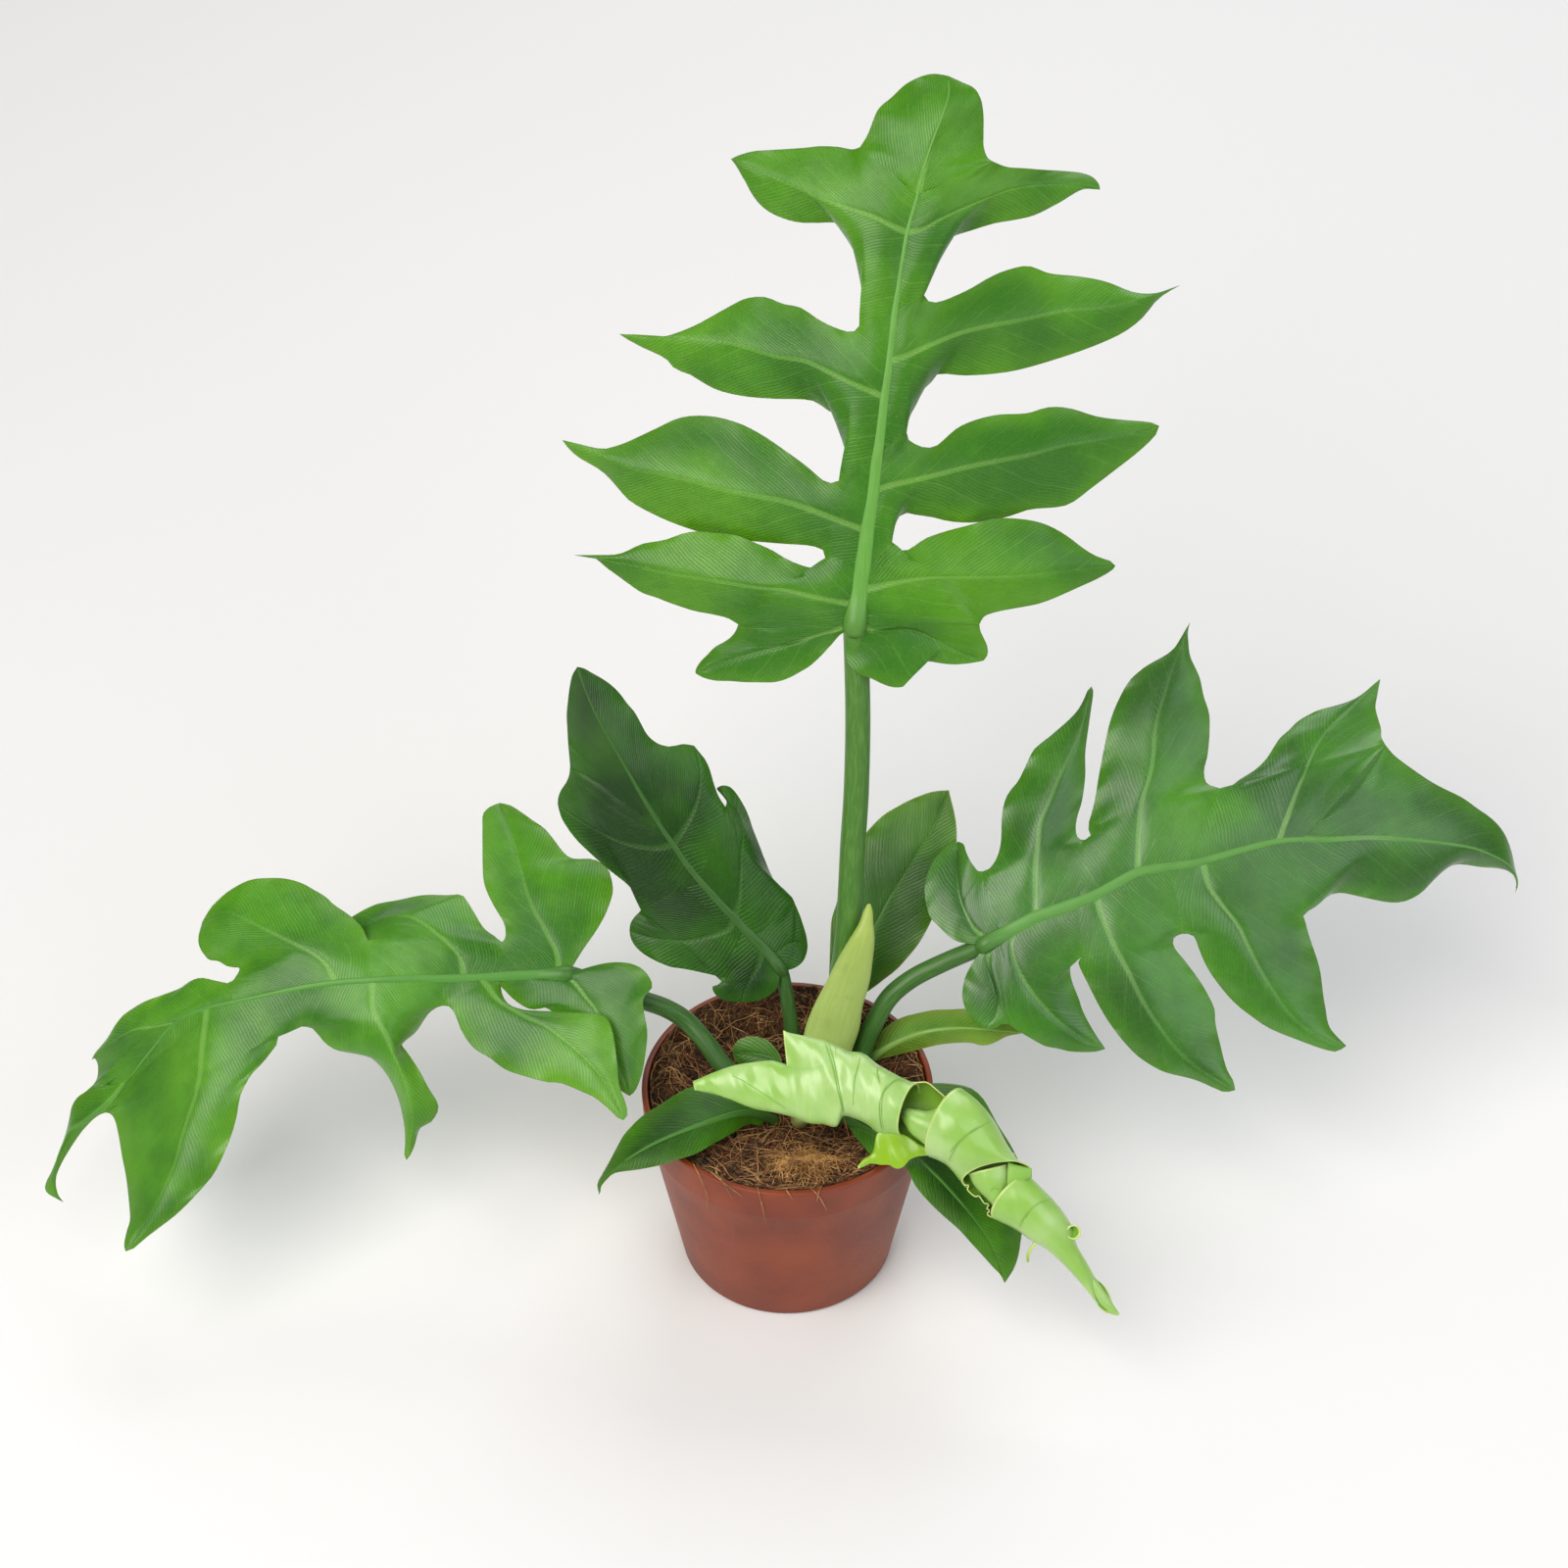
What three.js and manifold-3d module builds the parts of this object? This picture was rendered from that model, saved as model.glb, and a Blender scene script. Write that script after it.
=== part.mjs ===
// Potted philodendron with deeply cut leaves, in millimetres, +Z up.
// The pot stands on Z = 0 and its axis is the Z axis.
//
// Leaves are drawn on a sloping drawing plane that leans back over the pot. Every drawn
// point has x (to the right), y (up the plane) and a depth w, which moves it towards the
// viewing point (+) or away from it (-).

import * as THREE from 'three';
import { mergeVertices } from 'three/addons/utils/BufferGeometryUtils.js';
import Module from 'manifold-3d';

const wasm = await Module();
wasm.setup();
const { Manifold, Mesh } = wasm;

// Pot
const RIM_DIAMETER = 120;
const BASE_DIAMETER = 89;
const POT_HEIGHT = 93;
const RIM_BAND = 17;
const RIM_STEP = 1.4;
const WALL = 1.6;
const FLOOR = 2.4;
const DRAIN_HOLES = 6;
const DRAIN_HOLE_DIAMETER = 7;
const DRAIN_HOLE_RADIUS = 27;
const POT_SEGMENTS = 36;

// Soil
const SOIL_TOP = 85;
const SOIL_GAP = 0.4;
const HOLE_GAP = 0.35;
const HOLE_DEPTH = 9;
const EDGE_HEIGHT = 6;
const CLUMP_HEIGHT = 3.6;

// Crown
const CROWN = [8, -2];
const CROWN_RADIUS = 4.4;

// Leaves
const BLADE_THICKNESS = 0.7;
const SHEET_THICKNESS = 0.8;
const RIB_SINK = 0.62;
const WEB_ROWS = 2;
const LOBE_ROWS = 4;
const STEPS = 1;
const ENTIRE_ROWS = 8;

// Drawing plane
const PLANE_SLOPE = THREE.MathUtils.degToRad(42);
const VIEWING_DISTANCE = 1500;
const PLANE_CENTRE = [-1.4, 123.8];

const across = new THREE.Vector3(1, 0, 0);
const up = new THREE.Vector3(0, Math.sin(PLANE_SLOPE), Math.cos(PLANE_SLOPE));
const toward = new THREE.Vector3(0, -Math.cos(PLANE_SLOPE), Math.sin(PLANE_SLOPE));
const rimCentre = new THREE.Vector3(0, 0, POT_HEIGHT);

function onPlane(x, y) {
  return rimCentre.clone().addScaledVector(across, x).addScaledVector(up, y);
}

const viewingPoint = onPlane(...PLANE_CENTRE).addScaledVector(toward, VIEWING_DISTANCE);

// The point in space of a drawn point.
function place(drawn) {
  return onPlane(drawn.x, drawn.y).lerp(viewingPoint, drawn.z / VIEWING_DISTANCE);
}

// Leaf drawings
// midrib: drawn points [x, y, w] from the stalk end up, the steps that the lobes count.
// A lobe spans the midrib steps `at`: its near edge, its vein and its far edge.
// near and far run from the notch beside the lobe to its tip, and a notch may state its depth.
// An open edge has no neighbour. arch lifts the vein, sag lowers the edges.

const tallLeaf = {
  midrib: [
    [27.5, 188, 84], [28, 191, 85], [28.5, 194, 86], [29, 197.5, 87], [29.8, 204, 88.5],
    [31, 213, 91], [33, 228, 95], [35.3, 244, 99], [37, 259, 102.5], [40, 283, 108],
    [42, 298, 111], [44.3, 319, 115], [47, 338, 118], [49.3, 351, 120], [53.5, 366, 122],
  ],
  lobes: [
    {
      at: [0, 1, 2], open: true, tip: [-37.8, 169.4, 66], arch: 2, sag: 2,
      near: [[22, 185.5], [18, 181], [14, 176.7], [9.3, 172.4], [5.3, 170], [0, 167.2], [-5, 165.8],
        [-10, 165.6], [-18, 165.8], [-23.6, 166.2], [-30, 166.4], [-34.8, 167.7]],
      vein: [[20, 187], [14, 185.5], [-2, 180.7], [-18, 176.7], [-30, 172.5]],
      far: [[-20.2, 189.5, 75], [-21.2, 187], [-23.2, 184.3], [-26, 182.3], [-30, 180],
        [-33.2, 176.7], [-35.6, 174.3], [-37.6, 171]],
    },
    {
      at: [2, 3, 5], tip: [-87.5, 218, 70], arch: 5, sag: 3,
      near: [[-20.2, 189.5, 75], [-24.4, 192], [-30, 193.5], [-38, 195], [-44.4, 197], [-50, 199],
        [-54, 200.6], [-59.7, 202.5], [-65.3, 206.2], [-70, 209.7], [-74, 212.5], [-79.7, 217]],
      vein: [[18, 199.3], [10, 201], [-2, 204], [-14, 205], [-26, 207], [-38, 209], [-51.6, 211.3],
        [-66, 214.5]],
      far: [[15.6, 216.8, 89], [14.5, 213.6], [11.7, 212.8], [8.5, 213], [0.5, 216], [-6.3, 220],
        [-14, 223.4, 87], [-21.2, 226.2, 85.5], [-32.4, 227.4], [-37.2, 227.8, 83], [-42.8, 227],
          [-50, 224.4],
        [-60, 222.5], [-65.3, 220], [-69.3, 218.5], [-79.7, 218]],
    },
    {
      at: [5, 6, 8], tip: [-92.7, 265.4, 78], arch: 6, sag: 3,
      near: [[15.6, 216.8, 89], [14.8, 220], [10, 221.8], [0, 222.6], [-13.7, 223.7, 82], [-26, 225.3, 78],
        [-37.6, 228, 78], [-43.6, 230], [-50, 232.5], [-61.5, 238.2], [-65.4, 240.8], [-72.6, 249],
        [-76.5, 252.7], [-80.3, 255], [-87, 259], [-90.5, 262.5]],
      vein: [[21.2, 232.2], [12.7, 235.6], [0, 240], [-13, 242.5], [-25.7, 245], [-38.5, 248.4],
        [-50.4, 251.4], [-62.4, 253.5], [-78, 259.5]],
      far: [[21.2, 248.6, 99], [18.3, 247.7], [15.3, 248.4], [12, 251], [7.6, 254.8], [0, 260.4],
        [-10.3, 267.4], [-19.7, 272.2], [-30, 275], [-39.3, 275.3], [-45.3, 274.2], [-54.7, 269.8],
        [-65.8, 264.6], [-71, 262.7], [-76, 261.7], [-87, 264]],
    },
    {
      at: [8, 9, 11], tip: [-69.2, 309, 90], arch: 6, sag: 3,
      near: [[21.2, 248.6, 99], [24.6, 251.2], [25, 256], [22, 267], [20.4, 272], [20.5, 275.4],
        [16, 278], [12, 281], [8.2, 282], [-5.7, 282.4], [-19.7, 283.7], [-29.8, 286.4],
        [-40.7, 292.6], [-46, 294.5], [-50, 298.8], [-60, 303.7], [-65.5, 306.6]],
      vein: [[33, 286], [25.3, 289.3], [15.2, 294.5], [6.7, 298], [-5.7, 300], [-19.7, 304.5],
        [-30.6, 306.3], [-46, 307.6]],
      far: [[29.6, 312.4, 112], [27.2, 310], [22.2, 310.7], [13.7, 314.5], [5.1, 320], [-1.5, 321.3],
        [-9.6, 324.3], [-17.4, 323.5], [-24.4, 320], [-40, 311.6], [-52, 307.7], [-60, 307.7],
        [-65.5, 308]],
    },
    {
      at: [11, 13, 14], tip: [-23.2, 381, 104], arch: 5, sag: 4,
      near: [[29.6, 312.4, 112], [31.3, 315], [32.1, 319], [31.1, 326], [31.7, 333], [30.3, 338],
        [28.7, 341.6], [26.2, 346.3], [23.6, 351.4], [21, 354.5], [11.7, 354.8], [4.4, 355],
        [-2.8, 357], [-9.5, 360.7], [-14.2, 366], [-17.3, 371.6], [-21.4, 378.8]],
      vein: [[44, 353], [36.5, 357], [26.2, 360.4], [14.8, 364.4], [3.4, 369.5], [-9, 375]],
      far: [[30, 386, 119], [27, 385], [21, 386], [13.8, 386.3], [6.5, 385.6], [-7, 384.7],
        [-14, 384.2], [-20, 382.5]],
    },
    {
      at: [0, 1, 2], open: true, tip: [80.8, 174.7, 74], arch: 2, sag: 1,
      near: [[27, 186.5], [25, 182.8], [24.3, 178], [24.8, 174], [29.6, 169.2], [34.3, 167.3],
        [41.2, 164.2], [45.5, 163.5], [48.2, 164.2], [48.8, 166.5], [47.8, 171.2], [49.8, 174],
        [56, 174.5], [68.4, 173], [77.7, 174]],
      vein: [[34.3, 187], [44.3, 188], [53.7, 186.6], [62, 182.7], [72, 178]],
      far: [[79, 189.5, 80], [79.4, 187], [80.4, 184.7], [82.2, 180.5], [82.3, 177]],
    },
    {
      at: [2, 4, 5], tip: [135, 213.6, 72], arch: 5, sag: 3,
      near: [[79, 189.5, 80], [80.8, 192.6], [84.7, 194.3], [96.3, 196.6], [103.3, 198],
        [109.5, 200.2], [120.3, 205], [125.7, 207.4], [131.2, 210.3], [134, 212.2]],
      vein: [[35, 204.7], [40.5, 206], [49.8, 207.8], [61.4, 209], [73, 209], [84.7, 209],
        [96.3, 209.5], [118, 212]],
      far: [[43, 223.4, 93], [44.7, 220.6], [47.4, 219.8], [49.8, 220.2], [56.7, 224.8],
        [64.5, 227.6], [74.6, 230.3, 87], [84.7, 233, 86], [94.7, 233, 84], [104.8, 231.2], [113.7, 226.8],
        [122.6, 220.2], [127.3, 217.5], [134, 215]],
    },
    {
      at: [5, 7, 8], tip: [153, 271.2, 82], arch: 6, sag: 3,
      near: [[43, 223.4, 93], [43, 226.2], [44.3, 231], [46.3, 234.4], [48.3, 235.4], [53.2, 234.6],
        [60, 233.6], [66.5, 232], [77.2, 231.5, 83], [91.3, 234, 80], [99.6, 236.8], [110.3, 237.7],
        [116, 239], [126.4, 246.6], [133.5, 252], [145, 261], [152.3, 268.5]],
      vein: [[40, 246.2], [50, 248.5], [60, 250.6], [70.6, 253.4], [80.5, 255.6], [92, 257.8],
        [102, 259.8], [110.3, 262.5], [122, 264.6], [138, 267.5]],
      far: [[49, 268.5, 102], [49.8, 265.6], [52, 264], [55.7, 262.5], [60.3, 262.5], [63.6, 264.8],
        [69.8, 270.2], [77.2, 273.6], [87, 275.8], [98.7, 276.4], [107, 278.8], [115.3, 278.6],
        [127.7, 275], [137.6, 273.7], [150, 272.5]],
    },
    {
      at: [8, 10, 11], tip: [161.3, 329, 94], arch: 6, sag: 3,
      near: [[49, 268.5, 102], [49.3, 271.4], [50.3, 275], [52.4, 278.8], [54.5, 283], [56, 286.2],
        [59, 288.6], [60.2, 291.7], [63, 292.7], [73, 292], [91.2, 293.5], [109.4, 298.3],
        [124.3, 303.4], [137.5, 309.2], [145.8, 315.4], [152.4, 323.3], [157, 326.5]],
      vein: [[45.7, 299], [51.5, 301.4], [59.8, 305], [70.5, 309.2], [81.3, 312], [92.8, 314.2],
        [103.6, 316.5], [114.3, 318.7], [130, 320], [146, 323.5]],
      far: [[56.2, 325, 115], [58, 322.6], [60.6, 322], [64, 322.7], [74.6, 327.3], [83, 332.2],
        [89.5, 335], [99, 337], [107.7, 334], [119.3, 332.8], [131, 330.6], [142.5, 326.2],
        [150, 325.6], [157, 327.2]],
    },
    {
      at: [11, 13, 14], tip: [128.7, 368.5, 103], arch: 5, sag: 4,
      near: [[56.2, 325, 115], [58, 328.7], [59.8, 334], [61.5, 338], [62.7, 343.7], [64.4, 347],
        [68.6, 349.4], [75.8, 351.7], [85, 354.5], [93.4, 356], [100.6, 357.6], [110, 362],
        [121.3, 368.7], [125, 369.8]],
      vein: [[55, 352], [61.3, 355.6], [71.7, 360.7], [82, 365], [91.3, 368.5], [107, 370.5]],
      far: [[84.6, 380, 118], [90.3, 377.8], [96.5, 377.3], [105.8, 376.6], [116, 375.9],
        [121.3, 375.2], [125.4, 373.7], [128, 371]],
    },
  ],
  end: {
    tip: [66, 415.3, 124], arch: 4, sag: 3,
    near: [[30, 386, 119], [33, 391], [37.5, 401.6], [42.7, 406.2], [49, 412], [55, 415],
      [60.3, 416.1]],
    vein: [[57, 380], [60.3, 390], [64.4, 400.6], [66.5, 408]],
    far: [[84.6, 380, 118], [82.5, 381.4], [80.8, 386], [80.7, 391], [80.6, 400], [79.4, 406.2],
      [76.8, 410.2], [71.7, 412.7]],
  },
  stalk: [[16, 6, -18], [17, 14, -13], [19, 24, -7], [22, 42, 4], [24.7, 60, 14], [26, 80, 24],
    [27, 100, 35], [28.3, 120, 46], [29, 150, 62], [28.6, 172, 74], [28, 188, 81.5]],
  stalkRadius: [5.4, 4.9], ribRadius: [3.4, 0.7],
};

const leftLeaf = {
  midrib: [
    [-90, 45.3, 13], [-92, 45.3, 13.3], [-94, 45.3, 13.6], [-99, 45.2, 14], [-106, 45, 15],
    [-113, 44.8, 16], [-119, 44.4, 17], [-126, 44, 18], [-133, 43.8, 19], [-142, 43.6, 20.5],
    [-152, 43.6, 22], [-163, 43.3, 23.5], [-171, 43, 24], [-186, 42, 24], [-200, 40, 23],
    [-214, 37, 21], [-228, 34, 18], [-239, 31.5, 14.5], [-251, 26.5, 8], [-262, 14, 0],
    [-272, 1, -8],
  ],
  lobes: [
    {
      at: [0, 2, 6], open: true, tip: [-118.5, 116, -24], arch: 3, sag: 2,
      near: [[-89, 47.5], [-87, 51], [-84.5, 55], [-81, 60], [-78, 64.5], [-75, 70], [-73, 75],
        [-71.8, 80], [-72.5, 85], [-74, 89], [-77, 91.5], [-80, 92.8], [-84, 93], [-88, 93],
        [-91, 94.5], [-97, 102], [-100, 105.5], [-105, 109], [-110, 112.5], [-114, 115]],
      vein: [[-95, 54], [-98, 60], [-101, 66], [-104.5, 72], [-107.5, 80], [-109, 86], [-111, 93],
        [-112.5, 100], [-115, 107]],
      far: [[-117.5, 58.7, 11], [-116.3, 60], [-116, 63], [-116.5, 66], [-121, 74], [-123.5, 79],
        [-125, 84], [-125.5, 98], [-125.5, 105], [-125.2, 111.5], [-123, 114]],
    },
    {
      at: [6, 8, 12], tip: [-186, 64, 3], arch: 4, sag: 1,
      near: [[-117.5, 58.7, 11], [-118.7, 59], [-119.5, 60.5], [-122, 62], [-125, 64.5],
        [-127, 67.5], [-131.5, 75, 2], [-134, 78], [-140, 78], [-150, 78, -3], [-160, 76],
        [-170, 74, -2], [-179, 69.2], [-183, 66.5]],
      vein: [[-135, 53], [-138, 56.5], [-142, 60], [-150, 66.5], [-155, 68.8], [-160, 69.5],
        [-166, 68.6], [-174, 66, 6]],
      far: [[-172.5, 59.4, 17], [-177, 60, 9], [-182, 61.8, 4]],
    },
    {
      at: [12, 13, 16], tip: [-240.8, 67, -3], arch: 4, sag: 0,
      near: [[-172.5, 59.4, 17], [-173.6, 61.5], [-174.8, 64.4, 15], [-179, 68.7, 12],
        [-182, 71], [-186.5, 74, 7], [-190, 77.3], [-195, 80.3, 1], [-200, 83], [-206, 84.7],
        [-212, 85.1, -5], [-221, 84.3], [-229, 80.3], [-235.5, 75], [-238.5, 71]],
      vein: [[-190, 50], [-195, 54], [-200, 56.5], [-209, 61], [-220, 66.5], [-231, 70.8]],
      far: [[-230.5, 41.8, 14], [-228.5, 42.6], [-227, 44.5], [-225.4, 48], [-228, 48.3],
        [-231, 49], [-234, 50.8], [-238, 51.5], [-240, 53.5], [-242, 57], [-242.4, 60.5]],
    },
    {
      at: [16, 18, 20], tip: [-286.3, 10.3, -18], arch: 3, sag: 1,
      near: [[-230.5, 41.8, 14], [-236, 43], [-241.5, 44], [-246, 42.5], [-250, 39.7], [-260, 36],
        [-265, 34], [-270, 31], [-274, 28], [-277, 24], [-280, 19], [-285.2, 12.6]],
      vein: [[-256, 25.2], [-262, 23.7], [-268, 23], [-274, 20], [-280, 15.5]],
      far: [[-286, -0.4, -18], [-284.4, 2], [-283.7, 5], [-284, 9], [-285.3, 11]],
    },
    {
      at: [0, 2, 6], open: true, tip: [-65, -4.6, 22], arch: 2, sag: 0,
      near: [[-89, 46.3, 13], [-87, 45.9], [-84, 47], [-80, 48.8, 14.5], [-75, 50], [-70, 50.4, 17],
        [-65, 50], [-61, 48.5], [-58, 46], [-55.6, 40.5, 18.5], [-59.3, 35.5, 19.5], [-59, 30],
        [-57.7, 22, 20], [-58.5, 12], [-60.3, 3, 21], [-63, -3]],
      vein: [[-89, 43], [-86, 40], [-83, 36], [-79, 31], [-73, 20], [-70, 10], [-67, 2]],
      far: [[-118, 40.5, 16], [-113, 35.5, 15], [-108, 32, 14], [-104.5, 31], [-101, 32.2],
        [-97, 30.3, 14.5], [-90, 24], [-82, 14, 17], [-75, 5], [-69, -2, 21]],
    },
    {
      at: [6, 7, 9], tip: [-67.5, -14.6, 34], arch: 3, sag: 0,
      near: [[-118, 40.5, 16], [-117, 36, 17.5], [-114, 32.6, 19], [-110, 31, 20],
        [-105, 30.5], [-97, 30.2, 23], [-90, 29.8], [-82, 29.3], [-76, 28.5, 27], [-74, 27],
        [-72, 22], [-70, 8, 31], [-69.3, 0], [-66.4, -8], [-65.8, -11], [-66.2, -13.7]],
      vein: [[-120, 36], [-113, 31], [-105, 26.5], [-100, 24.5], [-90, 17], [-85, 12.5], [-78, 5],
        [-71, -6]],
      far: [[-142, 32.6, 20], [-138.8, 32], [-136, 27], [-134, 22], [-129, 15], [-122.5, 11],
        [-116, 6.3], [-107, 3.2], [-98, 1], [-94, 0.9], [-90, -0.5], [-83, -3.5], [-79, -5.5],
        [-72, -11.5], [-70, -13.5]],
    },
    {
      at: [9, 12, 14], tip: [-156.8, -31, 13], arch: 1, sag: 0,
      near: [[-142, 32.6, 20], [-145, 31.5], [-148, 29], [-152, 23, 15], [-154.5, 20.2],
        [-157, 18.8, 15], [-159.3, 17.3, 17], [-157, 14], [-151, 5, 19], [-148.5, 0], [-144, -7.5],
        [-143.7, -10, 14], [-145, -13], [-147, -15.5], [-151.2, -17.8], [-153.5, -25],
        [-155, -28.5]],
      vein: [[-171, 37, 25], [-170.8, 32, 26], [-169.5, 28, 27], [-166, 22, 27], [-162.5, 14, 26],
        [-159, 6], [-156, -4, 22], [-154.5, -14], [-155.5, -24]],
      far: [[-200, 24, 20], [-196, 23.5], [-193, 20.5], [-190, 17], [-186, 14.5], [-182, 13.5],
        [-173, 12], [-170, 10], [-166.5, 6.5], [-163.5, 2], [-160, -6], [-158.5, -12],
        [-157.5, -18], [-157.3, -24], [-157.5, -30]],
    },
    {
      at: [14, 17, 20], tip: [-272.3, -68.6, 20], arch: 5, sag: -2,
      near: [[-200, 24, 20], [-203, 23.7], [-209.2, 20.5], [-210, 17], [-212.5, 13.5], [-216, 9],
        [-220, 5], [-225, -4], [-226.5, -12], [-228, -18], [-230.5, -25], [-236, -36.5],
        [-240, -41.5], [-250, -52], [-260, -60], [-264, -63], [-270, -68]],
      vein: [[-240, 22], [-241, 12], [-241.5, 4], [-243.5, -5], [-246.5, -14], [-249, -22],
        [-251, -30], [-255, -40], [-260, -50], [-267, -61]],
      far: [[-280.5, -11.4, -12], [-278.5, -12], [-277, -14], [-275.8, -18], [-273.5, -31],
        [-272.3, -37], [-270.8, -50], [-270.6, -56], [-271.8, -60], [-273, -67]],
    },
  ],
  end: {
    tip: [-298, -48.3, -26], arch: 1, sag: 0,
    near: [[-280.5, -11.4, -12], [-282.5, -12], [-285.5, -14], [-288.5, -17], [-291, -20],
      [-297.5, -30], [-300, -35], [-301, -38], [-301, -42], [-300, -45.5]],
    vein: [[-276, -4], [-280, -8], [-285, -12], [-290, -15.8], [-295, -18.6], [-298, -24],
      [-301, -32], [-303, -40], [-301.5, -45]],
    far: [[-286, -0.4, -18], [-289, -3], [-292, -5], [-294.5, -9], [-295.3, -13], [-297, -20],
      [-299, -26], [-303, -36], [-305, -40], [-305.5, -43], [-304.5, -44.6], [-301, -46.7]],
  },
  stalk: [[-3, -8, -3], [-7, -6.5, 0], [-15, -1.5, 1], [-25.6, 7, 1], [-34, 18, 1],
    [-41.8, 26.5, 0.5], [-50, 31.5, 3], [-60, 35, 5.5], [-75, 40.5, 8], [-90, 45.3, 10]],
  stalkRadius: [4.1, 3.8], ribRadius: [2.8, 0.6],
};

const rightLeaf = {
  midrib: [
    [80, 57, 8], [84, 59.3, 8], [88, 61.3, 8.3], [93, 64, 8.7], [98, 66.7, 9], [102, 68.7, 9],
    [113, 72.5, 9.3], [120, 75, 9.3], [127, 78, 9], [135, 82.5, 8.5], [144, 87.3, 8],
    [151, 88.8, 7.5], [158, 89.8, 7], [165, 90.7, 6.5], [171, 92, 6], [186, 96.3, 4.5],
    [202, 100.2, 2], [212, 101, 0],
  ],
  lobes: [
    {
      at: [0, 1, 2], open: true, tip: [70.5, 100, -4], arch: 2, sag: -2,
      near: [[79, 58], [75, 58], [70, 59], [66, 61.5], [62, 65.5], [59.5, 68], [58, 71], [57, 75],
        [56.5, 80], [57.2, 85], [59, 90], [61.5, 94], [65, 97.5], [68, 99.5]],
      vein: [[77, 64], [74, 69], [71.5, 75], [70, 84], [70, 92]],
      far: [[80.5, 87.8, 2], [78.5, 88], [77, 89.7], [75, 92.7], [73.5, 96], [72.5, 99]],
    },
    {
      at: [2, 5, 7], tip: [125.2, 164, -10], arch: 4, sag: 2,
      near: [[80.5, 87.8, 2], [83, 88.8], [84.5, 90.5], [86.5, 94], [87.8, 99], [88.3, 110],
        [89, 115], [91, 120], [95, 125], [97.5, 130], [101.5, 138], [105, 141], [110, 145],
        [119, 153.5], [122, 158.5], [124, 163]],
      vein: [[102, 78], [101.8, 85], [102, 92], [103, 100], [104, 108], [107, 115], [112, 127],
        [118, 140], [122, 152]],
      far: [[122.5, 100.8, 4], [120.3, 101], [119, 103], [118.7, 107], [119.5, 111], [121, 116],
        [122.5, 126], [122.6, 137], [124, 148], [125, 155], [125.8, 162]],
    },
    {
      at: [7, 10, 13], tip: [165.8, 190.5, -14], arch: 4, sag: 2,
      near: [[122.5, 100.8, 4], [124.5, 102], [125, 103.5], [124, 105], [124, 107.5], [125, 111],
        [126.5, 117], [128.7, 130], [131.5, 144], [133, 150], [135, 155.5], [140.5, 166],
        [144, 169.5], [148, 172.5], [156, 177], [159.5, 180], [162, 184]],
      vein: [[144, 95], [144.3, 103], [145, 112], [146, 118], [149, 127], [150.5, 136], [151, 144],
        [152, 150], [155, 160], [160, 175]],
      far: [[178, 122, 0], [175.5, 122.8], [174, 123.2], [172.3, 124.5], [171.5, 127.5],
        [171.7, 131], [172.8, 135], [173.8, 147], [173.5, 153], [171.3, 160], [169.5, 168],
        [165.7, 176.5], [165, 182], [164.8, 187]],
    },
    {
      at: [13, 16, 17], tip: [244, 167, -26], arch: 4, sag: 2,
      near: [[178, 122, 0], [180, 121.9], [182.5, 122.8], [186, 125.5], [193, 130], [197, 134],
        [203, 143], [206, 145.5], [210, 149.5], [214, 152], [219, 154.3], [230, 156.8],
        [234, 158.5], [238, 161.5]],
      vein: [[204, 106], [207, 114], [213, 129], [217, 138], [222, 146], [232, 156]],
      far: [[246, 140, -20], [244.5, 143], [244.3, 146.5], [243, 151], [242, 155.5], [242.7, 160]],
    },
    {
      at: [0, 1, 2], open: true, tip: [82, 22.9, 8], arch: 1, sag: 0,
      near: [[79, 54], [77, 51.5], [75, 48], [73.3, 44.5], [72.2, 40], [72, 36], [73, 32],
        [75, 28.5], [78, 25]],
      vein: [[82.5, 50], [84, 45], [86, 38], [85, 30]],
      far: [[91, 25, 9], [88, 24.8], [85.5, 23.4]],
    },
    {
      at: [2, 3, 7], tip: [130.8, 14.8, 1], arch: 4, sag: 2,
      near: [[91, 25, 9], [94.5, 22.5], [97, 21], [103, 17.5], [106, 16], [112, 14.8],
        [116, 13.8], [127, 13.7]],
      vein: [[92, 56], [94.5, 48], [98.5, 41], [104, 34], [112, 26], [121, 19.5]],
      far: [[120.8, 52.6, 10], [118.7, 51.6], [117, 50], [116.3, 47], [117, 43], [120, 35],
        [121.5, 30.5], [124, 25.5], [127, 20.5]],
    },
    {
      at: [7, 8, 12], tip: [184.3, -2.2, 2], arch: 5, sag: 2,
      near: [[120.8, 52.6, 10], [119.7, 50], [121, 47], [126.5, 36], [130, 29.5], [135, 22],
        [140, 16], [144, 12], [149, 8.5], [154, 5.7], [168, 2], [176, -1.5], [180, -3]],
      vein: [[129, 70], [132, 62.5], [135, 56], [140, 47], [146, 35], [153, 24], [162, 13],
        [172, 5]],
      far: [[162.5, 62.2, 8], [160.5, 61.5], [158.8, 60], [159, 57], [164, 50.5], [170, 42.3],
        [172, 39], [175.8, 31], [176, 26.5], [178, 17], [181, 6], [183.5, 1.5]],
    },
    {
      at: [12, 14, 17], tip: [230, 16, -8], arch: 5, sag: 2,
      near: [[162.5, 62.2, 8], [166.5, 61.8], [168, 60], [169, 57], [171, 52], [173.5, 47],
        [181, 37], [186, 32], [192, 27.5], [198, 23.5], [210, 18.5], [222, 14.3], [226, 13.7]],
      vein: [[173, 82], [177, 76], [185, 66], [189, 58], [193, 50], [199, 40], [207, 29],
        [218, 20]],
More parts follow.
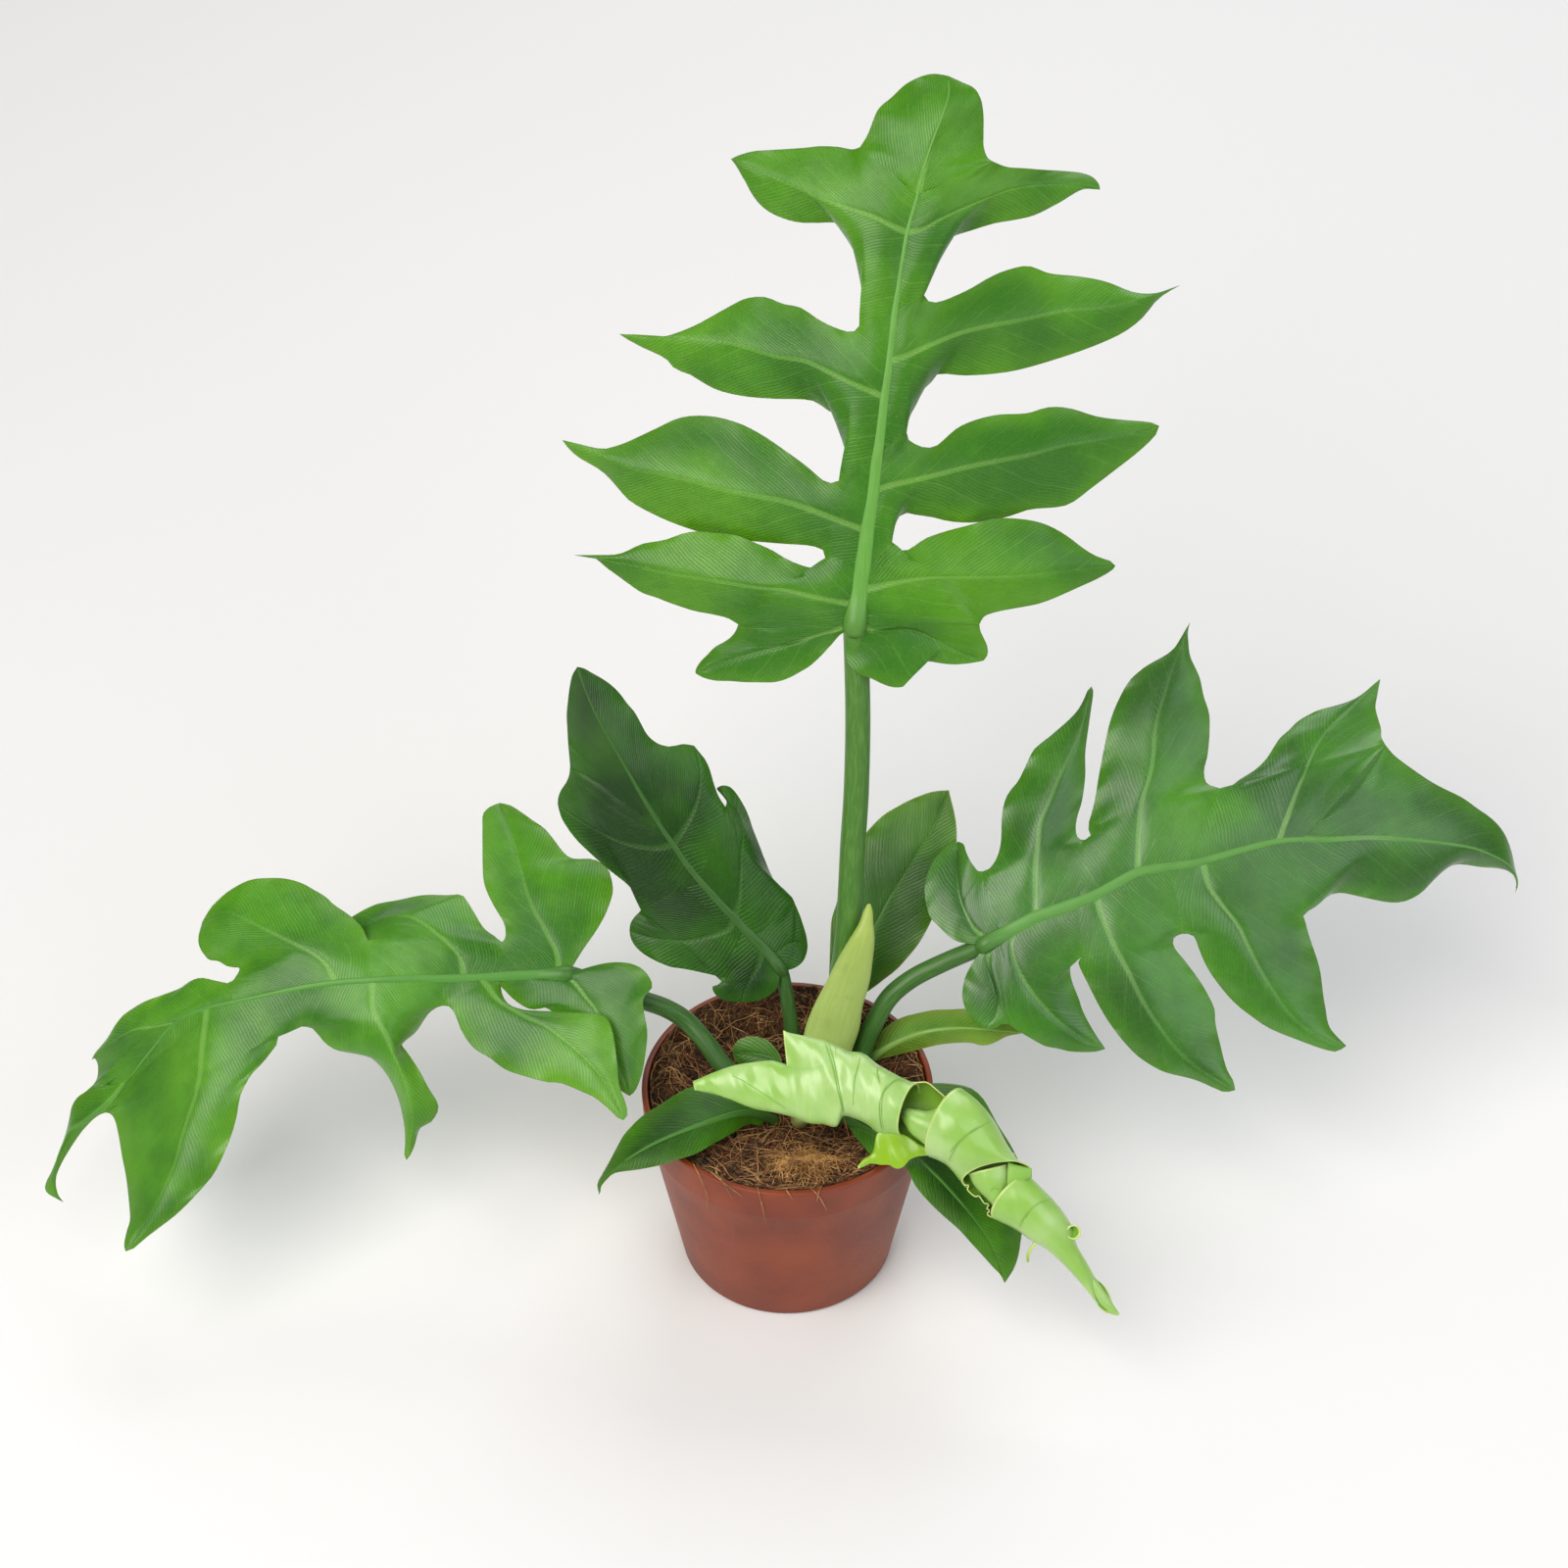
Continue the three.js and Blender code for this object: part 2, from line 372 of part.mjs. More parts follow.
      far: [[212.3, 69.5, 0], [213, 67.5], [214.5, 62], [219, 48], [220.5, 37], [221.5, 31],
        [222.3, 26], [223.5, 23], [226, 20]],
    },
  ],
  end: {
    tip: [299.6, 79, -36], arch: 5, sag: 2,
    near: [[212.3, 69.5, 0], [215, 72], [218, 73.7], [221, 76.5], [224, 78.5], [228, 79],
      [238, 76.9], [249, 75], [254, 75.5], [258, 77.2], [262, 80], [268, 87], [272, 89.8],
      [276, 90.8], [285, 89.7], [297, 88.3], [299.4, 86], [300.1, 82.8]],
    vein: [[225, 101], [235, 101.5], [245, 101.5], [265, 100], [275, 98.7], [283, 97.2],
      [290, 94.5], [295, 92], [299, 88], [300.4, 83.5]],
    far: [[246, 140, -20], [249, 136.3], [253, 133], [263, 126], [268, 123], [278, 118],
      [284, 113.7], [288, 111], [292, 107.5], [295, 103.5], [297, 99], [298.5, 94], [299.3, 90],
      [300.2, 86], [300.9, 82.8]],
  },
  stalk: [[29, -1.3, -10.5], [29.3, 5, -10], [31.2, 15, -8], [36, 26, -3], [42, 36, 0.5],
    [51, 43.5, 2.5], [65, 50.6, 4.5], [80, 57, 5.5]],
  stalkRadius: [4.2, 3.7], ribRadius: [3.0, 0.6],
};

const darkLeaf = {
  midrib: [
    [-2.3, 47, 15], [-6, 52, 16], [-10, 56.5, 17.5], [-14, 60.5, 18.8], [-18, 64.5, 20],
    [-22, 69, 21.5], [-27, 74, 23.5], [-31, 78.5, 25], [-36, 84, 27], [-42, 91.5, 29.5],
    [-47, 99, 32], [-52, 106, 34.5],
  ],
  lobes: [
    {
      at: [0, 1, 3], open: true, tip: [8.3, 57, 9], arch: 1, sag: 0,
      near: [[-1, 47.2], [0, 47.2], [2, 47.7], [4.5, 49], [6.5, 51], [7.8, 54]],
      vein: [[-3, 55], [0, 57.5], [4, 58.5]],
      far: [[2.6, 75.6, 12], [3.3, 74], [5, 70], [6.5, 65.5], [7.8, 61]],
    },
    {
      at: [3, 5, 8], tip: [-27, 123.2, 24], arch: 3, sag: 3,
      near: [[2.6, 75.6, 12], [2, 77], [0, 78.5], [-2, 79.7], [-6, 85], [-9.5, 93], [-11, 97],
        [-14.5, 106], [-15.8, 110], [-17.5, 114], [-21.5, 120.5], [-24, 122.8]],
      vein: [[-20.3, 75], [-19.5, 85], [-19.3, 95], [-18.5, 105], [-22, 115]],
      far: [[-25.5, 114.3, 29], [-25, 116.5], [-26, 118.5], [-28, 120.5], [-29, 122]],
    },
    {
      at: [8, 10, 11], tip: [-38.5, 139.6, 33], arch: 1, sag: 1,
      near: [[-25.5, 114.3, 29], [-27, 116.5], [-28.5, 119], [-30, 123], [-32.3, 130.5],
        [-34, 134], [-36, 136.5]],
      vein: [[-42, 107], [-38, 115], [-36, 125], [-36.6, 133]],
      far: [[-49, 139.2, 37], [-46, 139.6], [-43, 140.2]],
    },
    {
      at: [0, 2, 4], open: true, tip: [-19, 34, 13], arch: 1, sag: 0,
      near: [[-3, 45], [-4, 40.3], [-5.5, 38.3], [-8, 36.5], [-11, 35], [-15, 34.2]],
      vein: [[-12, 50], [-15, 44], [-17.5, 39]],
      far: [[-27, 42.5, 15], [-29, 41], [-30.8, 40.5], [-30.5, 38.5], [-29, 36.5], [-26.5, 35],
        [-23, 34.2]],
    },
    {
      at: [4, 5, 8], tip: [-65, 63.5, 15], arch: 1, sag: 0,
      near: [[-27, 42.5, 15], [-28, 44.2], [-30, 45], [-34, 46], [-43, 47.8], [-48, 48.5],
        [-52, 50], [-56, 52], [-60, 54.5], [-63, 57.5], [-64.5, 60.5]],
      vein: [[-24, 64.5], [-28, 62.5], [-35, 60.5], [-41, 59.5], [-54, 60.5]],
      far: [[-60.3, 72, 18], [-61, 71], [-63, 69], [-64.5, 66.5]],
    },
    {
      at: [8, 10, 11], tip: [-94.5, 115.5, 24], arch: 2, sag: 1,
      near: [[-60.3, 72, 18], [-60.8, 74], [-62, 77.5], [-64, 80.5], [-67, 83.5], [-74, 89],
        [-78, 92.5], [-85, 99], [-88.5, 103], [-91, 106.5], [-92.5, 109], [-93.8, 112.3]],
      vein: [[-54, 97.5], [-60, 98], [-68, 100], [-82, 107]],
      far: [[-89.4, 131, 32], [-89.8, 127.5], [-91, 124.5], [-93, 121.5], [-94.2, 118.5]],
    },
  ],
  end: {
    tip: [-86.5, 172, 46], arch: 4, sag: 1,
    near: [[-49, 139.2, 37], [-53, 140.3], [-56, 142.3], [-58, 144.5], [-61, 150], [-63, 153.5],
      [-66, 157], [-69, 161], [-72.5, 164.5], [-76, 167], [-80, 169.3], [-84, 171.5]],
    vein: [[-56, 112.5], [-60, 119], [-64, 126], [-68, 133], [-72, 140], [-76, 147], [-80, 155],
      [-83, 162], [-85.5, 169]],
    far: [[-89.4, 131, 32], [-89.7, 135], [-90.2, 140], [-90.5, 146], [-90.8, 152], [-90.3, 158],
      [-89.5, 164], [-88.5, 168.5]],
  },
  stalk: [[3, 0.75, -12.8], [3, 5, -10.5], [2.5, 13, -5], [1.2, 27, 4], [-0.5, 38, 9.5],
    [-2.3, 46.5, 12.5]],
  stalkRadius: [3.3, 2.8], ribRadius: [2.1, 0.6],
};

// Uncut juvenile leaves: one blade from the stalk end to the tip.

const backLeaf = {
  midrib: [[18, 32, -19]],
  lobes: [],
  end: {
    open: true, tip: [66.5, 121.2, -16], arch: 3, sag: -3,
    near: [[17, 35], [17.3, 48, -19], [17.7, 60], [18.2, 68], [20, 74, -20], [23.5, 86],
      [28, 97, -21], [33.5, 105], [40, 111.3], [45, 114.3], [50, 117], [60, 120.7]],
    vein: [[22, 39], [27, 47], [33, 58], [38, 68], [43, 78], [48, 86], [54.5, 97], [60, 106]],
    far: [[24, 33.5], [32.5, 38, -17], [40, 43.5], [45, 47.5], [50, 53], [54, 58, -16], [58.5, 66],
      [63, 76], [66.5, 86], [69.3, 96], [69.6, 106], [68.5, 113], [67.2, 118]],
  },
  stalk: [[14, 12.8, -26], [15.2, 18, -23.5], [16.6, 25, -21.5], [18, 32, -20.5]],
  stalkRadius: [2.5, 2.2], ribRadius: [1.8, 0.5],
};

const sideLeaf = {
  midrib: [[33, 9.5, -15]],
  lobes: [],
  end: {
    open: true, tip: [97.3, 21.4, -8], arch: 2, sag: 2,
    near: [[35, 9.6, -14.5], [40, 11, -12.5], [46, 12.5], [52, 14, -8], [58, 15.5], [64, 16.7, -4],
      [70, 17.3],
      [76, 17.2], [79, 16.3], [82, 16.2], [86, 17.7], [90, 19.8]],
    vein: [[40, 14.5, -11.5], [50, 19.5], [60, 22.3, -6], [72, 23.3], [84, 22.5]],
    far: [[35, 13, -15], [37, 18, -14], [39, 22, -13], [43, 25.5], [48, 28], [54, 29.5], [60, 30.7, -8],
      [67, 31], [75, 31.2], [83, 29.5], [91, 25.5]],
  },
  stalk: [[24, 5.4, -18], [24.8, 7.5, -17.5], [28.5, 8.8, -17.3], [33, 9.5, -16.3]],
  stalkRadius: [2.1, 1.9], ribRadius: [1.4, 0.5],
};

const frontLeftLeaf = {
  midrib: [[-8.5, -13.2, 8.5]],
  lobes: [],
  end: {
    open: true, tip: [-77.4, -45.2, 47], arch: 3, sag: 1,
    near: [[-11, -16.8, 10], [-13, -16.4], [-15, -16], [-18, -17], [-22, -19.5, 20],
      [-30, -24, 29], [-38, -28.5, 38], [-46, -31, 42], [-52, -33], [-62, -35], [-69, -35.8, 44],
      [-72, -36.7], [-74, -38.5], [-77, -42.3]],
    vein: [[-14, -11.8, 13], [-20, -11.8, 17], [-30, -14.5, 23], [-40, -18, 29], [-50, -22, 34],
      [-60, -27, 38], [-70, -34, 42], [-76.5, -40.5]],
    far: [[-9, -10.5, 9], [-14, -7, 11], [-20, -4.2, 13], [-27, -2], [-33, -1, 15], [-39, -0.8],
      [-45, -3.5, 18], [-53, -8.7, 23], [-57, -11], [-61, -14], [-64.5, -17.5, 29],
      [-67.5, -21], [-70, -25.5], [-74, -33], [-76, -36.5, 42], [-78.2, -41]],
  },
  stalk: [[-5, -14.6, 4.3], [-5.4, -14.4, 5.2], [-6.8, -13.8, 6.8], [-8.5, -13.2, 7.6]],
  stalkRadius: [2.2, 2], ribRadius: [1.7, 0.5],
};

const frontRightLeaf = {
  midrib: [[22, -13.6, 9]],
  lobes: [],
  end: {
    open: true, tip: [89.4, -81.6, 27], arch: 2, sag: 1,
    near: [[24, -15.4, 11], [27, -20, 18], [31, -25, 27], [35, -29.2, 34], [41, -31.5, 39],
      [48, -33, 42.5], [53, -42, 43], [61, -51], [71, -60], [76, -65.5, 38], [81, -71],
      [85, -75.5], [88, -78.5]],
    vein: [[31, -18, 16], [40, -22.5, 27], [50, -28, 32], [60, -36.5, 34], [70, -47, 33],
      [80, -60, 31], [86, -71]],
    far: [[24, -11, 9], [32, -6, 8], [42, -2, 8.5], [52, 0, 8], [59, 0.6, 7.5], [66, 0.5, 8],
      [75, -1.2], [79, -4, 9], [82, -8], [86, -15.5, 12], [93, -27, 15], [98, -40, 19],
      [98, -52], [96.3, -62, 24], [95, -70.5], [93, -76]],
  },
  stalk: [[16, -12, 1.4], [17, -12.2, 3.5], [19, -13, 6.2], [22, -13.6, 8]],
  stalkRadius: [2.2, 2], ribRadius: [1.7, 0.5],
};

const seedlingLeaf = {
  midrib: [[-2.3, 8.3, -12.5]],
  lobes: [],
  end: {
    open: true, tip: [-22.6, 13, -15], arch: 0.6, sag: -0.6,
    near: [[-2.5, 10.6], [-4.5, 14.5], [-8, 18], [-12, 19.7], [-16, 19.8], [-19.5, 18.8],
      [-22, 16]],
    vein: [[-6, 10.5], [-11, 12.2], [-17, 13]],
    far: [[-4, 6], [-7.5, 4.6], [-12, 4.6], [-16, 6], [-19.5, 8.3], [-21.8, 10.7]],
  },
  stalk: [[-4, -0.6, -11.3], [-3.8, 1.5, -11.3], [-3, 5, -12], [-2.3, 8.3, -13.2]],
  stalkRadius: [1, 0.8], ribRadius: [0.7, 0.4],
};

// Sheath: centre line and its half widths across and deep.
const SPEAR = [
  [16, -1.3, -10.5, 7.4, 3.2], [15.8, 6, -5, 8.4, 3.8], [16.4, 14, 0.5, 10.2, 4.6],
  [18.4, 23, 4.5, 11.2, 4.6], [20.8, 32, 9.8, 10.2, 4.2], [24.8, 42, 14.8, 9, 3.7],
  [28, 52, 19.5, 7.2, 3.2], [30.7, 60, 23, 5.2, 2.7], [32.4, 66.5, 24.2, 3, 2],
  [33.2, 71.5, 24.6, 1.9, 1.3], [33.6, 74.4, 24.7, 0.7, 0.6],
];

// Vectors and curves
const drawn = (p) => new THREE.Vector3(p[0], p[1], p[2]);

// A run of drawn points; a missing depth comes from its neighbours along the run.
function withDepths(points) {
  const run = points.map((p) => drawn([p[0], p[1], p[2] ?? NaN]));
  const along = [0];
  for (let i = 1; i < run.length; i += 1) {
    along.push(along[i - 1] + Math.hypot(run[i].x - run[i - 1].x, run[i].y - run[i - 1].y));
  }
  let last = 0;
  for (let i = 1; i < run.length; i += 1) {
    if (Number.isNaN(run[i].z)) continue;
    for (let j = last + 1; j < i; j += 1) {
      const share = (along[j] - along[last]) / (along[i] - along[last]);
      run[j].z = THREE.MathUtils.lerp(run[last].z, run[i].z, share);
    }
    last = i;
  }
  return run;
}

function smooth(points) {
  return new THREE.CatmullRomCurve3(points, false, 'centripetal');
}

function raise(run, start, amount) {
  run.forEach((p, i) => {
    if (i >= start) p.z += amount * Math.sin((Math.PI * (i - start)) / (run.length - 1 - start));
  });
  return run;
}

// Blade patches
// Rows of an edge: from the midrib step to the notch, and on to the tip.
function edgeRows(step, edge, lobe) {
  const run = raise(withDepths([step.toArray(), ...edge, lobe.tip]), lobe.open ? 0 : 1, -lobe.sag);
  const rows = WEB_ROWS + LOBE_ROWS;
  const points = [];
  if (edge === lobe.near && lobe.open) {
    const curve = smooth(run);
    for (let i = 0; i <= rows; i += 1) points.push(curve.getPointAt(i / rows));
    return points;
  }
  for (let i = 0; i < WEB_ROWS; i += 1) {
    points.push(run[0].clone().lerp(run[1], i / WEB_ROWS));
  }
  const curve = smooth(run.slice(1));
  for (let i = 0; i <= LOBE_ROWS; i += 1) points.push(curve.getPointAt(i / LOBE_ROWS));
  return points;
}

// Rows of the vein: level with the notches first, then on to the tip.
function veinRows(step, lobe, near, far) {
  const run = raise(withDepths([step.toArray(), ...lobe.vein, lobe.tip]), 0, lobe.arch);
  const curve = smooth(run);
  const middle = near[WEB_ROWS].clone().add(far[WEB_ROWS]).multiplyScalar(0.5);
  let level = 0;
  let nearest = Infinity;
  for (let i = 2; i <= 30; i += 1) {
    const p = curve.getPointAt(i / 50);
    const d = Math.hypot(p.x - middle.x, p.y - middle.y);
    if (d < nearest) {
      nearest = d;
      level = i / 50;
    }
  }
  const points = [];
  for (let i = 0; i <= WEB_ROWS + LOBE_ROWS; i += 1) {
    const share = i <= WEB_ROWS
      ? (level * i) / WEB_ROWS
      : level + ((1 - level) * (i - WEB_ROWS)) / LOBE_ROWS;
    points.push(curve.getPointAt(Math.min(share, 1)));
  }
  return points;
}

// Points between an edge row and the vein, each half of the lobe a little swollen.
function rowPoint(edge, vein, share) {
  const p = edge.clone().lerp(vein, share);
  p.z += 0.05 * Math.hypot(edge.x - vein.x, edge.y - vein.y) * Math.sin(Math.PI * share);
  return p;
}

function addPatch(patches, grid) {
  let area = 0;
  const faces = [];
  for (let i = 0; i + 1 < grid.length; i += 1) {
    for (let j = 0; j + 1 < grid[i].length; j += 1) {
      const [a, b, c, d] = [grid[i][j], grid[i][j + 1], grid[i + 1][j + 1], grid[i + 1][j]];
      area += (c.x - a.x) * (d.y - b.y) - (c.y - a.y) * (d.x - b.x);
      const slant = (i + j) % 2 === 0;
      faces.push(...(slant ? [[a, b, c], [a, c, d]] : [[a, b, d], [b, c, d]]));
    }
  }
  for (const [a, b, c] of faces) patches.push(area > 0 ? [a, b, c] : [a, c, b]);
}

function lobePatch(patches, stations, lobe) {
  const [first, middle, last] = lobe.at.map((step) => step * STEPS);
  const near = edgeRows(stations[first], lobe.near, lobe);
  const far = edgeRows(stations[last], lobe.far, { ...lobe, open: false });
  const vein = veinRows(stations[middle], lobe, near, far);
  const grid = near.map((start, i) => {
    const row = [];
    for (let j = first; j <= last; j += 1) {
      if (i === 0) row.push(stations[j]);
      else if (j <= middle) row.push(rowPoint(start, vein[i], (j - first) / (middle - first)));
      else row.push(rowPoint(far[i], vein[i], (last - j) / (last - middle)));
    }
    return row;
  });
  addPatch(patches, grid);
}

// The end of a blade, or a whole uncut blade, with the midrib as its vein.
function endPatch(patches, start, end) {
  const whole = end.open;
  const rows = whole ? ENTIRE_ROWS : WEB_ROWS + LOBE_ROWS;
  const line = (edge, lift) => {
    const run = raise(withDepths([start.toArray(), ...edge, end.tip]), 0, lift);
    const curve = smooth(run);
    return (i) => curve.getPointAt(i / rows);
  };
  const sides = [end.near, end.far].map((edge) => {
    if (whole) return line(edge, -end.sag);
    const points = edgeRows(start, edge, { ...end, near: null });
    return (i) => points[i];
  });
  const vein = line(end.vein, end.arch);
  const half = 3;
  const grid = [];
  for (let i = 0; i <= rows; i += 1) {
    const row = [];
    for (let j = 0; j <= 2 * half; j += 1) {
      const side = j <= half ? sides[0](i) : sides[1](i);
      row.push(rowPoint(side, vein(i), j <= half ? j / half : (2 * half - j) / half));
    }
    grid.push(row);
  }
  addPatch(patches, grid);
}

// Solids
function geometryOf(points, faces) {
  const geometry = new THREE.BufferGeometry();
  const flat = points.flatMap((p) => [p.x, p.y, p.z]);
  geometry.setAttribute('position', new THREE.Float32BufferAttribute(flat, 3));
  geometry.setIndex(faces.flat());
  return geometry;
}

function solidOf(geometry) {
  const plain = new THREE.BufferGeometry();
  const source = geometry.index ? geometry.toNonIndexed() : geometry;
  plain.setAttribute('position', source.getAttribute('position'));
  const merged = mergeVertices(plain, 1e-4);
  const faces = [];
  for (let i = 0; i < merged.index.count; i += 3) {
    const [a, b, c] = merged.index.array.slice(i, i + 3);
    if (a !== b && b !== c && c !== a) faces.push(a, b, c);
  }
  return new Manifold(new Mesh({
    numProp: 3,
    vertProperties: new Float32Array(merged.getAttribute('position').array),
    triVerts: new Uint32Array(faces),
  }));
}

function geometryFrom(solid) {
  const mesh = solid.getMesh();
  const geometry = new THREE.BufferGeometry();
  const flat = [];
  for (let i = 0; i < mesh.numVert; i += 1) {
    flat.push(...mesh.vertProperties.slice(i * mesh.numProp, i * mesh.numProp + 3));
  }
  geometry.setAttribute('position', new THREE.Float32BufferAttribute(flat, 3));
  geometry.setIndex(Array.from(mesh.triVerts));
  return geometry;
}

// A sheet of triangles thickened to both sides, with walls along its open edges.
function shell(triangles, thickness) {
  const points = [];
  const numbers = new Map();
  const number = (p) => {
    const key = [p.x, p.y, p.z].map((v) => Math.round(v * 1000)).join(' ');
    if (!numbers.has(key)) {
      numbers.set(key, points.length);
      points.push(place(p));
    }
    return numbers.get(key);
  };
  const faces = triangles.map((t) => t.map(number));
  const real = faces.filter(([a, b, c]) => a !== b && b !== c && c !== a);
  const sheet = geometryOf(points, real);
  sheet.computeVertexNormals();
  const normals = sheet.getAttribute('normal');
  const lift = (side) => points.map((p, i) => {
    const normal = new THREE.Vector3().fromBufferAttribute(normals, i);
    return p.clone().addScaledVector(normal, (side * thickness) / 2);
  });
  const count = points.length;
  const edges = new Set(real.flatMap(([a, b, c]) => [`${a} ${b}`, `${b} ${c}`, `${c} ${a}`]));
  const walls = [...edges].map((edge) => edge.split(' ').map(Number))
    .filter(([a, b]) => !edges.has(`${b} ${a}`))
    .flatMap(([a, b]) => [[b, a, a + count], [b, a + count, b + count]]);
  const back = real.map(([a, b, c]) => [a + count, c + count, b + count]);
  return geometryOf([...lift(1), ...lift(-1)], [...real, ...back, ...walls]);
}

// A closed body through rings of equal point count, from the first ring to the last.
function loft(rings) {
  const sides = rings[0].length;
  const points = rings.flat();
  const faces = [];
  for (let i = 0; i + 1 < rings.length; i += 1) {
    for (let j = 0; j < sides; j += 1) {
      const [a, b] = [i * sides + j, i * sides + ((j + 1) % sides)];
      faces.push([a, b, b + sides], [a, b + sides, a + sides]);
    }
  }
  for (const [ring, flip] of [[0, true], [rings.length - 1, false]]) {
    const centre = new THREE.Vector3();
    rings[ring].forEach((p) => centre.addScaledVector(p, 1 / sides));
    points.push(centre);
    for (let j = 0; j < sides; j += 1) {
      const [a, b] = [ring * sides + j, ring * sides + ((j + 1) % sides)];
      faces.push(flip ? [b, a, points.length - 1] : [a, b, points.length - 1]);
    }
  }
  return geometryOf(points, faces);
}

// A tapered stalk through points in space.
function stalkBody(points, radii, sides, rings) {
  const curve = smooth(points);
  const loops = [];
  for (let i = 0; i <= rings; i += 1) {
    const tangent = curve.getTangentAt(i / rings);
    const side = new THREE.Vector3().crossVectors(tangent, toward).normalize();
    const front = new THREE.Vector3().crossVectors(side, tangent);
    const radius = THREE.MathUtils.lerp(radii[0], radii[1], i / rings);
    const centre = curve.getPointAt(i / rings);
    loops.push(Array.from({ length: sides }, (_, j) => {
      const angle = (2 * Math.PI * j) / sides;
      return centre.clone()
        .addScaledVector(side, radius * Math.cos(angle))
        .addScaledVector(front, radius * Math.sin(angle));
    }));
  }
  return loft(loops);
}

// A closed body whose faces look outwards.
function orient(solid) {
  if (solid.volume() > 0) return solid;
  const mesh = solid.getMesh();
  const turned = new Uint32Array(mesh.triVerts);
  for (let i = 0; i < turned.length; i += 3) {
    [turned[i + 1], turned[i + 2]] = [turned[i + 2], turned[i + 1]];
  }
  const positions = geometryFrom(solid).getAttribute('position').array;
  return new Manifold(new Mesh({ numProp: 3, vertProperties: positions, triVerts: turned }));
}

// The outer surface alone, so that pockets sealed between joined pieces are filled.
function filled(solid) {
  return solid.decompose().reduce((a, b) => (b.volume() > a.volume() ? b : a));
}

// Leaves
// The centre line of a stalk that stands upright in the soil.
function stalkLine(stalk, gap) {
  const [foot, ...rest] = stalk.map((p) => place(drawn(p)));
  const bottom = foot.clone().setZ(SOIL_TOP - HOLE_DEPTH + gap);
  return [bottom, foot.setZ(SOIL_TOP - 2), ...rest];
}

function stalkSolid(points, radii) {
  return orient(solidOf(stalkBody(points, radii, 8, 10)));
}

// The midrib, half sunk in the underside of the blade.
function ribSolid(leaf, start) {
  const [thick, thin] = leaf.ribRadius;
  const { vein, tip, arch } = leaf.end;
  const joint = leaf.midrib.length - 1;
  const run = withDepths([...leaf.midrib, ...vein, [tip[0], tip[1], tip[2] - 0.5]]);
  const points = run.slice(0, -1).map((p, i) => {
    const share = i / (run.length - 1);
    const rise = i > joint ? Math.sin((Math.PI * (i - joint)) / (run.length - 1 - joint)) : 0;
    const sunk = RIB_SINK * THREE.MathUtils.lerp(thick, thin, share);
    return place(new THREE.Vector3(p.x, p.y, p.z + arch * rise - sunk));
  });
  return orient(solidOf(stalkBody([start, ...points.slice(1)], [thick, thin], 5, 12)));
}

function leafSolid(leaf) {
  const run = leaf.midrib.map(drawn);
  const patches = [];
  let stations = run;
  if (run.length > 1) {
    const curve = smooth(run);
    const count = (run.length - 1) * STEPS;
    stations = Array.from({ length: count + 1 }, (_, i) => curve.getPoint(i / count));
  }
  for (const lobe of leaf.lobes) lobePatch(patches, stations, lobe);
  endPatch(patches, stations[stations.length - 1], leaf.end);
  const blade = orient(solidOf(shell(patches, BLADE_THICKNESS)));
  const line = stalkLine(leaf.stalk, HOLE_GAP);
  const stalk = stalkSolid(line, leaf.stalkRadius);
  return filled(blade.add(stalk).add(ribSolid(leaf, line[line.length - 1])));
}

// Pot
const bandLevel = POT_HEIGHT - RIM_BAND;
const neck = RIM_DIAMETER / 2 - RIM_STEP - 0.6;

// Outer radius of the tapered wall at a height.
function wallRadius(z) {
  return THREE.MathUtils.lerp(BASE_DIAMETER / 2, neck, THREE.MathUtils.clamp(z / bandLevel, 0, 1));
}

function lathe(profile, segments) {
  const points = profile.map(([x, y]) => new THREE.Vector2(x, y));
  return new THREE.LatheGeometry(points, segments).rotateX(Math.PI / 2);
}

function potSolid() {
  const [rim, base] = [RIM_DIAMETER / 2, BASE_DIAMETER / 2];
  let pot = orient(solidOf(lathe([
    [0, 0], [base - 1.6, 0], [base, 1.2], [neck, bandLevel], [rim - 0.5, bandLevel + 0.8],
    [rim, POT_HEIGHT - 2.6], [rim, POT_HEIGHT - 1], [rim - 0.9, POT_HEIGHT],
    [rim - WALL - 0.6, POT_HEIGHT], [rim - WALL - 0.9, POT_HEIGHT - 1],
    [neck - WALL, bandLevel - 1], [wallRadius(FLOOR) - WALL, FLOOR], [0, FLOOR],
  ], POT_SEGMENTS)));
  for (let i = 0; i < DRAIN_HOLES; i += 1) {
    const angle = (2 * Math.PI * (i + 0.5)) / DRAIN_HOLES;
    const radius = DRAIN_HOLE_DIAMETER / 2;
    const hole = new THREE.CylinderGeometry(radius, radius, 4 * FLOOR, 16).rotateX(Math.PI / 2);
    hole.translate(DRAIN_HOLE_RADIUS * Math.cos(angle), DRAIN_HOLE_RADIUS * Math.sin(angle), 0);
    pot = pot.subtract(solidOf(hole));
  }
  return pot;
}

// Soil
const soilRadius = (z) => wallRadius(z) - WALL - SOIL_GAP;

// Rough coir, higher along the wall and in the clump near the front.
function soilHeight(x, y) {
  const edge = THREE.MathUtils.smoothstep(Math.hypot(x, y), 34, 52);
  const rough = 0.7 * Math.sin(0.31 * x + 1.3) * Math.cos(0.27 * y)
    + 0.5 * Math.sin(0.53 * y + 0.2 * x) + 0.35 * Math.sin(0.83 * x - 0.61 * y);
  const clump = Math.exp(-(((x - 8) / 16) ** 2) - ((y + 43) / 9) ** 2);
  return SOIL_TOP - 0.6 + edge * (rough + EDGE_HEIGHT) + CLUMP_HEIGHT * clump;
}

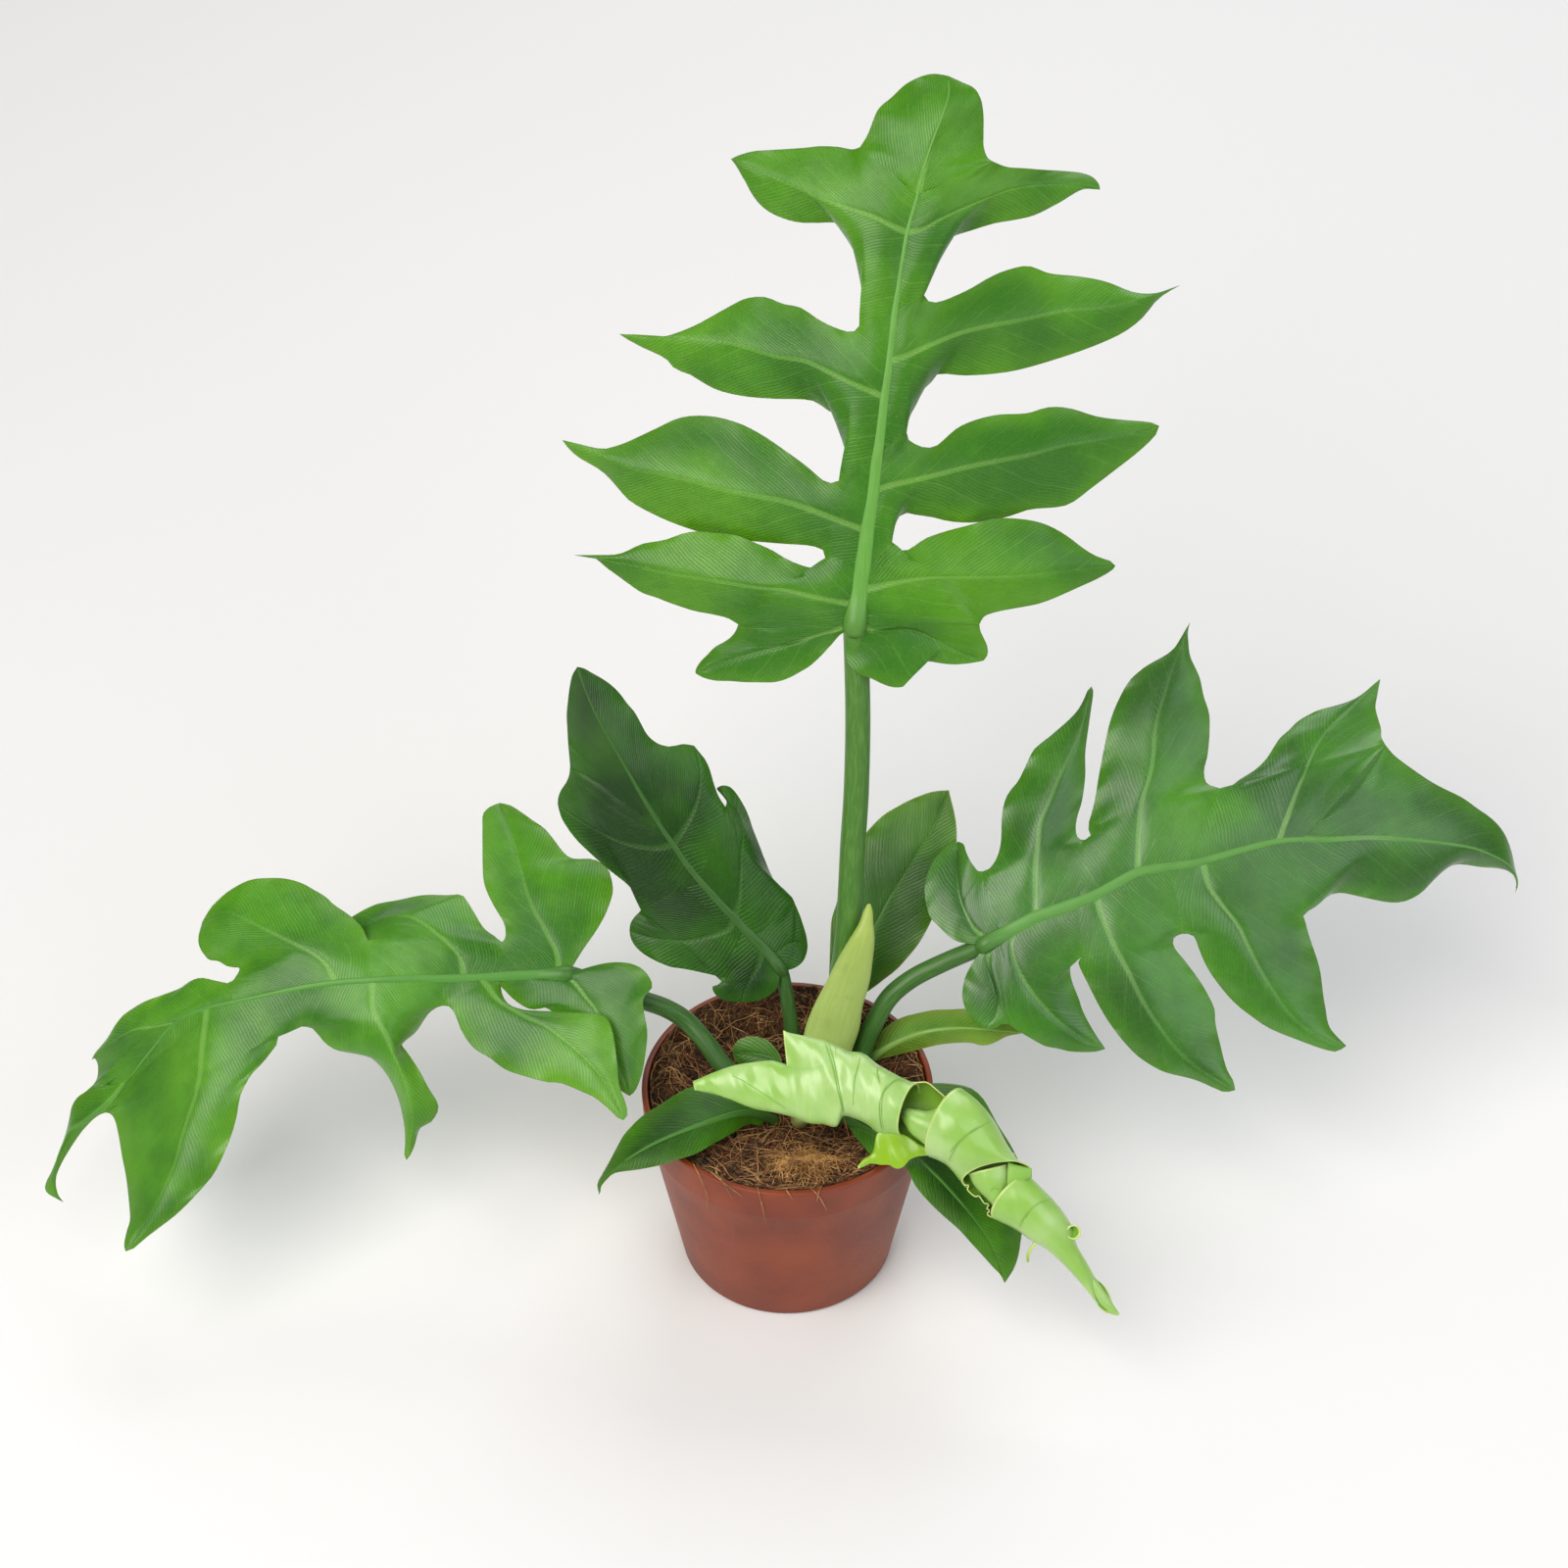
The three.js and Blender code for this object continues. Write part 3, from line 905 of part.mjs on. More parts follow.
function soilSolid(stalks, posts) {
  const rings = 6;
  const sectors = 28;
  const top = soilRadius(SOIL_TOP);
  const circle = (radius, height) => Array.from({ length: sectors }, (_, j) => {
    const angle = (2 * Math.PI * j) / sectors;
    const [x, y] = [radius * Math.cos(angle), radius * Math.sin(angle)];
    return new THREE.Vector3(x, y, height ?? soilHeight(x, y));
  });
  const loops = [
    circle(soilRadius(FLOOR) - 0.6, FLOOR + SOIL_GAP),
    circle(soilRadius(bandLevel) - 0.2, bandLevel - 1.4),
  ];
  for (let i = rings; i >= 1; i -= 1) loops.push(circle((top * i) / rings));
  let soil = orient(solidOf(loft(loops)));
  for (const [line, radii] of stalks) {
    soil = soil.subtract(stalkSolid(stalkLine(line, 0), radii.map((r) => r + HOLE_GAP + 0.1)));
  }
  for (const [x, y, wide, deep] of posts) {
    const hole = new THREE.CylinderGeometry(1, 1, 20, 16).rotateX(Math.PI / 2);
    hole.scale(wide + HOLE_GAP + 0.25, deep + HOLE_GAP + 0.25, 1);
    hole.translate(x, y, SOIL_TOP - HOLE_DEPTH + 10);
    soil = soil.subtract(solidOf(hole));
  }
  return soil;
}

// Crown and sheath
function crownSolid() {
  const foot = SOIL_TOP - HOLE_DEPTH + HOLE_GAP;
  const radius = CROWN_RADIUS;
  const stub = lathe([
    [0, foot], [radius, foot], [radius, 86], [radius - 0.7, 87], [radius - 0.2, 88.2],
    [radius - 1, 90], [radius - 1.6, 92.5], [1.2, 94.6], [0, 95],
  ], 20);
  return orient(solidOf(stub.translate(CROWN[0], CROWN[1], 0)));
}

// Rings of a rolled leaf. A station is its upper and lower edge point, its depth and half
// depth, and how far its near side leans back along the roll.
function rollPoints(stations, sides) {
  return stations.map(([ux, uy, lx, ly, w, half, lean = 0]) => {
    const width = new THREE.Vector2(ux - lx, uy - ly);
    const along = new THREE.Vector2(width.y, -width.x).normalize();
    return Array.from({ length: sides }, (_, j) => {
      const angle = (2 * Math.PI * j) / sides;
      const [c, s] = [Math.cos(angle) / 2, Math.sin(angle)];
      return new THREE.Vector3(
        (ux + lx) / 2 + c * width.x - s * lean * along.x,
        (uy + ly) / 2 + c * width.y - s * lean * along.y,
        w + s * half,
      );
    });
  });
}

const rollRings = (stations, sides) => rollPoints(stations, sides).map((ring) => ring.map(place));

const roll = (stations, sides = 12) => orient(solidOf(loft(rollRings(stations, sides))));

// The far half of a roll alone, as a curved sheet.
function farSheet(stations, sides) {
  const rings = rollPoints(stations, sides);
  const grid = rings.map((ring) => [...ring.slice(sides / 2), ring[0]]);
  const patches = [];
  addPatch(patches, grid);
  return orient(solidOf(shell(patches, SHEET_THICKNESS)));
}

function spearSolid() {
  const base = place(drawn(SPEAR[0]));
  const stations = SPEAR.map(([x, y, w, wide, deep]) => [x + wide, y, x - wide, y, w, deep]);
  const rings = rollRings(stations, 16);
  const [wide, deep] = [SPEAR[0][3], SPEAR[0][4]];
  const foot = (z) => Array.from({ length: 16 }, (_, j) => {
    const angle = (2 * Math.PI * j) / 16;
    return new THREE.Vector3(base.x + wide * Math.cos(angle), base.y - deep * Math.sin(angle), z);
  });
  rings.splice(0, 1, foot(SOIL_TOP - HOLE_DEPTH + HOLE_GAP), foot(SOIL_TOP + 0.5));
  return orient(solidOf(loft(rings)));
}

// New leaf, rolled up in three segments
const NEW_STALK = [[5, -14, 3.6], [5, -14, 12], [5.2, -13, 24], [6, -11.5, 36], [8, -8, 42]];
const NEW_STALK_RADIUS = [3.6, 3.2];
const EAR = [
  [-38.8, 1.2, -38.2, -2, 41, 0.6], [-31, 4.6, -31, -3.4, 42, 1.5], [-22, 7.7, -22.5, -6.3, 43, 2.4],
  [-13, 9.2, -13.5, -9.7, 44, 3.4], [-6, 9.8, -5, -11.3, 44.5, 4.6], [1, 8.3, 2, -13, 45, 6],
  [9, 12, 9, -15.6, 45.5, 7.4], [16, 17, 15, -16, 46, 8.5], [21.5, 15.4, 20, -17, 46.5, 9.2],
  [25.5, 13.6, 22.8, -12.8, 47, 9.8], [31, 12.8, 27.5, -13.6, 47.5, 10.2],
  [37, 8.3, 33, -16.2, 48, 10.2, 0.5],
  [43, 4.9, 37.6, -19.6, 49, 10, 1.6], [48.5, 2, 42.5, -20, 49.5, 9.4, 2.6],
  [53.3, 0.2, 46.8, -20.6, 50, 9, 3.2],
];
const EAR_HOLLOW = [
  [36, 6, 33.6, -13, 48.5, 5, 1], [43, 3.2, 38.8, -17.4, 49, 8, 1.8],
  [48.2, 0.6, 43.6, -18.4, 49.5, 8.2, 2.6],
  [53, -1, 47.6, -19.4, 50, 8, 3.2], [57.6, -3, 52.2, -21.4, 50.2, 8, 3.2],
];
const CORNER_FOLD = [
  [-1.7, 22.2, -0.2, 8, 47.5, 0.6], [0.6, 21.2, 1.6, 6, 47.7, 1.2], [4, 20.5, 4.4, 3, 47.5, 2.6],
  [9, 19.6, 9, 0, 47, 4.6], [14, 18.6, 14, -6, 46.6, 6.6], [20, 16, 20, -8, 46.6, 7.6],
];
const EAR_INSIDE = [
  [47, 1, 43, -19.8, 49.4, 8.4], [53.2, 0.9, 47.6, -20.8, 49.6, 8], [57.4, 0.9, 51.6, -23, 49.8, 7.4],
  [61.4, -2.1, 55.4, -25.6, 50, 6.6], [65, -5.2, 59, -27.4, 50.4, 6],
];
const FIRST_CORE = [
  [47.2, -10.9, 47.2, -13.6, 50, 0.8], [49.6, -10, 48.4, -16, 50, 3.4],
  [53.4, -10.4, 50.6, -19.6, 50.2, 5],
  [57.4, -11, 54, -22.4, 50.8, 6], [62, -9.8, 58, -25.4, 51.6, 7.2],
];
const SECOND_ROLL = [
  [71.4, -1.6, 58.4, -29.4, 52, 9.4, 5.6], [77.6, -6.3, 61.2, -30.4, 52.5, 11.2, 4.8],
  [84.6, -14.4, 65, -32.4, 52.5, 11.8, 4.4],
  [90.8, -25.6, 68, -35.2, 52, 11.4, 4.4], [96.4, -33.2, 70.4, -37.9, 51.4, 9.8, 5],
  [100.2, -35, 72.2, -40.2, 51, 8.8, 5.6],
];
const SECOND_HOLLOW = [
  [87, -26, 72.4, -34.4, 51.4, 6, 4.6], [92.6, -31, 73.2, -37.6, 51.4, 8, 5],
  [98.6, -35, 74, -39.6, 51, 7.8, 5.6],
  [100.4, -38, 75.6, -43.6, 50.6, 7.6, 5.6],
];
const SECOND_FLAP = [
  [90.8, -31.9, 90.4, -42.4, 54.6, 0.6], [93, -32.7, 92, -41.6, 54.8, 1],
  [96.6, -33.7, 96, -40.2, 54.2, 1.2],
  [100.4, -34.6, 100.5, -37.9, 53, 0.7],
];
const SECOND_INSIDE = [
  [93, -28, 71, -37.6, 50, 7.4], [94, -31, 73.2, -41.2, 49.8, 7.2], [95, -32.6, 74.6, -41.4, 49.6, 7],
  [96, -34, 74.1, -43, 49.4, 6.8],
  [97, -35.4, 75.6, -44.8, 49.2, 6.6], [97.6, -37, 77.4, -46, 49, 6.6],
  [98, -38.4, 78.8, -45.8, 48.8, 6.4],
  [98.4, -39.6, 80.2, -47.6, 48.6, 6.4], [98.8, -40.8, 81.2, -48.8, 48.4, 6.2],
  [99, -42, 82.8, -49.2, 48.2, 6.2],
  [99.2, -43, 82.2, -51, 48, 6], [99.4, -44, 83.2, -51.7, 47.8, 6], [99.6, -45, 82.3, -53.2, 47.6, 5.8],
  [99.8, -46, 84, -54.6, 47.4, 5.6],
];
const SECOND_CORE = [
  [90.6, -32.6, 74.6, -36.4, 51.2, 5.8], [91.2, -37, 76.8, -41, 50.8, 6.2], [91.2, -41, 80, -44.6, 50, 6],
  [91.6, -45.4, 84.6, -49.4, 49.4, 5.8],
];
const THIRD_ROLL = [
  [99.6, -38, 84.4, -54.6, 48.8, 8, 4.5], [103.4, -41.6, 90, -57.2, 48.6, 8.6, 3.6],
  [108.6, -46.8, 95, -59.9, 48.2, 8.6, 2.6],
  [113.4, -52.6, 101, -64.4, 47.5, 8, 1.6], [116.8, -58.2, 106.4, -67.4, 46.8, 6.6, 0.8],
  [118.8, -65.6, 112, -72.2, 46, 4.8],
  [123, -73.2, 117.8, -78, 44.6, 3.6], [125.4, -77.6, 122.4, -83.4, 43.6, 3, 0.8],
  [126.4, -79.8, 126.6, -88.2, 42.8, 2.6, 1.6],
  [127, -81, 132.6, -94, 41.8, 1.9, 3],
];
const END_TIP = [
  [124.6, -77.4, 121.6, -81.6, 42.9, 1.4], [127.6, -81.2, 125.2, -85.6, 42.4, 1.8],
  [130.6, -85.6, 128.4, -90.2, 41.8, 1.6],
  [133.6, -90, 131.8, -93.4, 41, 1.2], [136.5, -94.3, 135.8, -95, 40.1, 0.3],
];
const YELLOW_FLAP = [
  [29, -33.8, 29.1, -34.4, 49.2, 0.5], [31, -31.2, 31.4, -33.4, 49.4, 0.6],
  [33.6, -29.5, 33.8, -32.3, 49.6, 0.6],
  [35.4, -27.6, 36, -32.3, 49.8, 0.7], [37.2, -20, 38.4, -32.7, 50, 0.7],
  [40.6, -19.4, 42, -32.8, 50, 0.7],
  [43.2, -19.6, 43.8, -33.9, 50, 0.7], [46, -20.2, 45.8, -34.3, 50, 0.7], [48.6, -21, 48, -33.2, 50, 0.7],
  [51.6, -22.8, 50.4, -30.6, 50.2, 0.7], [54.6, -25, 53.6, -29.3, 50.4, 0.7],
  [58.6, -26.4, 57.8, -28.9, 50.6, 0.7],
];
const TENDRIL = [[104, -64, 48], [101.6, -65.6, 48], [100, -68, 47.5], [99, -70.4, 47], [99, -72.9, 46.5]];
// Round opening of the small side tube: x, y, w and radius.
const EYELET = [
  [113.4, -59.6, 46.5, 2.2], [115.4, -60, 48.6, 2.5], [117.2, -60.5, 50.6, 2.7], [118, -60.8, 51.4, 2.8],
];
const EYELET_HOLLOW = [[116.4, -60.3, 49.4, 1.6], [118.6, -61, 52.4, 2]];

const discRings = (discs) => discs.map(([x, y, w, radius]) => Array.from({ length: 10 }, (_, j) => {
  const angle = (2 * Math.PI * j) / 10;
  return place(new THREE.Vector3(x + radius * Math.cos(angle), y + radius * Math.sin(angle), w));
}));

function newLeafSolid() {
  const stalk = stalkSolid(stalkLine(NEW_STALK, HOLE_GAP), NEW_STALK_RADIUS);
  const hair = stalkBody(TENDRIL.map((p) => place(drawn(p))), [0.8, 0.5], 6, 5);
  const eyelet = orient(solidOf(loft(discRings(EYELET))));
  return filled(roll(EAR)
    .subtract(roll(EAR_HOLLOW))
    .add(farSheet(EAR_INSIDE, 12))
    .add(roll(CORNER_FOLD))
    .add(roll(FIRST_CORE, 8))
    .add(roll(YELLOW_FLAP, 6))
    .add(roll(SECOND_ROLL).subtract(roll(SECOND_HOLLOW)))
    .add(farSheet(SECOND_INSIDE, 8))
    .add(roll(SECOND_FLAP, 6))
    .add(roll(SECOND_CORE, 8))
    .add(roll(THIRD_ROLL))
    .add(roll(END_TIP, 8))
    .add(eyelet)
    .subtract(orient(solidOf(loft(discRings(EYELET_HOLLOW)))))
    .add(stalk)
    .add(orient(solidOf(hair))));
}

// Parts and materials
const terracotta = { color: '#9c5440', roughness: 0.42, metalness: 0 };
const coir = { color: '#5b3d27', roughness: 0.95, metalness: 0 };
const brightLeaf = { color: '#3f8a2c', roughness: 0.38, metalness: 0 };
const deepLeaf = { color: '#2b5f1c', roughness: 0.36, metalness: 0 };
const yellowLeaf = { color: '#6f9a2f', roughness: 0.42, metalness: 0 };
const freshLeaf = { color: '#a9cf72', roughness: 0.34, metalness: 0 };
const sheath = { color: '#b3c66f', roughness: 0.4, metalness: 0 };

const group = new THREE.Group();
group.name = 'potted_philodendron';

function addPart(name, solid, look) {
  const mesh = new THREE.Mesh(geometryFrom(solid), new THREE.MeshStandardMaterial(look));
  mesh.name = name;
  group.add(mesh);
}

const leaves = [
  ['leaf_tall', tallLeaf, brightLeaf],
  ['leaf_left', leftLeaf, brightLeaf],
  ['leaf_right', rightLeaf, brightLeaf],
  ['leaf_dark', darkLeaf, deepLeaf],
  ['leaf_back', backLeaf, deepLeaf],
  ['leaf_side', sideLeaf, yellowLeaf],
  ['leaf_front_left', frontLeftLeaf, deepLeaf],
  ['leaf_front_right', frontRightLeaf, deepLeaf],
  ['leaf_seedling', seedlingLeaf, deepLeaf],
];

const stalks = leaves.map(([, leaf]) => [leaf.stalk, leaf.stalkRadius]);
stalks.push([NEW_STALK, NEW_STALK_RADIUS]);
const spearFoot = place(drawn(SPEAR[0]));
const posts = [
  [spearFoot.x, spearFoot.y, SPEAR[0][3], SPEAR[0][4]],
  [CROWN[0], CROWN[1], CROWN_RADIUS, CROWN_RADIUS],
];

addPart('pot', potSolid(), terracotta);
addPart('soil', soilSolid(stalks, posts), coir);
addPart('crown', crownSolid(), sheath);
for (const [name, leaf, look] of leaves) addPart(name, leafSolid(leaf), look);
addPart('spear', spearSolid(), sheath);
addPart('leaf_new', newLeafSolid(), freshLeaf);

export default group;
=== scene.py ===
import math
import random
from functools import partial

import bpy
import numpy as np
from mathutils import Matrix, Vector, noise


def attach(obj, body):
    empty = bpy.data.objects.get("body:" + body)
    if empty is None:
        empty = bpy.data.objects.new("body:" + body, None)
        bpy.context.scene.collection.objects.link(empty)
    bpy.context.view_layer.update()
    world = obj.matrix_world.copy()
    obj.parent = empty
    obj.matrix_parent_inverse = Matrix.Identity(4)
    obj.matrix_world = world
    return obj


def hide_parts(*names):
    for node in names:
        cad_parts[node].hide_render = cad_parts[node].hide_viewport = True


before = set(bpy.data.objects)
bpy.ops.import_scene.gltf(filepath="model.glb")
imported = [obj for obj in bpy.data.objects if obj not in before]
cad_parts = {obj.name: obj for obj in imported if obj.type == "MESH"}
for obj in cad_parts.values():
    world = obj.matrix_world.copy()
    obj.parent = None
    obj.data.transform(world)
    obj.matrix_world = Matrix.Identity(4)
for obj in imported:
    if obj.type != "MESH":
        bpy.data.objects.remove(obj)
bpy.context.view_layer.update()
print("stage: frame loaded")

# Camera: the drawing plane goes through the centre of the rim and faces the camera.
view = {"slope": 42.0, "distance": 1.5, "centre": (-0.0014, 0.1238), "rimHeight": 0.093, "lens": 83.67}
slope = math.radians(view["slope"])
across = np.array([1.0, 0.0, 0.0])
upward = np.array([0.0, math.sin(slope), math.cos(slope)])
toward = np.array([0.0, -math.cos(slope), math.sin(slope)])
rimCentre = np.array([0.0, 0.0, view["rimHeight"]])
aim = rimCentre + view["centre"][0] * across + view["centre"][1] * upward
eye = aim + view["distance"] * toward


def makeCamera():
    data = bpy.data.cameras.new("camera")
    data.lens = view["lens"]
    data.sensor_width = 36
    data.clip_start, data.clip_end = 0.05, 20
    camera = bpy.data.objects.new("camera", data)
    bpy.context.collection.objects.link(camera)
    axes = Matrix((across, upward, toward)).transposed()
    camera.matrix_world = Matrix.Translation(Vector(eye)) @ axes.to_4x4()
    bpy.context.scene.camera = camera


makeCamera()


# Places in space, in metres, of drawn points [x, y, w]: mm as seen, and mm in front of the plane.
def place(drawn):
    drawn = np.asarray(drawn, float) / 1000
    start = rimCentre + drawn[..., :1] * across + drawn[..., 1:2] * upward
    return start + (eye - start) * drawn[..., 2:3] / view["distance"]


fineSteps = 16  # steps of a smooth curve between two drawn points


# Points with the depth that some of them give, spread evenly over the others.
def withDepths(points):
    flat = np.array([p[:2] for p in points], float)
    along = np.r_[0, np.cumsum(np.hypot(*np.diff(flat, axis=0).T))]
    known = [i for i, p in enumerate(points) if len(p) > 2]
    depth = np.interp(along, along[known], [points[i][2] for i in known])
    return np.column_stack([flat, depth])


# A run of drawn points lifted towards its middle, from its point number start on.
def raised(run, start, amount):
    share = (np.arange(len(run)) - start) / (len(run) - 1 - start)
    run = run.copy()
    run[:, 2] += amount * np.sin(np.pi * np.clip(share, 0, 1))
    return run


# A smooth curve through points, with fineSteps between two of them.
def smoothRun(points):
    p = np.asarray(points, float)
    p = np.vstack([2 * p[0] - p[1], p, 2 * p[-1] - p[-2]])
    span = np.maximum(np.sum(np.diff(p, axis=0) ** 2, axis=1) ** 0.25, 1e-4)
    t = np.linspace(0, 1, fineSteps, endpoint=False)[:, None]
    parts = []
    for i in range(1, len(p) - 2):
        a, b, c, d = p[i - 1:i + 3]
        before, here, after = span[i - 1:i + 2]
        leave = here * ((b - a) / before - (c - a) / (before + here) + (c - b) / here)
        arrive = here * ((c - b) / here - (d - b) / (here + after) + (d - c) / after)
        parts.append((2 * t**3 - 3 * t**2 + 1) * b + (t**3 - 2 * t**2 + t) * leave
                     + (3 * t**2 - 2 * t**3) * c + (t**3 - t**2) * arrive)
    return np.vstack([*parts, p[-2:-1]])


def lengths(run):
    return np.r_[0, np.cumsum(np.linalg.norm(np.diff(run, axis=0), axis=1))]


# Points of a run at these shares of its length.
def atShares(run, shares):
    along = lengths(run)
    at = np.asarray(shares) * along[-1]
    return np.column_stack([np.interp(at, along, run[:, k]) for k in range(run.shape[1])])


# A soft step from 0 at low to 1 at high.
def ease(low, high, value):
    t = np.clip((value - low) / (high - low), 0, 1)
    return t * t * (3 - 2 * t)


# A build collects triangles: points, faces, material numbers and, for each corner, values.
valueNames = ["veinAlong", "veinOff", "veinWide", "edgeNear", "lobeSeed"]


def newBuild():
    return {"points": [], "faces": [], "looks": [], "values": [], "count": 0}


def addTriangles(build, points, faces, look, values=None):
    faces = np.asarray(faces, int)
    build["points"].append(np.asarray(points, float))
    build["faces"].append(faces + build["count"])
    build["looks"].append(np.full(len(faces), look))
    if values is None:
        values = np.zeros((len(faces), 3, len(valueNames)))
    build["values"].append(values)
    build["count"] += len(points)


# Triangles of a grid of points, or of a grid closed to a tube.
def gridFaces(rows, columns, closed=False):
    wide = columns if closed else columns - 1
    i, j = np.meshgrid(np.arange(rows - 1), np.arange(wide), indexing="ij")
    a = (i * columns + j).ravel()
    b = (i * columns + (j + 1) % columns).ravel()
    return np.vstack([np.column_stack([a, b, b + columns]), np.column_stack([a, b + columns, a + columns])])


# Makes the piece of a build. It replaces the solid named in node, if there is one.
def finishPiece(name, build, materials, node):
    points, faces = np.vstack(build["points"]), np.vstack(build["faces"])
    mesh = bpy.data.meshes.new(name)
    mesh.from_pydata(points.tolist(), [], faces.tolist())
    for material in materials:
        mesh.materials.append(material)
    mesh.polygons.foreach_set("material_index", np.concatenate(build["looks"]).astype(np.int32))
    mesh.polygons.foreach_set("use_smooth", np.ones(len(faces), bool))
    values = np.vstack(build["values"]).reshape(-1, len(valueNames))
    for k, key in enumerate(valueNames):
        layer = mesh.attributes.new(key, "FLOAT", "CORNER")
        layer.data.foreach_set("value", np.ascontiguousarray(values[:, k], dtype=np.float32))
    mesh.update()
    piece = bpy.data.objects.new(name, mesh)
    bpy.context.collection.objects.link(piece)
    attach(piece, "root")
    if node:
        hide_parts(node)
    return piece


# Rings around a run of centres, flattened where the half depth is less than the half width.
def tubeRings(centres, halfWidths, halfDepths, sides, facing=toward):
    tangents = np.gradient(centres, axis=0)
    tangents /= np.linalg.norm(tangents, axis=1)[:, None]
    side = np.cross(tangents, facing)
    side /= np.linalg.norm(side, axis=1)[:, None]
    front = np.cross(side, tangents)
    angle = 2 * np.pi * np.arange(sides) / sides
    return (centres[:, None]
            + side[:, None] * (np.cos(angle)[None, :, None] * np.reshape(halfWidths, (-1, 1, 1)))
            + front[:, None] * (np.sin(angle)[None, :, None] * np.reshape(halfDepths, (-1, 1, 1))))


# A closed tube through rings, with its length in mm as veinAlong and its share as edgeNear.
def addTube(build, rings, look, mark=0.0):
    rows, sides = rings.shape[:2]
    along = lengths(rings.mean(axis=1)) * 1000
    points = np.vstack([rings.reshape(-1, 3), rings[0].mean(axis=0), rings[-1].mean(axis=0)])
    faces = gridFaces(rows, sides, closed=True)
    j = np.arange(sides)
    first = np.column_stack([(j + 1) % sides, j, np.full(sides, rows * sides)])
    end = (rows - 1) * sides
    last = np.column_stack([end + j, end + (j + 1) % sides, np.full(sides, rows * sides + 1)])
    faces = np.vstack([faces, first, last])
    values = np.zeros((len(points), len(valueNames)))
    values[:rows * sides, 0] = np.repeat(along, sides)
    values[:rows * sides, 1] = np.tile(np.minimum(j, sides - j) / sides, rows)
    values[:rows * sides, 3] = np.repeat(along / max(along[-1], 1e-6), sides)
    values[-1, [0, 3]] = along[-1], 1
    values[:rows * sides, 2] = np.repeat(np.broadcast_to(mark, rows), sides)
    values[-2:, 2] = np.broadcast_to(mark, rows)[[0, -1]]
    addTriangles(build, points, faces[:, ::-1], look, values[faces[:, ::-1]])


# Leaf blades. Rows run from the midrib to the notch and on to the tip of a lobe.
leafMesh = {"webRows": 9, "lobeRows": 34, "half": 11, "wholeRows": 46, "thickness": 0.5, "swell": 0.05,
            "webRise": 0.05, "waveHeight": 0.8, "waveLength": 26.0, "undulation": 1.0, "groove": 0.55,
            "smoothing": 18}


# Column shares from an edge, 0, to the vein, 1, closer together near the vein.
def columnShares():
    return 1 - (1 - np.linspace(0, 1, leafMesh["half"] + 1)) ** 1.3


# An edge of a lobe: straight from the midrib to the notch, and along the drawn points to the tip.
def edgeRows(step, edge, shape, openEdge=False):
    web, rows = leafMesh["webRows"], leafMesh["lobeRows"]
    run = raised(withDepths([step, *edge, shape["tip"]]), 0 if openEdge else 1, -shape["sag"])
    if openEdge:
        return atShares(smoothRun(run), np.linspace(0, 1, web + rows + 1))
    straight = run[0] + (run[1] - run[0]) * (np.arange(web) / web)[:, None]
    return np.vstack([straight, atShares(smoothRun(run[1:]), np.linspace(0, 1, rows + 1))])


# The vein of a lobe, with as many rows as the edges up to the level of the notches.
def veinRows(step, shape, near, far):
    web, rows = leafMesh["webRows"], leafMesh["lobeRows"]
    run = smoothRun(raised(withDepths([step, *shape["vein"], shape["tip"]]), 0, shape["arch"]))
    middle = (near[web] + far[web]) / 2
    shares = np.linspace(0.04, 0.6, 57)
    level = shares[np.argmin(np.hypot(*(atShares(run, shares) - middle)[:, :2].T))]
    return atShares(run, np.r_[np.linspace(0, level, web + 1)[:-1], np.linspace(level, 1, rows + 1)])


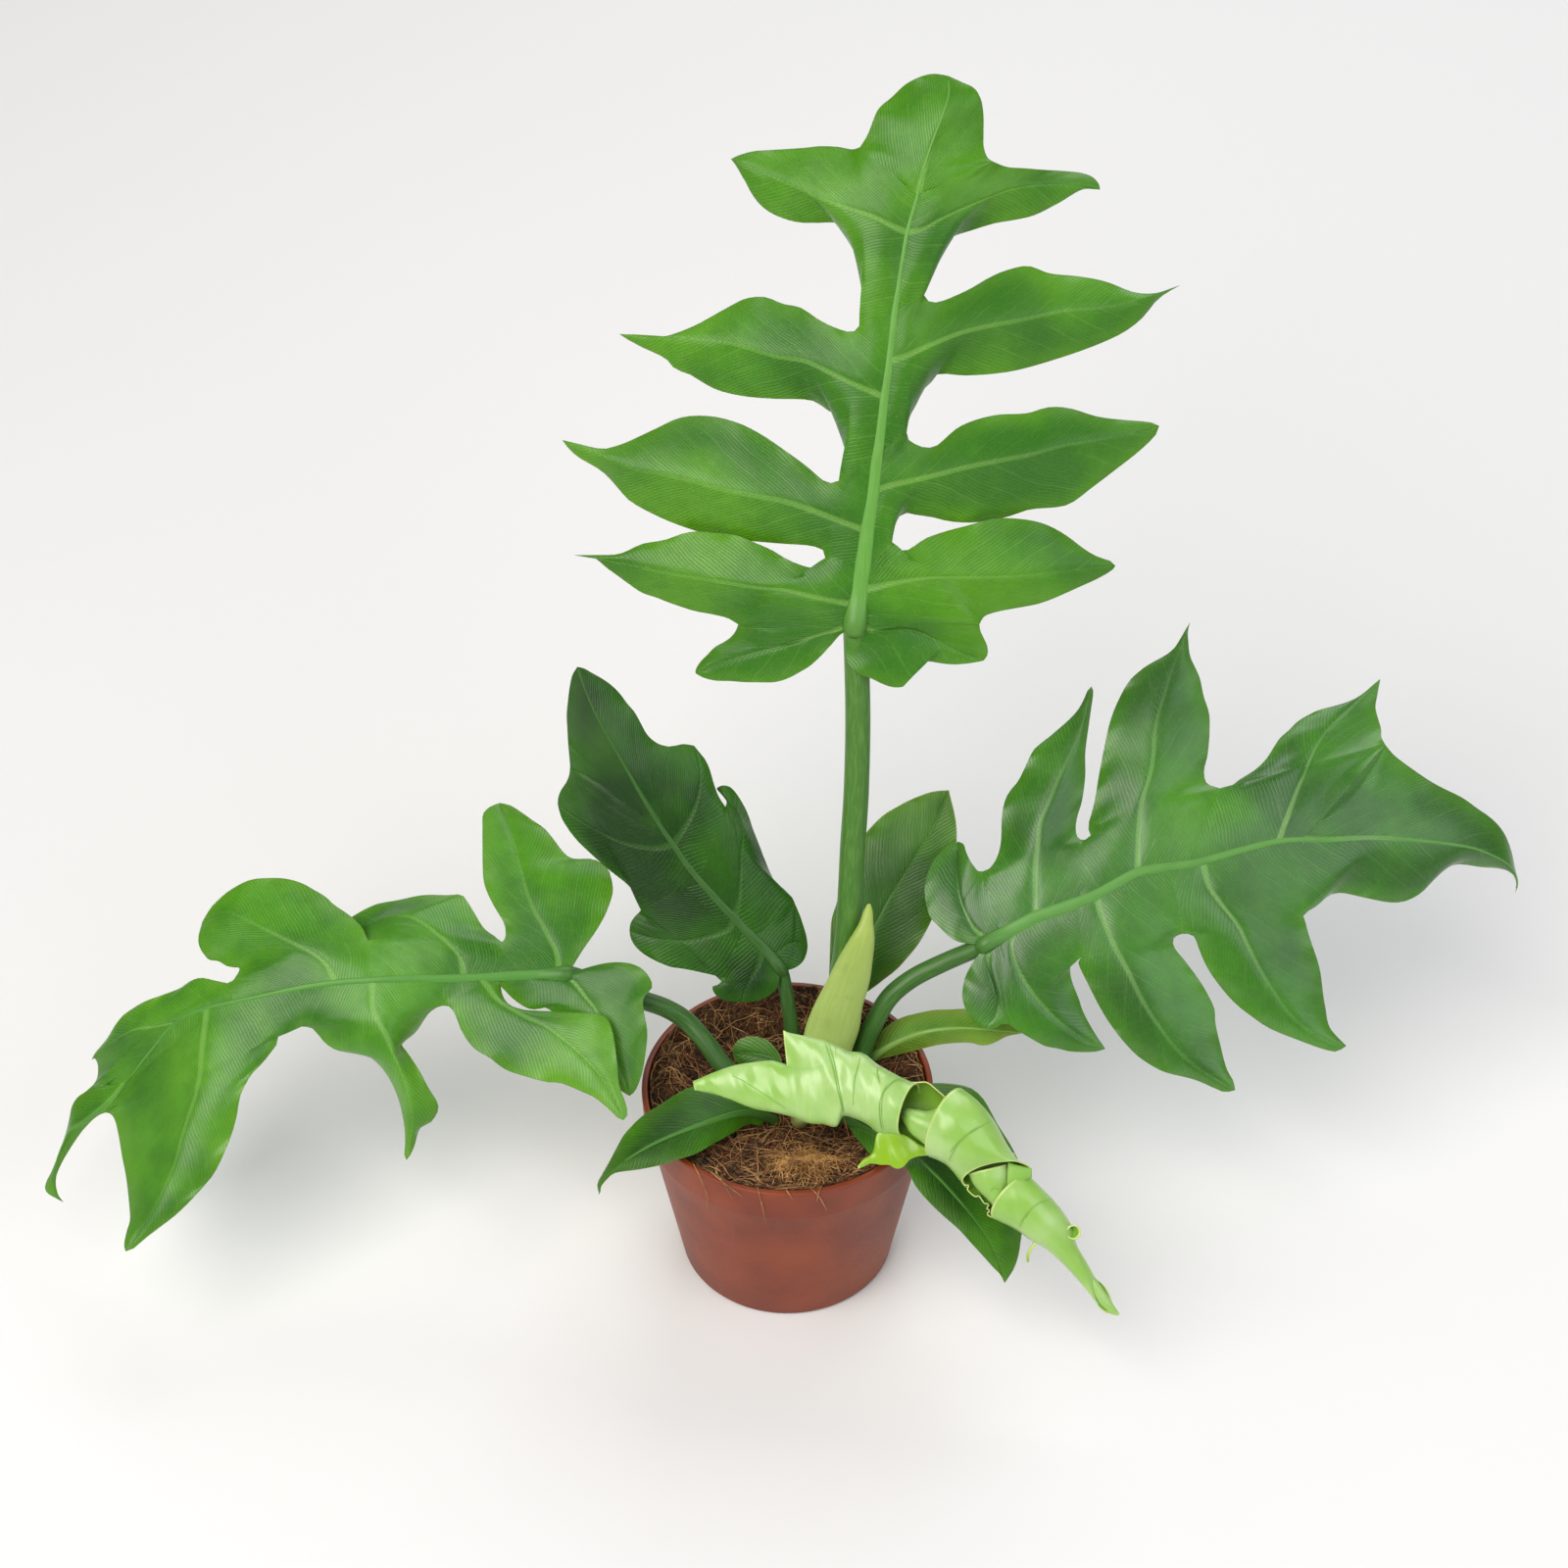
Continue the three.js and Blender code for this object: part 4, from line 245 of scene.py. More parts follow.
# One sheet of a blade between two edges, with a vein down its middle.
def sheetGrid(near, far, vein, web, number, openNear, start=None):
    t = columnShares()
    rows = len(vein)
    left = near[:, None] + (vein - near)[:, None] * t[None, :, None]
    right = far[:, None] + (vein - far)[:, None] * t[None, :, None]
    grid = np.concatenate([left, right[:, ::-1][:, 1:]], axis=1)
    if start is not None:
        grid[0] = start
    nearWide, farWide = (np.hypot(*(edge - vein)[:, :2].T)[:, None] for edge in (near, far))
    away = np.r_[t, t[::-1][1:]][None]
    isLeft = np.arange(away.shape[1])[None] <= leafMesh["half"]
    wide = np.where(isLeft, nearWide, farWide)
    along = np.repeat(lengths(vein)[:, None], away.shape[1], axis=1)
    offRib = ease(0, 7 if start is not None else 12, along)
    grid[..., 2] += leafMesh["swell"] * wide * np.sin(np.pi * away) * offRib

    gap = [np.zeros(rows), np.zeros(rows)]
    for k, (edge, isOpen) in enumerate(((near, openNear), (far, False))):
        if web and not isOpen:
            reach = np.hypot(*(edge[:web + 1] - edge[web])[:, :2].T)
            gap[k][:web + 1] = reach
            rise = leafMesh["webRise"] * reach[0] * np.sin(np.pi * np.arange(web + 1) / web)
            side = isLeft if k == 0 else ~isLeft
            grid[:web + 1, :, 2] += rise[:, None] * (1 - away**2) * side * ease(0, 5, along[:web + 1])
        begin = 0 if isOpen else web
        share = np.clip((np.arange(rows) - begin) / (rows - 1 - begin), 0, 1)
        fade = ease(0, 0.12, share) * ease(0, 0.1, 1 - share)
        s = lengths(edge) / leafMesh["waveLength"] * 2 * np.pi
        phase = number * 2.4 + k * 1.9
        wave = np.sin(s + phase + 0.8 * np.sin(0.37 * s + number)) + 0.4 * np.sin(2.3 * s + 2 * phase)
        side = isLeft if k == 0 else ~isLeft
        size = leafMesh["waveHeight"] * np.minimum(1, wide / 14)
        grid[..., 2] += (size * (fade * wave)[:, None]) * (1 - away) ** 1.7 * side

    edgeNear = wide * away + np.where(isLeft, gap[0][:, None], gap[1][:, None])
    edgeNear = np.minimum(edgeNear, np.hypot(*(grid - vein[-1])[..., :2].transpose(2, 0, 1)) + 0.2)
    share = along / along[-1, 0]
    veinWide = 0.35 + 0.85 * (1 - share) ** 1.2
    sign = np.where(isLeft, -1.0, 1.0)
    seed = number * 0.137 % 1 + (0.0 if start is not None else 1.0)
    values = [along, wide * (1 - away) * sign, veinWide, edgeNear, np.full(along.shape, seed)]
    return grid, np.stack(values, axis=-1)


def lobeSheet(dense, shape, number):
    first, middle, last = [step * fineSteps for step in shape["at"]]
    isOpen = shape.get("open", False)
    near = edgeRows(dense[first], shape["near"], shape, isOpen)
    far = edgeRows(dense[last], shape["far"], shape)
    vein = veinRows(dense[middle], shape, near, far)
    t = columnShares()
    start = np.vstack([atShares(dense[first:middle + 1], t),
                       atShares(dense[middle:last + 1][::-1], t)[::-1][1:]])
    return sheetGrid(near, far, vein, leafMesh["webRows"], number, isOpen, start)


def endSheet(start, shape, number):
    whole = shape.get("open", False)
    rows = leafMesh["wholeRows"] if whole else leafMesh["webRows"] + leafMesh["lobeRows"]
    shares = np.linspace(0, 1, rows + 1)

    def run(key, amount):
        return atShares(smoothRun(raised(withDepths([start, *shape[key], shape["tip"]]), 0, amount)), shares)

    if whole:
        near, far = (run(key, -shape["sag"]) for key in ("near", "far"))
    else:
        near, far = (edgeRows(start, shape[key], shape) for key in ("near", "far"))
    web = 0 if whole else leafMesh["webRows"]
    return sheetGrid(near, far, run("vein", shape["arch"]), web, number, whole)


# Joins sheets where they share points, and returns drawn points, faces and corner values.
def joinedSheets(sheets):
    points, faces, values, count = [], [], [], 0
    for grid, data in sheets:
        rows, columns = grid.shape[:2]
        f = gridFaces(rows, columns)
        p, v = grid.reshape(-1, 3), data.reshape(-1, data.shape[-1])
        a, b, c = (p[f[:, k]] for k in range(3))
        area = np.sum((b - a)[:, 0] * (c - a)[:, 1] - (b - a)[:, 1] * (c - a)[:, 0])
        if area < 0:
            f = f[:, ::-1]
        points.append(p)
        faces.append(f + count)
        values.append(v[f])
        count += len(p)
    points, faces, values = np.vstack(points), np.vstack(faces), np.vstack(values)
    _, keep, index = np.unique(np.round(points, 2), axis=0, return_index=True, return_inverse=True)
    index = index.ravel()
    faces = index[faces]
    real = (faces[:, 0] != faces[:, 1]) & (faces[:, 1] != faces[:, 2]) & (faces[:, 2] != faces[:, 0])
    return points[keep], faces[real], values[real]


# Edges that only one triangle has, and the corners that they start at.
def boundaryEdges(faces, count):
    edges = np.vstack([faces[:, [0, 1]], faces[:, [1, 2]], faces[:, [2, 0]]])
    corner = np.concatenate([np.arange(len(faces)) * 3 + k for k in range(3)])
    key = edges[:, 0] * count + edges[:, 1]
    back = edges[:, 1] * count + edges[:, 0]
    free = ~np.isin(key, back)
    return edges[free], corner[free]


# Evens the depth out over the joints between lobes, presses the veins in and adds soft waves.
def settledDepths(points, faces, values, seed, relief):
    count = len(points)
    flatFaces, flatValues = faces.ravel(), values.reshape(-1, values.shape[-1])
    data = np.zeros((count, values.shape[-1]))
    data[flatFaces] = flatValues
    edges = np.vstack([faces[:, [0, 1]], faces[:, [1, 2]], faces[:, [2, 0]]])
    free = np.zeros(count, bool)
    free[boundaryEdges(faces, count)[0].ravel()] = True
    hold = np.where(free, 0, 1 - np.exp(-(data[:, 1] / 2.5) ** 2)) * np.minimum(1, data[:, 0] / 6)
    depth = points[:, 2].copy()
    starts, ends = edges.T
    links = np.bincount(starts, minlength=count) + np.bincount(ends, minlength=count)
    for _ in range(leafMesh["smoothing"]):
        total = np.bincount(starts, depth[ends], count) + np.bincount(ends, depth[starts], count)
        depth += 0.6 * hold * (total / links - depth)
    for i, (x, y) in enumerate(points[:, :2]):
        wave = noise.noise(Vector((x / 31, y / 31, seed)))
        wave += 0.45 * noise.noise(Vector((x / 13, y / 13, seed + 5)))
        depth[i] += relief * leafMesh["undulation"] * wave * min(1, data[i, 0] / 14)
    groove = np.exp(-(data[:, 1] / 1.5) ** 2) * ease(1.5, 5, data[:, 3]) * ease(1, 8, data[:, 0])
    depth -= relief * leafMesh["groove"] * (data[:, 4] < 1) * groove  # only lobes have a vein of their own
    points = points.copy()
    points[:, 2] = depth
    return points, data


# A blade with its thickness: the top, the underside and the walls around them.
def addBlade(build, sheets, seed, relief):
    drawn, faces, values = joinedSheets(sheets)
    drawn, data = settledDepths(drawn, faces, values, seed, relief)
    points = place(drawn)
    a, b, c = (points[faces[:, k]] for k in range(3))
    normals = np.zeros_like(points)
    for k in range(3):
        np.add.at(normals, faces[:, k], np.cross(b - a, c - a))
    normals /= np.linalg.norm(normals, axis=1)[:, None] + 1e-12
    half = leafMesh["thickness"] / 2000 * (0.35 + 0.65 * ease(0, 2.5, data[:, 3]))[:, None]
    top, bottom = points + normals * half, points - normals * half
    count = len(points)
    edges, corners = boundaryEdges(faces, count)
    s, e = edges[:, 0], edges[:, 1]
    walls = np.vstack([np.column_stack([e, s, s + count]), np.column_stack([e, s + count, e + count])])
    flat = values.reshape(-1, values.shape[-1])
    wallValues = np.repeat(flat[corners][:, None], 3, axis=1)
    addTriangles(build, np.vstack([top, bottom]), np.vstack([faces, walls]), 0,
                 np.vstack([values, wallValues, wallValues]))
    under = faces[:, ::-1] + build["count"] - count
    build["faces"].append(under)
    build["looks"].append(np.full(len(under), 1))
    build["values"].append(values[:, ::-1])


soilTop = 85.0  # mm above the floor
footDepth = 8.65  # mm that a stalk goes down into the soil


def stalkPath(drawnStalk):
    path = place(drawnStalk)
    foot, ground = path[0].copy(), path[0].copy()
    foot[2], ground[2] = (soilTop - footDepth) / 1000, (soilTop - 2) / 1000
    return np.vstack([foot, ground, path[1:]])


# Stalk and midrib in one tapering tube, from the foot in the soil to the tip.
def addStalk(build, leaf, dense):
    stalk = stalkPath(leaf["stalk"])
    end = leaf["end"]
    tipRun = smoothRun(raised(withDepths([dense[-1], *end["vein"], end["tip"]]), 0, end["arch"]))
    run = np.vstack([dense[:-1], tipRun])
    along = lengths(run)
    thick, thin = leaf["ribRadius"]
    ribWide = thin * 0.5 + (thick * leaf.get("ribShare", 1.1) - thin * 0.5) * (1 - along / along[-1]) ** 1.5
    run[:, 2] += 0.05 * ribWide * ease(0, 6, along)
    rib = place(run[:int(0.985 * len(run))])
    ribWide = ribWide[:len(rib)]
    ahead = rib[[min(8, len(rib) - 1)]] if len(dense) > 1 else rib[[fineSteps]]
    lead = smoothRun(np.vstack([stalk, ahead]))[:-fineSteps]
    stalkWide = np.interp(lengths(lead), [0, lengths(lead)[-1]], leaf["stalkRadius"])
    full = np.vstack([lead, rib[1:]])
    flat = ease(0, 14, along[1:len(rib)])
    wide = np.r_[stalkWide, stalkWide[-1] + (ribWide[1:] - stalkWide[-1]) * flat] / 1000
    deep = np.r_[stalkWide, stalkWide[-1] + (ribWide[1:] * 0.22 + 0.3 - stalkWide[-1]) * flat] / 1000
    keep = np.r_[True, np.diff(lengths(full)) > 1e-7]
    full, wide, deep = full[keep], wide[keep], deep[keep]
    total = lengths(full)
    count = int(total[-1] * 1000 / 2.2)
    at = np.linspace(0, total[-1], count)
    centres = np.column_stack([np.interp(at, total, full[:, k]) for k in range(3)])
    rings = tubeRings(centres, np.interp(at, total, wide), np.interp(at, total, deep), 16)
    joint = lengths(stalk)[-1]
    addTube(build, rings, 2, mark=ease(joint - 0.006, joint + 0.02, at))


def makeLeaf(node, leaf, materials, seed):
    dense = smoothRun(leaf["midrib"]) if len(leaf["midrib"]) > 1 else np.array(leaf["midrib"], float)
    sheets = [lobeSheet(dense, shape, k + seed) for k, shape in enumerate(leaf["lobes"])]
    sheets.append(endSheet(dense[-1], leaf["end"], seed + 11))
    build = newBuild()
    addBlade(build, sheets, seed, leaf.get("relief", 1.0))
    addStalk(build, leaf, dense)
    piece = finishPiece(node + "_grown", build, materials, node)
    piece.data.set_sharp_from_angle(angle=math.radians(60))


# An sRGB hex colour as linear light.
def linear(text):
    parts = [int(text[i:i + 2], 16) / 255 for i in (1, 3, 5)]
    return [p / 12.92 if p <= 0.04045 else ((p + 0.055) / 1.055) ** 2.4 for p in parts] + [1.0]


# Sets a node's inputs: a socket is linked, a hex colour is turned to linear, and any other value is set.
def setInputs(material, node, inputs):
    for key, value in inputs.items():
        if isinstance(value, bpy.types.NodeSocket):
            material.node_tree.links.new(value, node.inputs[key])
        else:
            node.inputs[key].default_value = linear(value) if isinstance(value, str) else value


# Adds a node with its settings and its inputs, and returns one of its outputs.
def addNode(material, kind, inputs=(), output=0, **settings):
    node = material.node_tree.nodes.new("ShaderNode" + kind)
    for key, value in settings.items():
        setattr(node, key, value)
    setInputs(material, node, inputs if isinstance(inputs, dict) else dict(enumerate(inputs)))
    return node.outputs[output]


def newMaterial(name, settings):
    material = bpy.data.materials.new(name)
    material.use_nodes = True
    shader = material.node_tree.nodes["Principled BSDF"]
    setInputs(material, shader, settings)
    return material, shader, partial(addNode, material)


# Lays colours one over the other: each layer has a share, from a pattern, its strength and its colour.
def layered(add, colour, layers):
    for share, strength, top in layers:
        share = add("Math", [share, strength], operation="MULTIPLY")
        colour = add("Mix", {0: share, 6: colour, 7: top}, 2, data_type="RGBA")
    return colour


# Relief: each pattern raises the surface by its height in mm, or sinks it.
def reliefNormal(add, strength, patterns):
    height = 0.0
    for pattern, size in patterns:
        height = add("Math", [pattern, size, height], operation="MULTIPLY_ADD")
    return add("Bump", {"Strength": strength, "Distance": 0.001, "Height": height})


# Streaks of a width in mm, drawn out by scaling two distances differently.
def streaky(add, width, first, firstScale, second, secondScale):
    x = add("Math", [first, firstScale], operation="MULTIPLY")
    y = add("Math", [second, secondScale], operation="MULTIPLY")
    return add("TexNoise", {"Vector": add("CombineXYZ", [x, y]), "Scale": 1000 / width, "Detail": 3.0})


softRange = {"interpolation_type": "SMOOTHSTEP"}  # a range that starts and ends softly
# Pattern sizes of a blade in mm; the net and the striae are drawn coarser than real ones, so that they show.
bladeLook = {"wobbleSize": 26, "wobble": 11.0, "gapSize": 19, "patchSize": 45, "mottleSize": 6, "sunSize": 90,
             "netSize": 3.2, "dustSize": 4.5, "striae": 2.4}


# Leaf blade, living leaf grown with a waxed skin: a satin green with broad sheens. Each lobe has a pale sunken
# vein, thin side veins, a fine net and striae between them, and a yellower margin.
def bladeMaterial(name, look, under=False):
    material, shader, add = newMaterial(name, {
        "IOR": 1.38, "Coat Weight": 0.0 if under else look["coat"], "Coat Roughness": 0.34,
        "Subsurface Weight": 0.08, "Subsurface Scale": 0.002})
    spot = add("TexCoord", output="Object")
    along, offVein, wide, near, seed = (
        add("Attribute", output="Fac", attribute_name=key) for key in valueNames)
    off = add("Math", [offVein], operation="ABSOLUTE")
    sizes = [("wobbleSize", 2), ("gapSize", 2), ("patchSize", 3), ("mottleSize", 3), ("sunSize", 2)]
    wobble, gaps, broad, small, sunny = (
        add("TexNoise", {"Vector": spot, "Scale": 1000 / bladeLook[size], "Detail": detail})
        for size, detail in sizes)
    mesh, specks = (
        add("TexVoronoi", {"Vector": spot, "Scale": 1000 / bladeLook[size]}, feature=feature)
        for size, feature in (("netSize", "DISTANCE_TO_EDGE"), ("dustSize", "F1")))

    # Side veins and striae repeat along the vein, slanting forwards and wobbling a little.
    forward = add("Math", [off, -look["slant"], along], operation="MULTIPLY_ADD")
    forward = add("Math", [wobble, bladeLook["wobble"], forward], operation="MULTIPLY_ADD")
    forward = add("Math", [seed, 40.0, forward], operation="MULTIPLY_ADD")
    bands = []
    for spacing in (look["spacing"], bladeLook["striae"]):
        band = add("Math", [forward, spacing], operation="DIVIDE")
        band = add("Math", [band], operation="FRACT")
        band = add("Math", [band, 2.0, -1.0], operation="MULTIPLY_ADD")
        bands.append(add("Math", [band], operation="ABSOLUTE"))
    side, fine = bands
    rib = add("Math", [off, wide], operation="DIVIDE")
    line, inner, broken, striae, main, net, ribWide = (add("MapRange", values, **softRange) for values in (
        [side, 0.82, 1.0], [near, 0.5, 8.0], [gaps, 0.35, 0.6], [fine, 0.5, 1.0], [rib, 0.6, 1.7, 1, 0],
        [mesh, 0.0, 0.07, 1, 0], [wide, 0.2, 1.2]))
    patches, sun, mottle, margin, rim, dots = (add("MapRange", values, **softRange) for values in (
        [broad, 0.38, 0.66], [sunny, 0.52, 0.7], [small, 0.4, 0.7], [near, 0.5, 9.0, 1, 0],
        [near, 0.2, 0.9, 1, 0], [specks, 0.03, 0.08, 1, 0]))
    for fade in (inner, broken):
        line = add("Math", [line, fade], operation="MULTIPLY")
    mainLine = add("Math", [main, ribWide], operation="MULTIPLY")
    colour = layered(add, look["deep"], [
        (patches, 1.0, look["bright"]), (sun, 0.6, look["yellow"]), (mottle, 0.22, look["deep"]),
        (margin, 0.3, look["yellow"]), (net, 0.05, look["vein"]), (striae, 0.2, look["deep"]),
        (line, look["sideVeins"], look["vein"]), (mainLine, look["mainVein"] * 1.5, look["vein"]),
        (rim, 0.4, look["edge"]), (dots, 0.4, look["under"])])
    rough = add("Math", [small, 0.16, look["roughness"] - 0.08], operation="MULTIPLY_ADD")
    rough = add("Math", [main, 0.12, rough], operation="MULTIPLY_ADD")
    turn = -1.0 if under else 1.0  # what is sunk above stands out below
    ridges = add("Math", [side, 2.0], operation="POWER")
    bumps = [(ridges, -0.13 * turn), (main, -0.25 * turn), (net, -0.05 * turn), (striae, -0.18 * turn),
             (small, 0.12)]
    setInputs(material, shader, {"Base Color": colour, "Roughness": rough,
                                 "Normal": reliefNormal(add, 0.7, bumps)})
    return material


# Stalk and midrib, living stem grown in long fibres: smooth satin green, faint streaks, paler on the midrib.
def stalkMaterial(name, look):
    material, shader, add = newMaterial(name, {"IOR": 1.42, "Coat Weight": 0.1, "Coat Roughness": 0.3})
    spot = add("TexCoord", output="Object")
    along, around, rib = (add("Attribute", output="Fac", attribute_name=key) for key in valueNames[:3])
    streaks = streaky(add, 1.1, around, 0.03, along, 0.00012)
    patches = add("TexNoise", {"Vector": spot, "Scale": 1000 / 16, "Detail": 3.0})
    pores = add("TexVoronoi", {"Vector": spot, "Scale": 1000 / 2.6}, feature="F1")
    light, dark, flecks = (add("MapRange", values, **softRange) for values in (
        [streaks, 0.42, 0.68], [patches, 0.5, 0.8], [pores, 0.06, 0.16, 1, 0]))
    colour = layered(add, look["stalk"], [
        (rib, 1.0, look["rib"]), (light, 0.16, look["stalkLight"]), (dark, 0.2, look["stalkDark"]),
        (flecks, 0.16, look["stalkLight"])])
    rough = add("Math", [streaks, 0.2, look["roughness"]], operation="MULTIPLY_ADD")
    bumps = [(flecks, 0.032), (streaks, 0.12)]
    setInputs(material, shader, {"Base Color": colour, "Roughness": rough,
                                 "Normal": reliefNormal(add, 0.5, bumps)})
    return material


# Pot, plastic moulded in one piece: a satin terracotta with faint scuffs, and dust that dulls it in patches.
def potMaterial(look):
    material, shader, add = newMaterial("pot_moulded_plastic", {"IOR": 1.49})
    spot = add("TexCoord", output="Object")
    broad, fine, dusty = (
        add("TexNoise", {"Vector": spot, "Scale": 1000 / size, "Detail": detail, "Roughness": rough})
        for size, detail, rough in ((30, 3.0, 0.5), (2.2, 3.0, 0.5), (9, 5.0, 0.7)))
    shade, dust = (add("MapRange", values, **softRange) for values in ([broad, 0.3, 0.7], [dusty, 0.52, 0.8]))
    dust = add("Math", [dust, look["dustAmount"]], operation="MULTIPLY")
    colour = layered(add, look["dark"], [(shade, 1.0, look["light"]), (dust, 1.0, look["dust"])])
    rough = add("Math", [fine, 0.14, look["roughness"]], operation="MULTIPLY_ADD")
    rough = add("Math", [dust, 0.4, rough], operation="MULTIPLY_ADD")
    bumps = [(broad, 0.2), (fine, 0.05)]
    setInputs(material, shader, {"Base Color": colour, "Roughness": rough,
                                 "Normal": reliefNormal(add, 0.5, bumps)})
    return material


# Coir, coconut husk shredded and dried: dull fibrous bits from dark to tan, with shade deep between them.
def coirMaterial(name, look):
    material, shader, add = newMaterial(name, {"IOR": 1.45, "Roughness": 0.9})
    spot = add("TexCoord", output="Object")
    bits = add("TexVoronoi", {"Vector": spot, "Scale": 1000 / look["bit"]}, feature="F1")
    grain = add("TexNoise", {"Vector": spot, "Scale": 1000 / 1.6, "Detail": 5.0, "Roughness": 0.7})
    patch = add("TexNoise", {"Vector": spot, "Scale": 1000 / 11, "Detail": 4.0})
    middle, light, gap = (add("MapRange", values, **softRange) for values in (
        [patch, 0.35, 0.65], [grain, 0.45, 0.75], [bits, 0.35, 0.75]))
    colour = layered(add, look["dark"], [
        (middle, 1.0, look["middle"]), (light, 1.0, look["light"]), (gap, 0.6, look["gap"])])
    bumps = [(bits, -0.8), (grain, 1.0)]
    setInputs(material, shader, {"Base Color": colour, "Normal": reliefNormal(add, 0.8, bumps)})
    return material


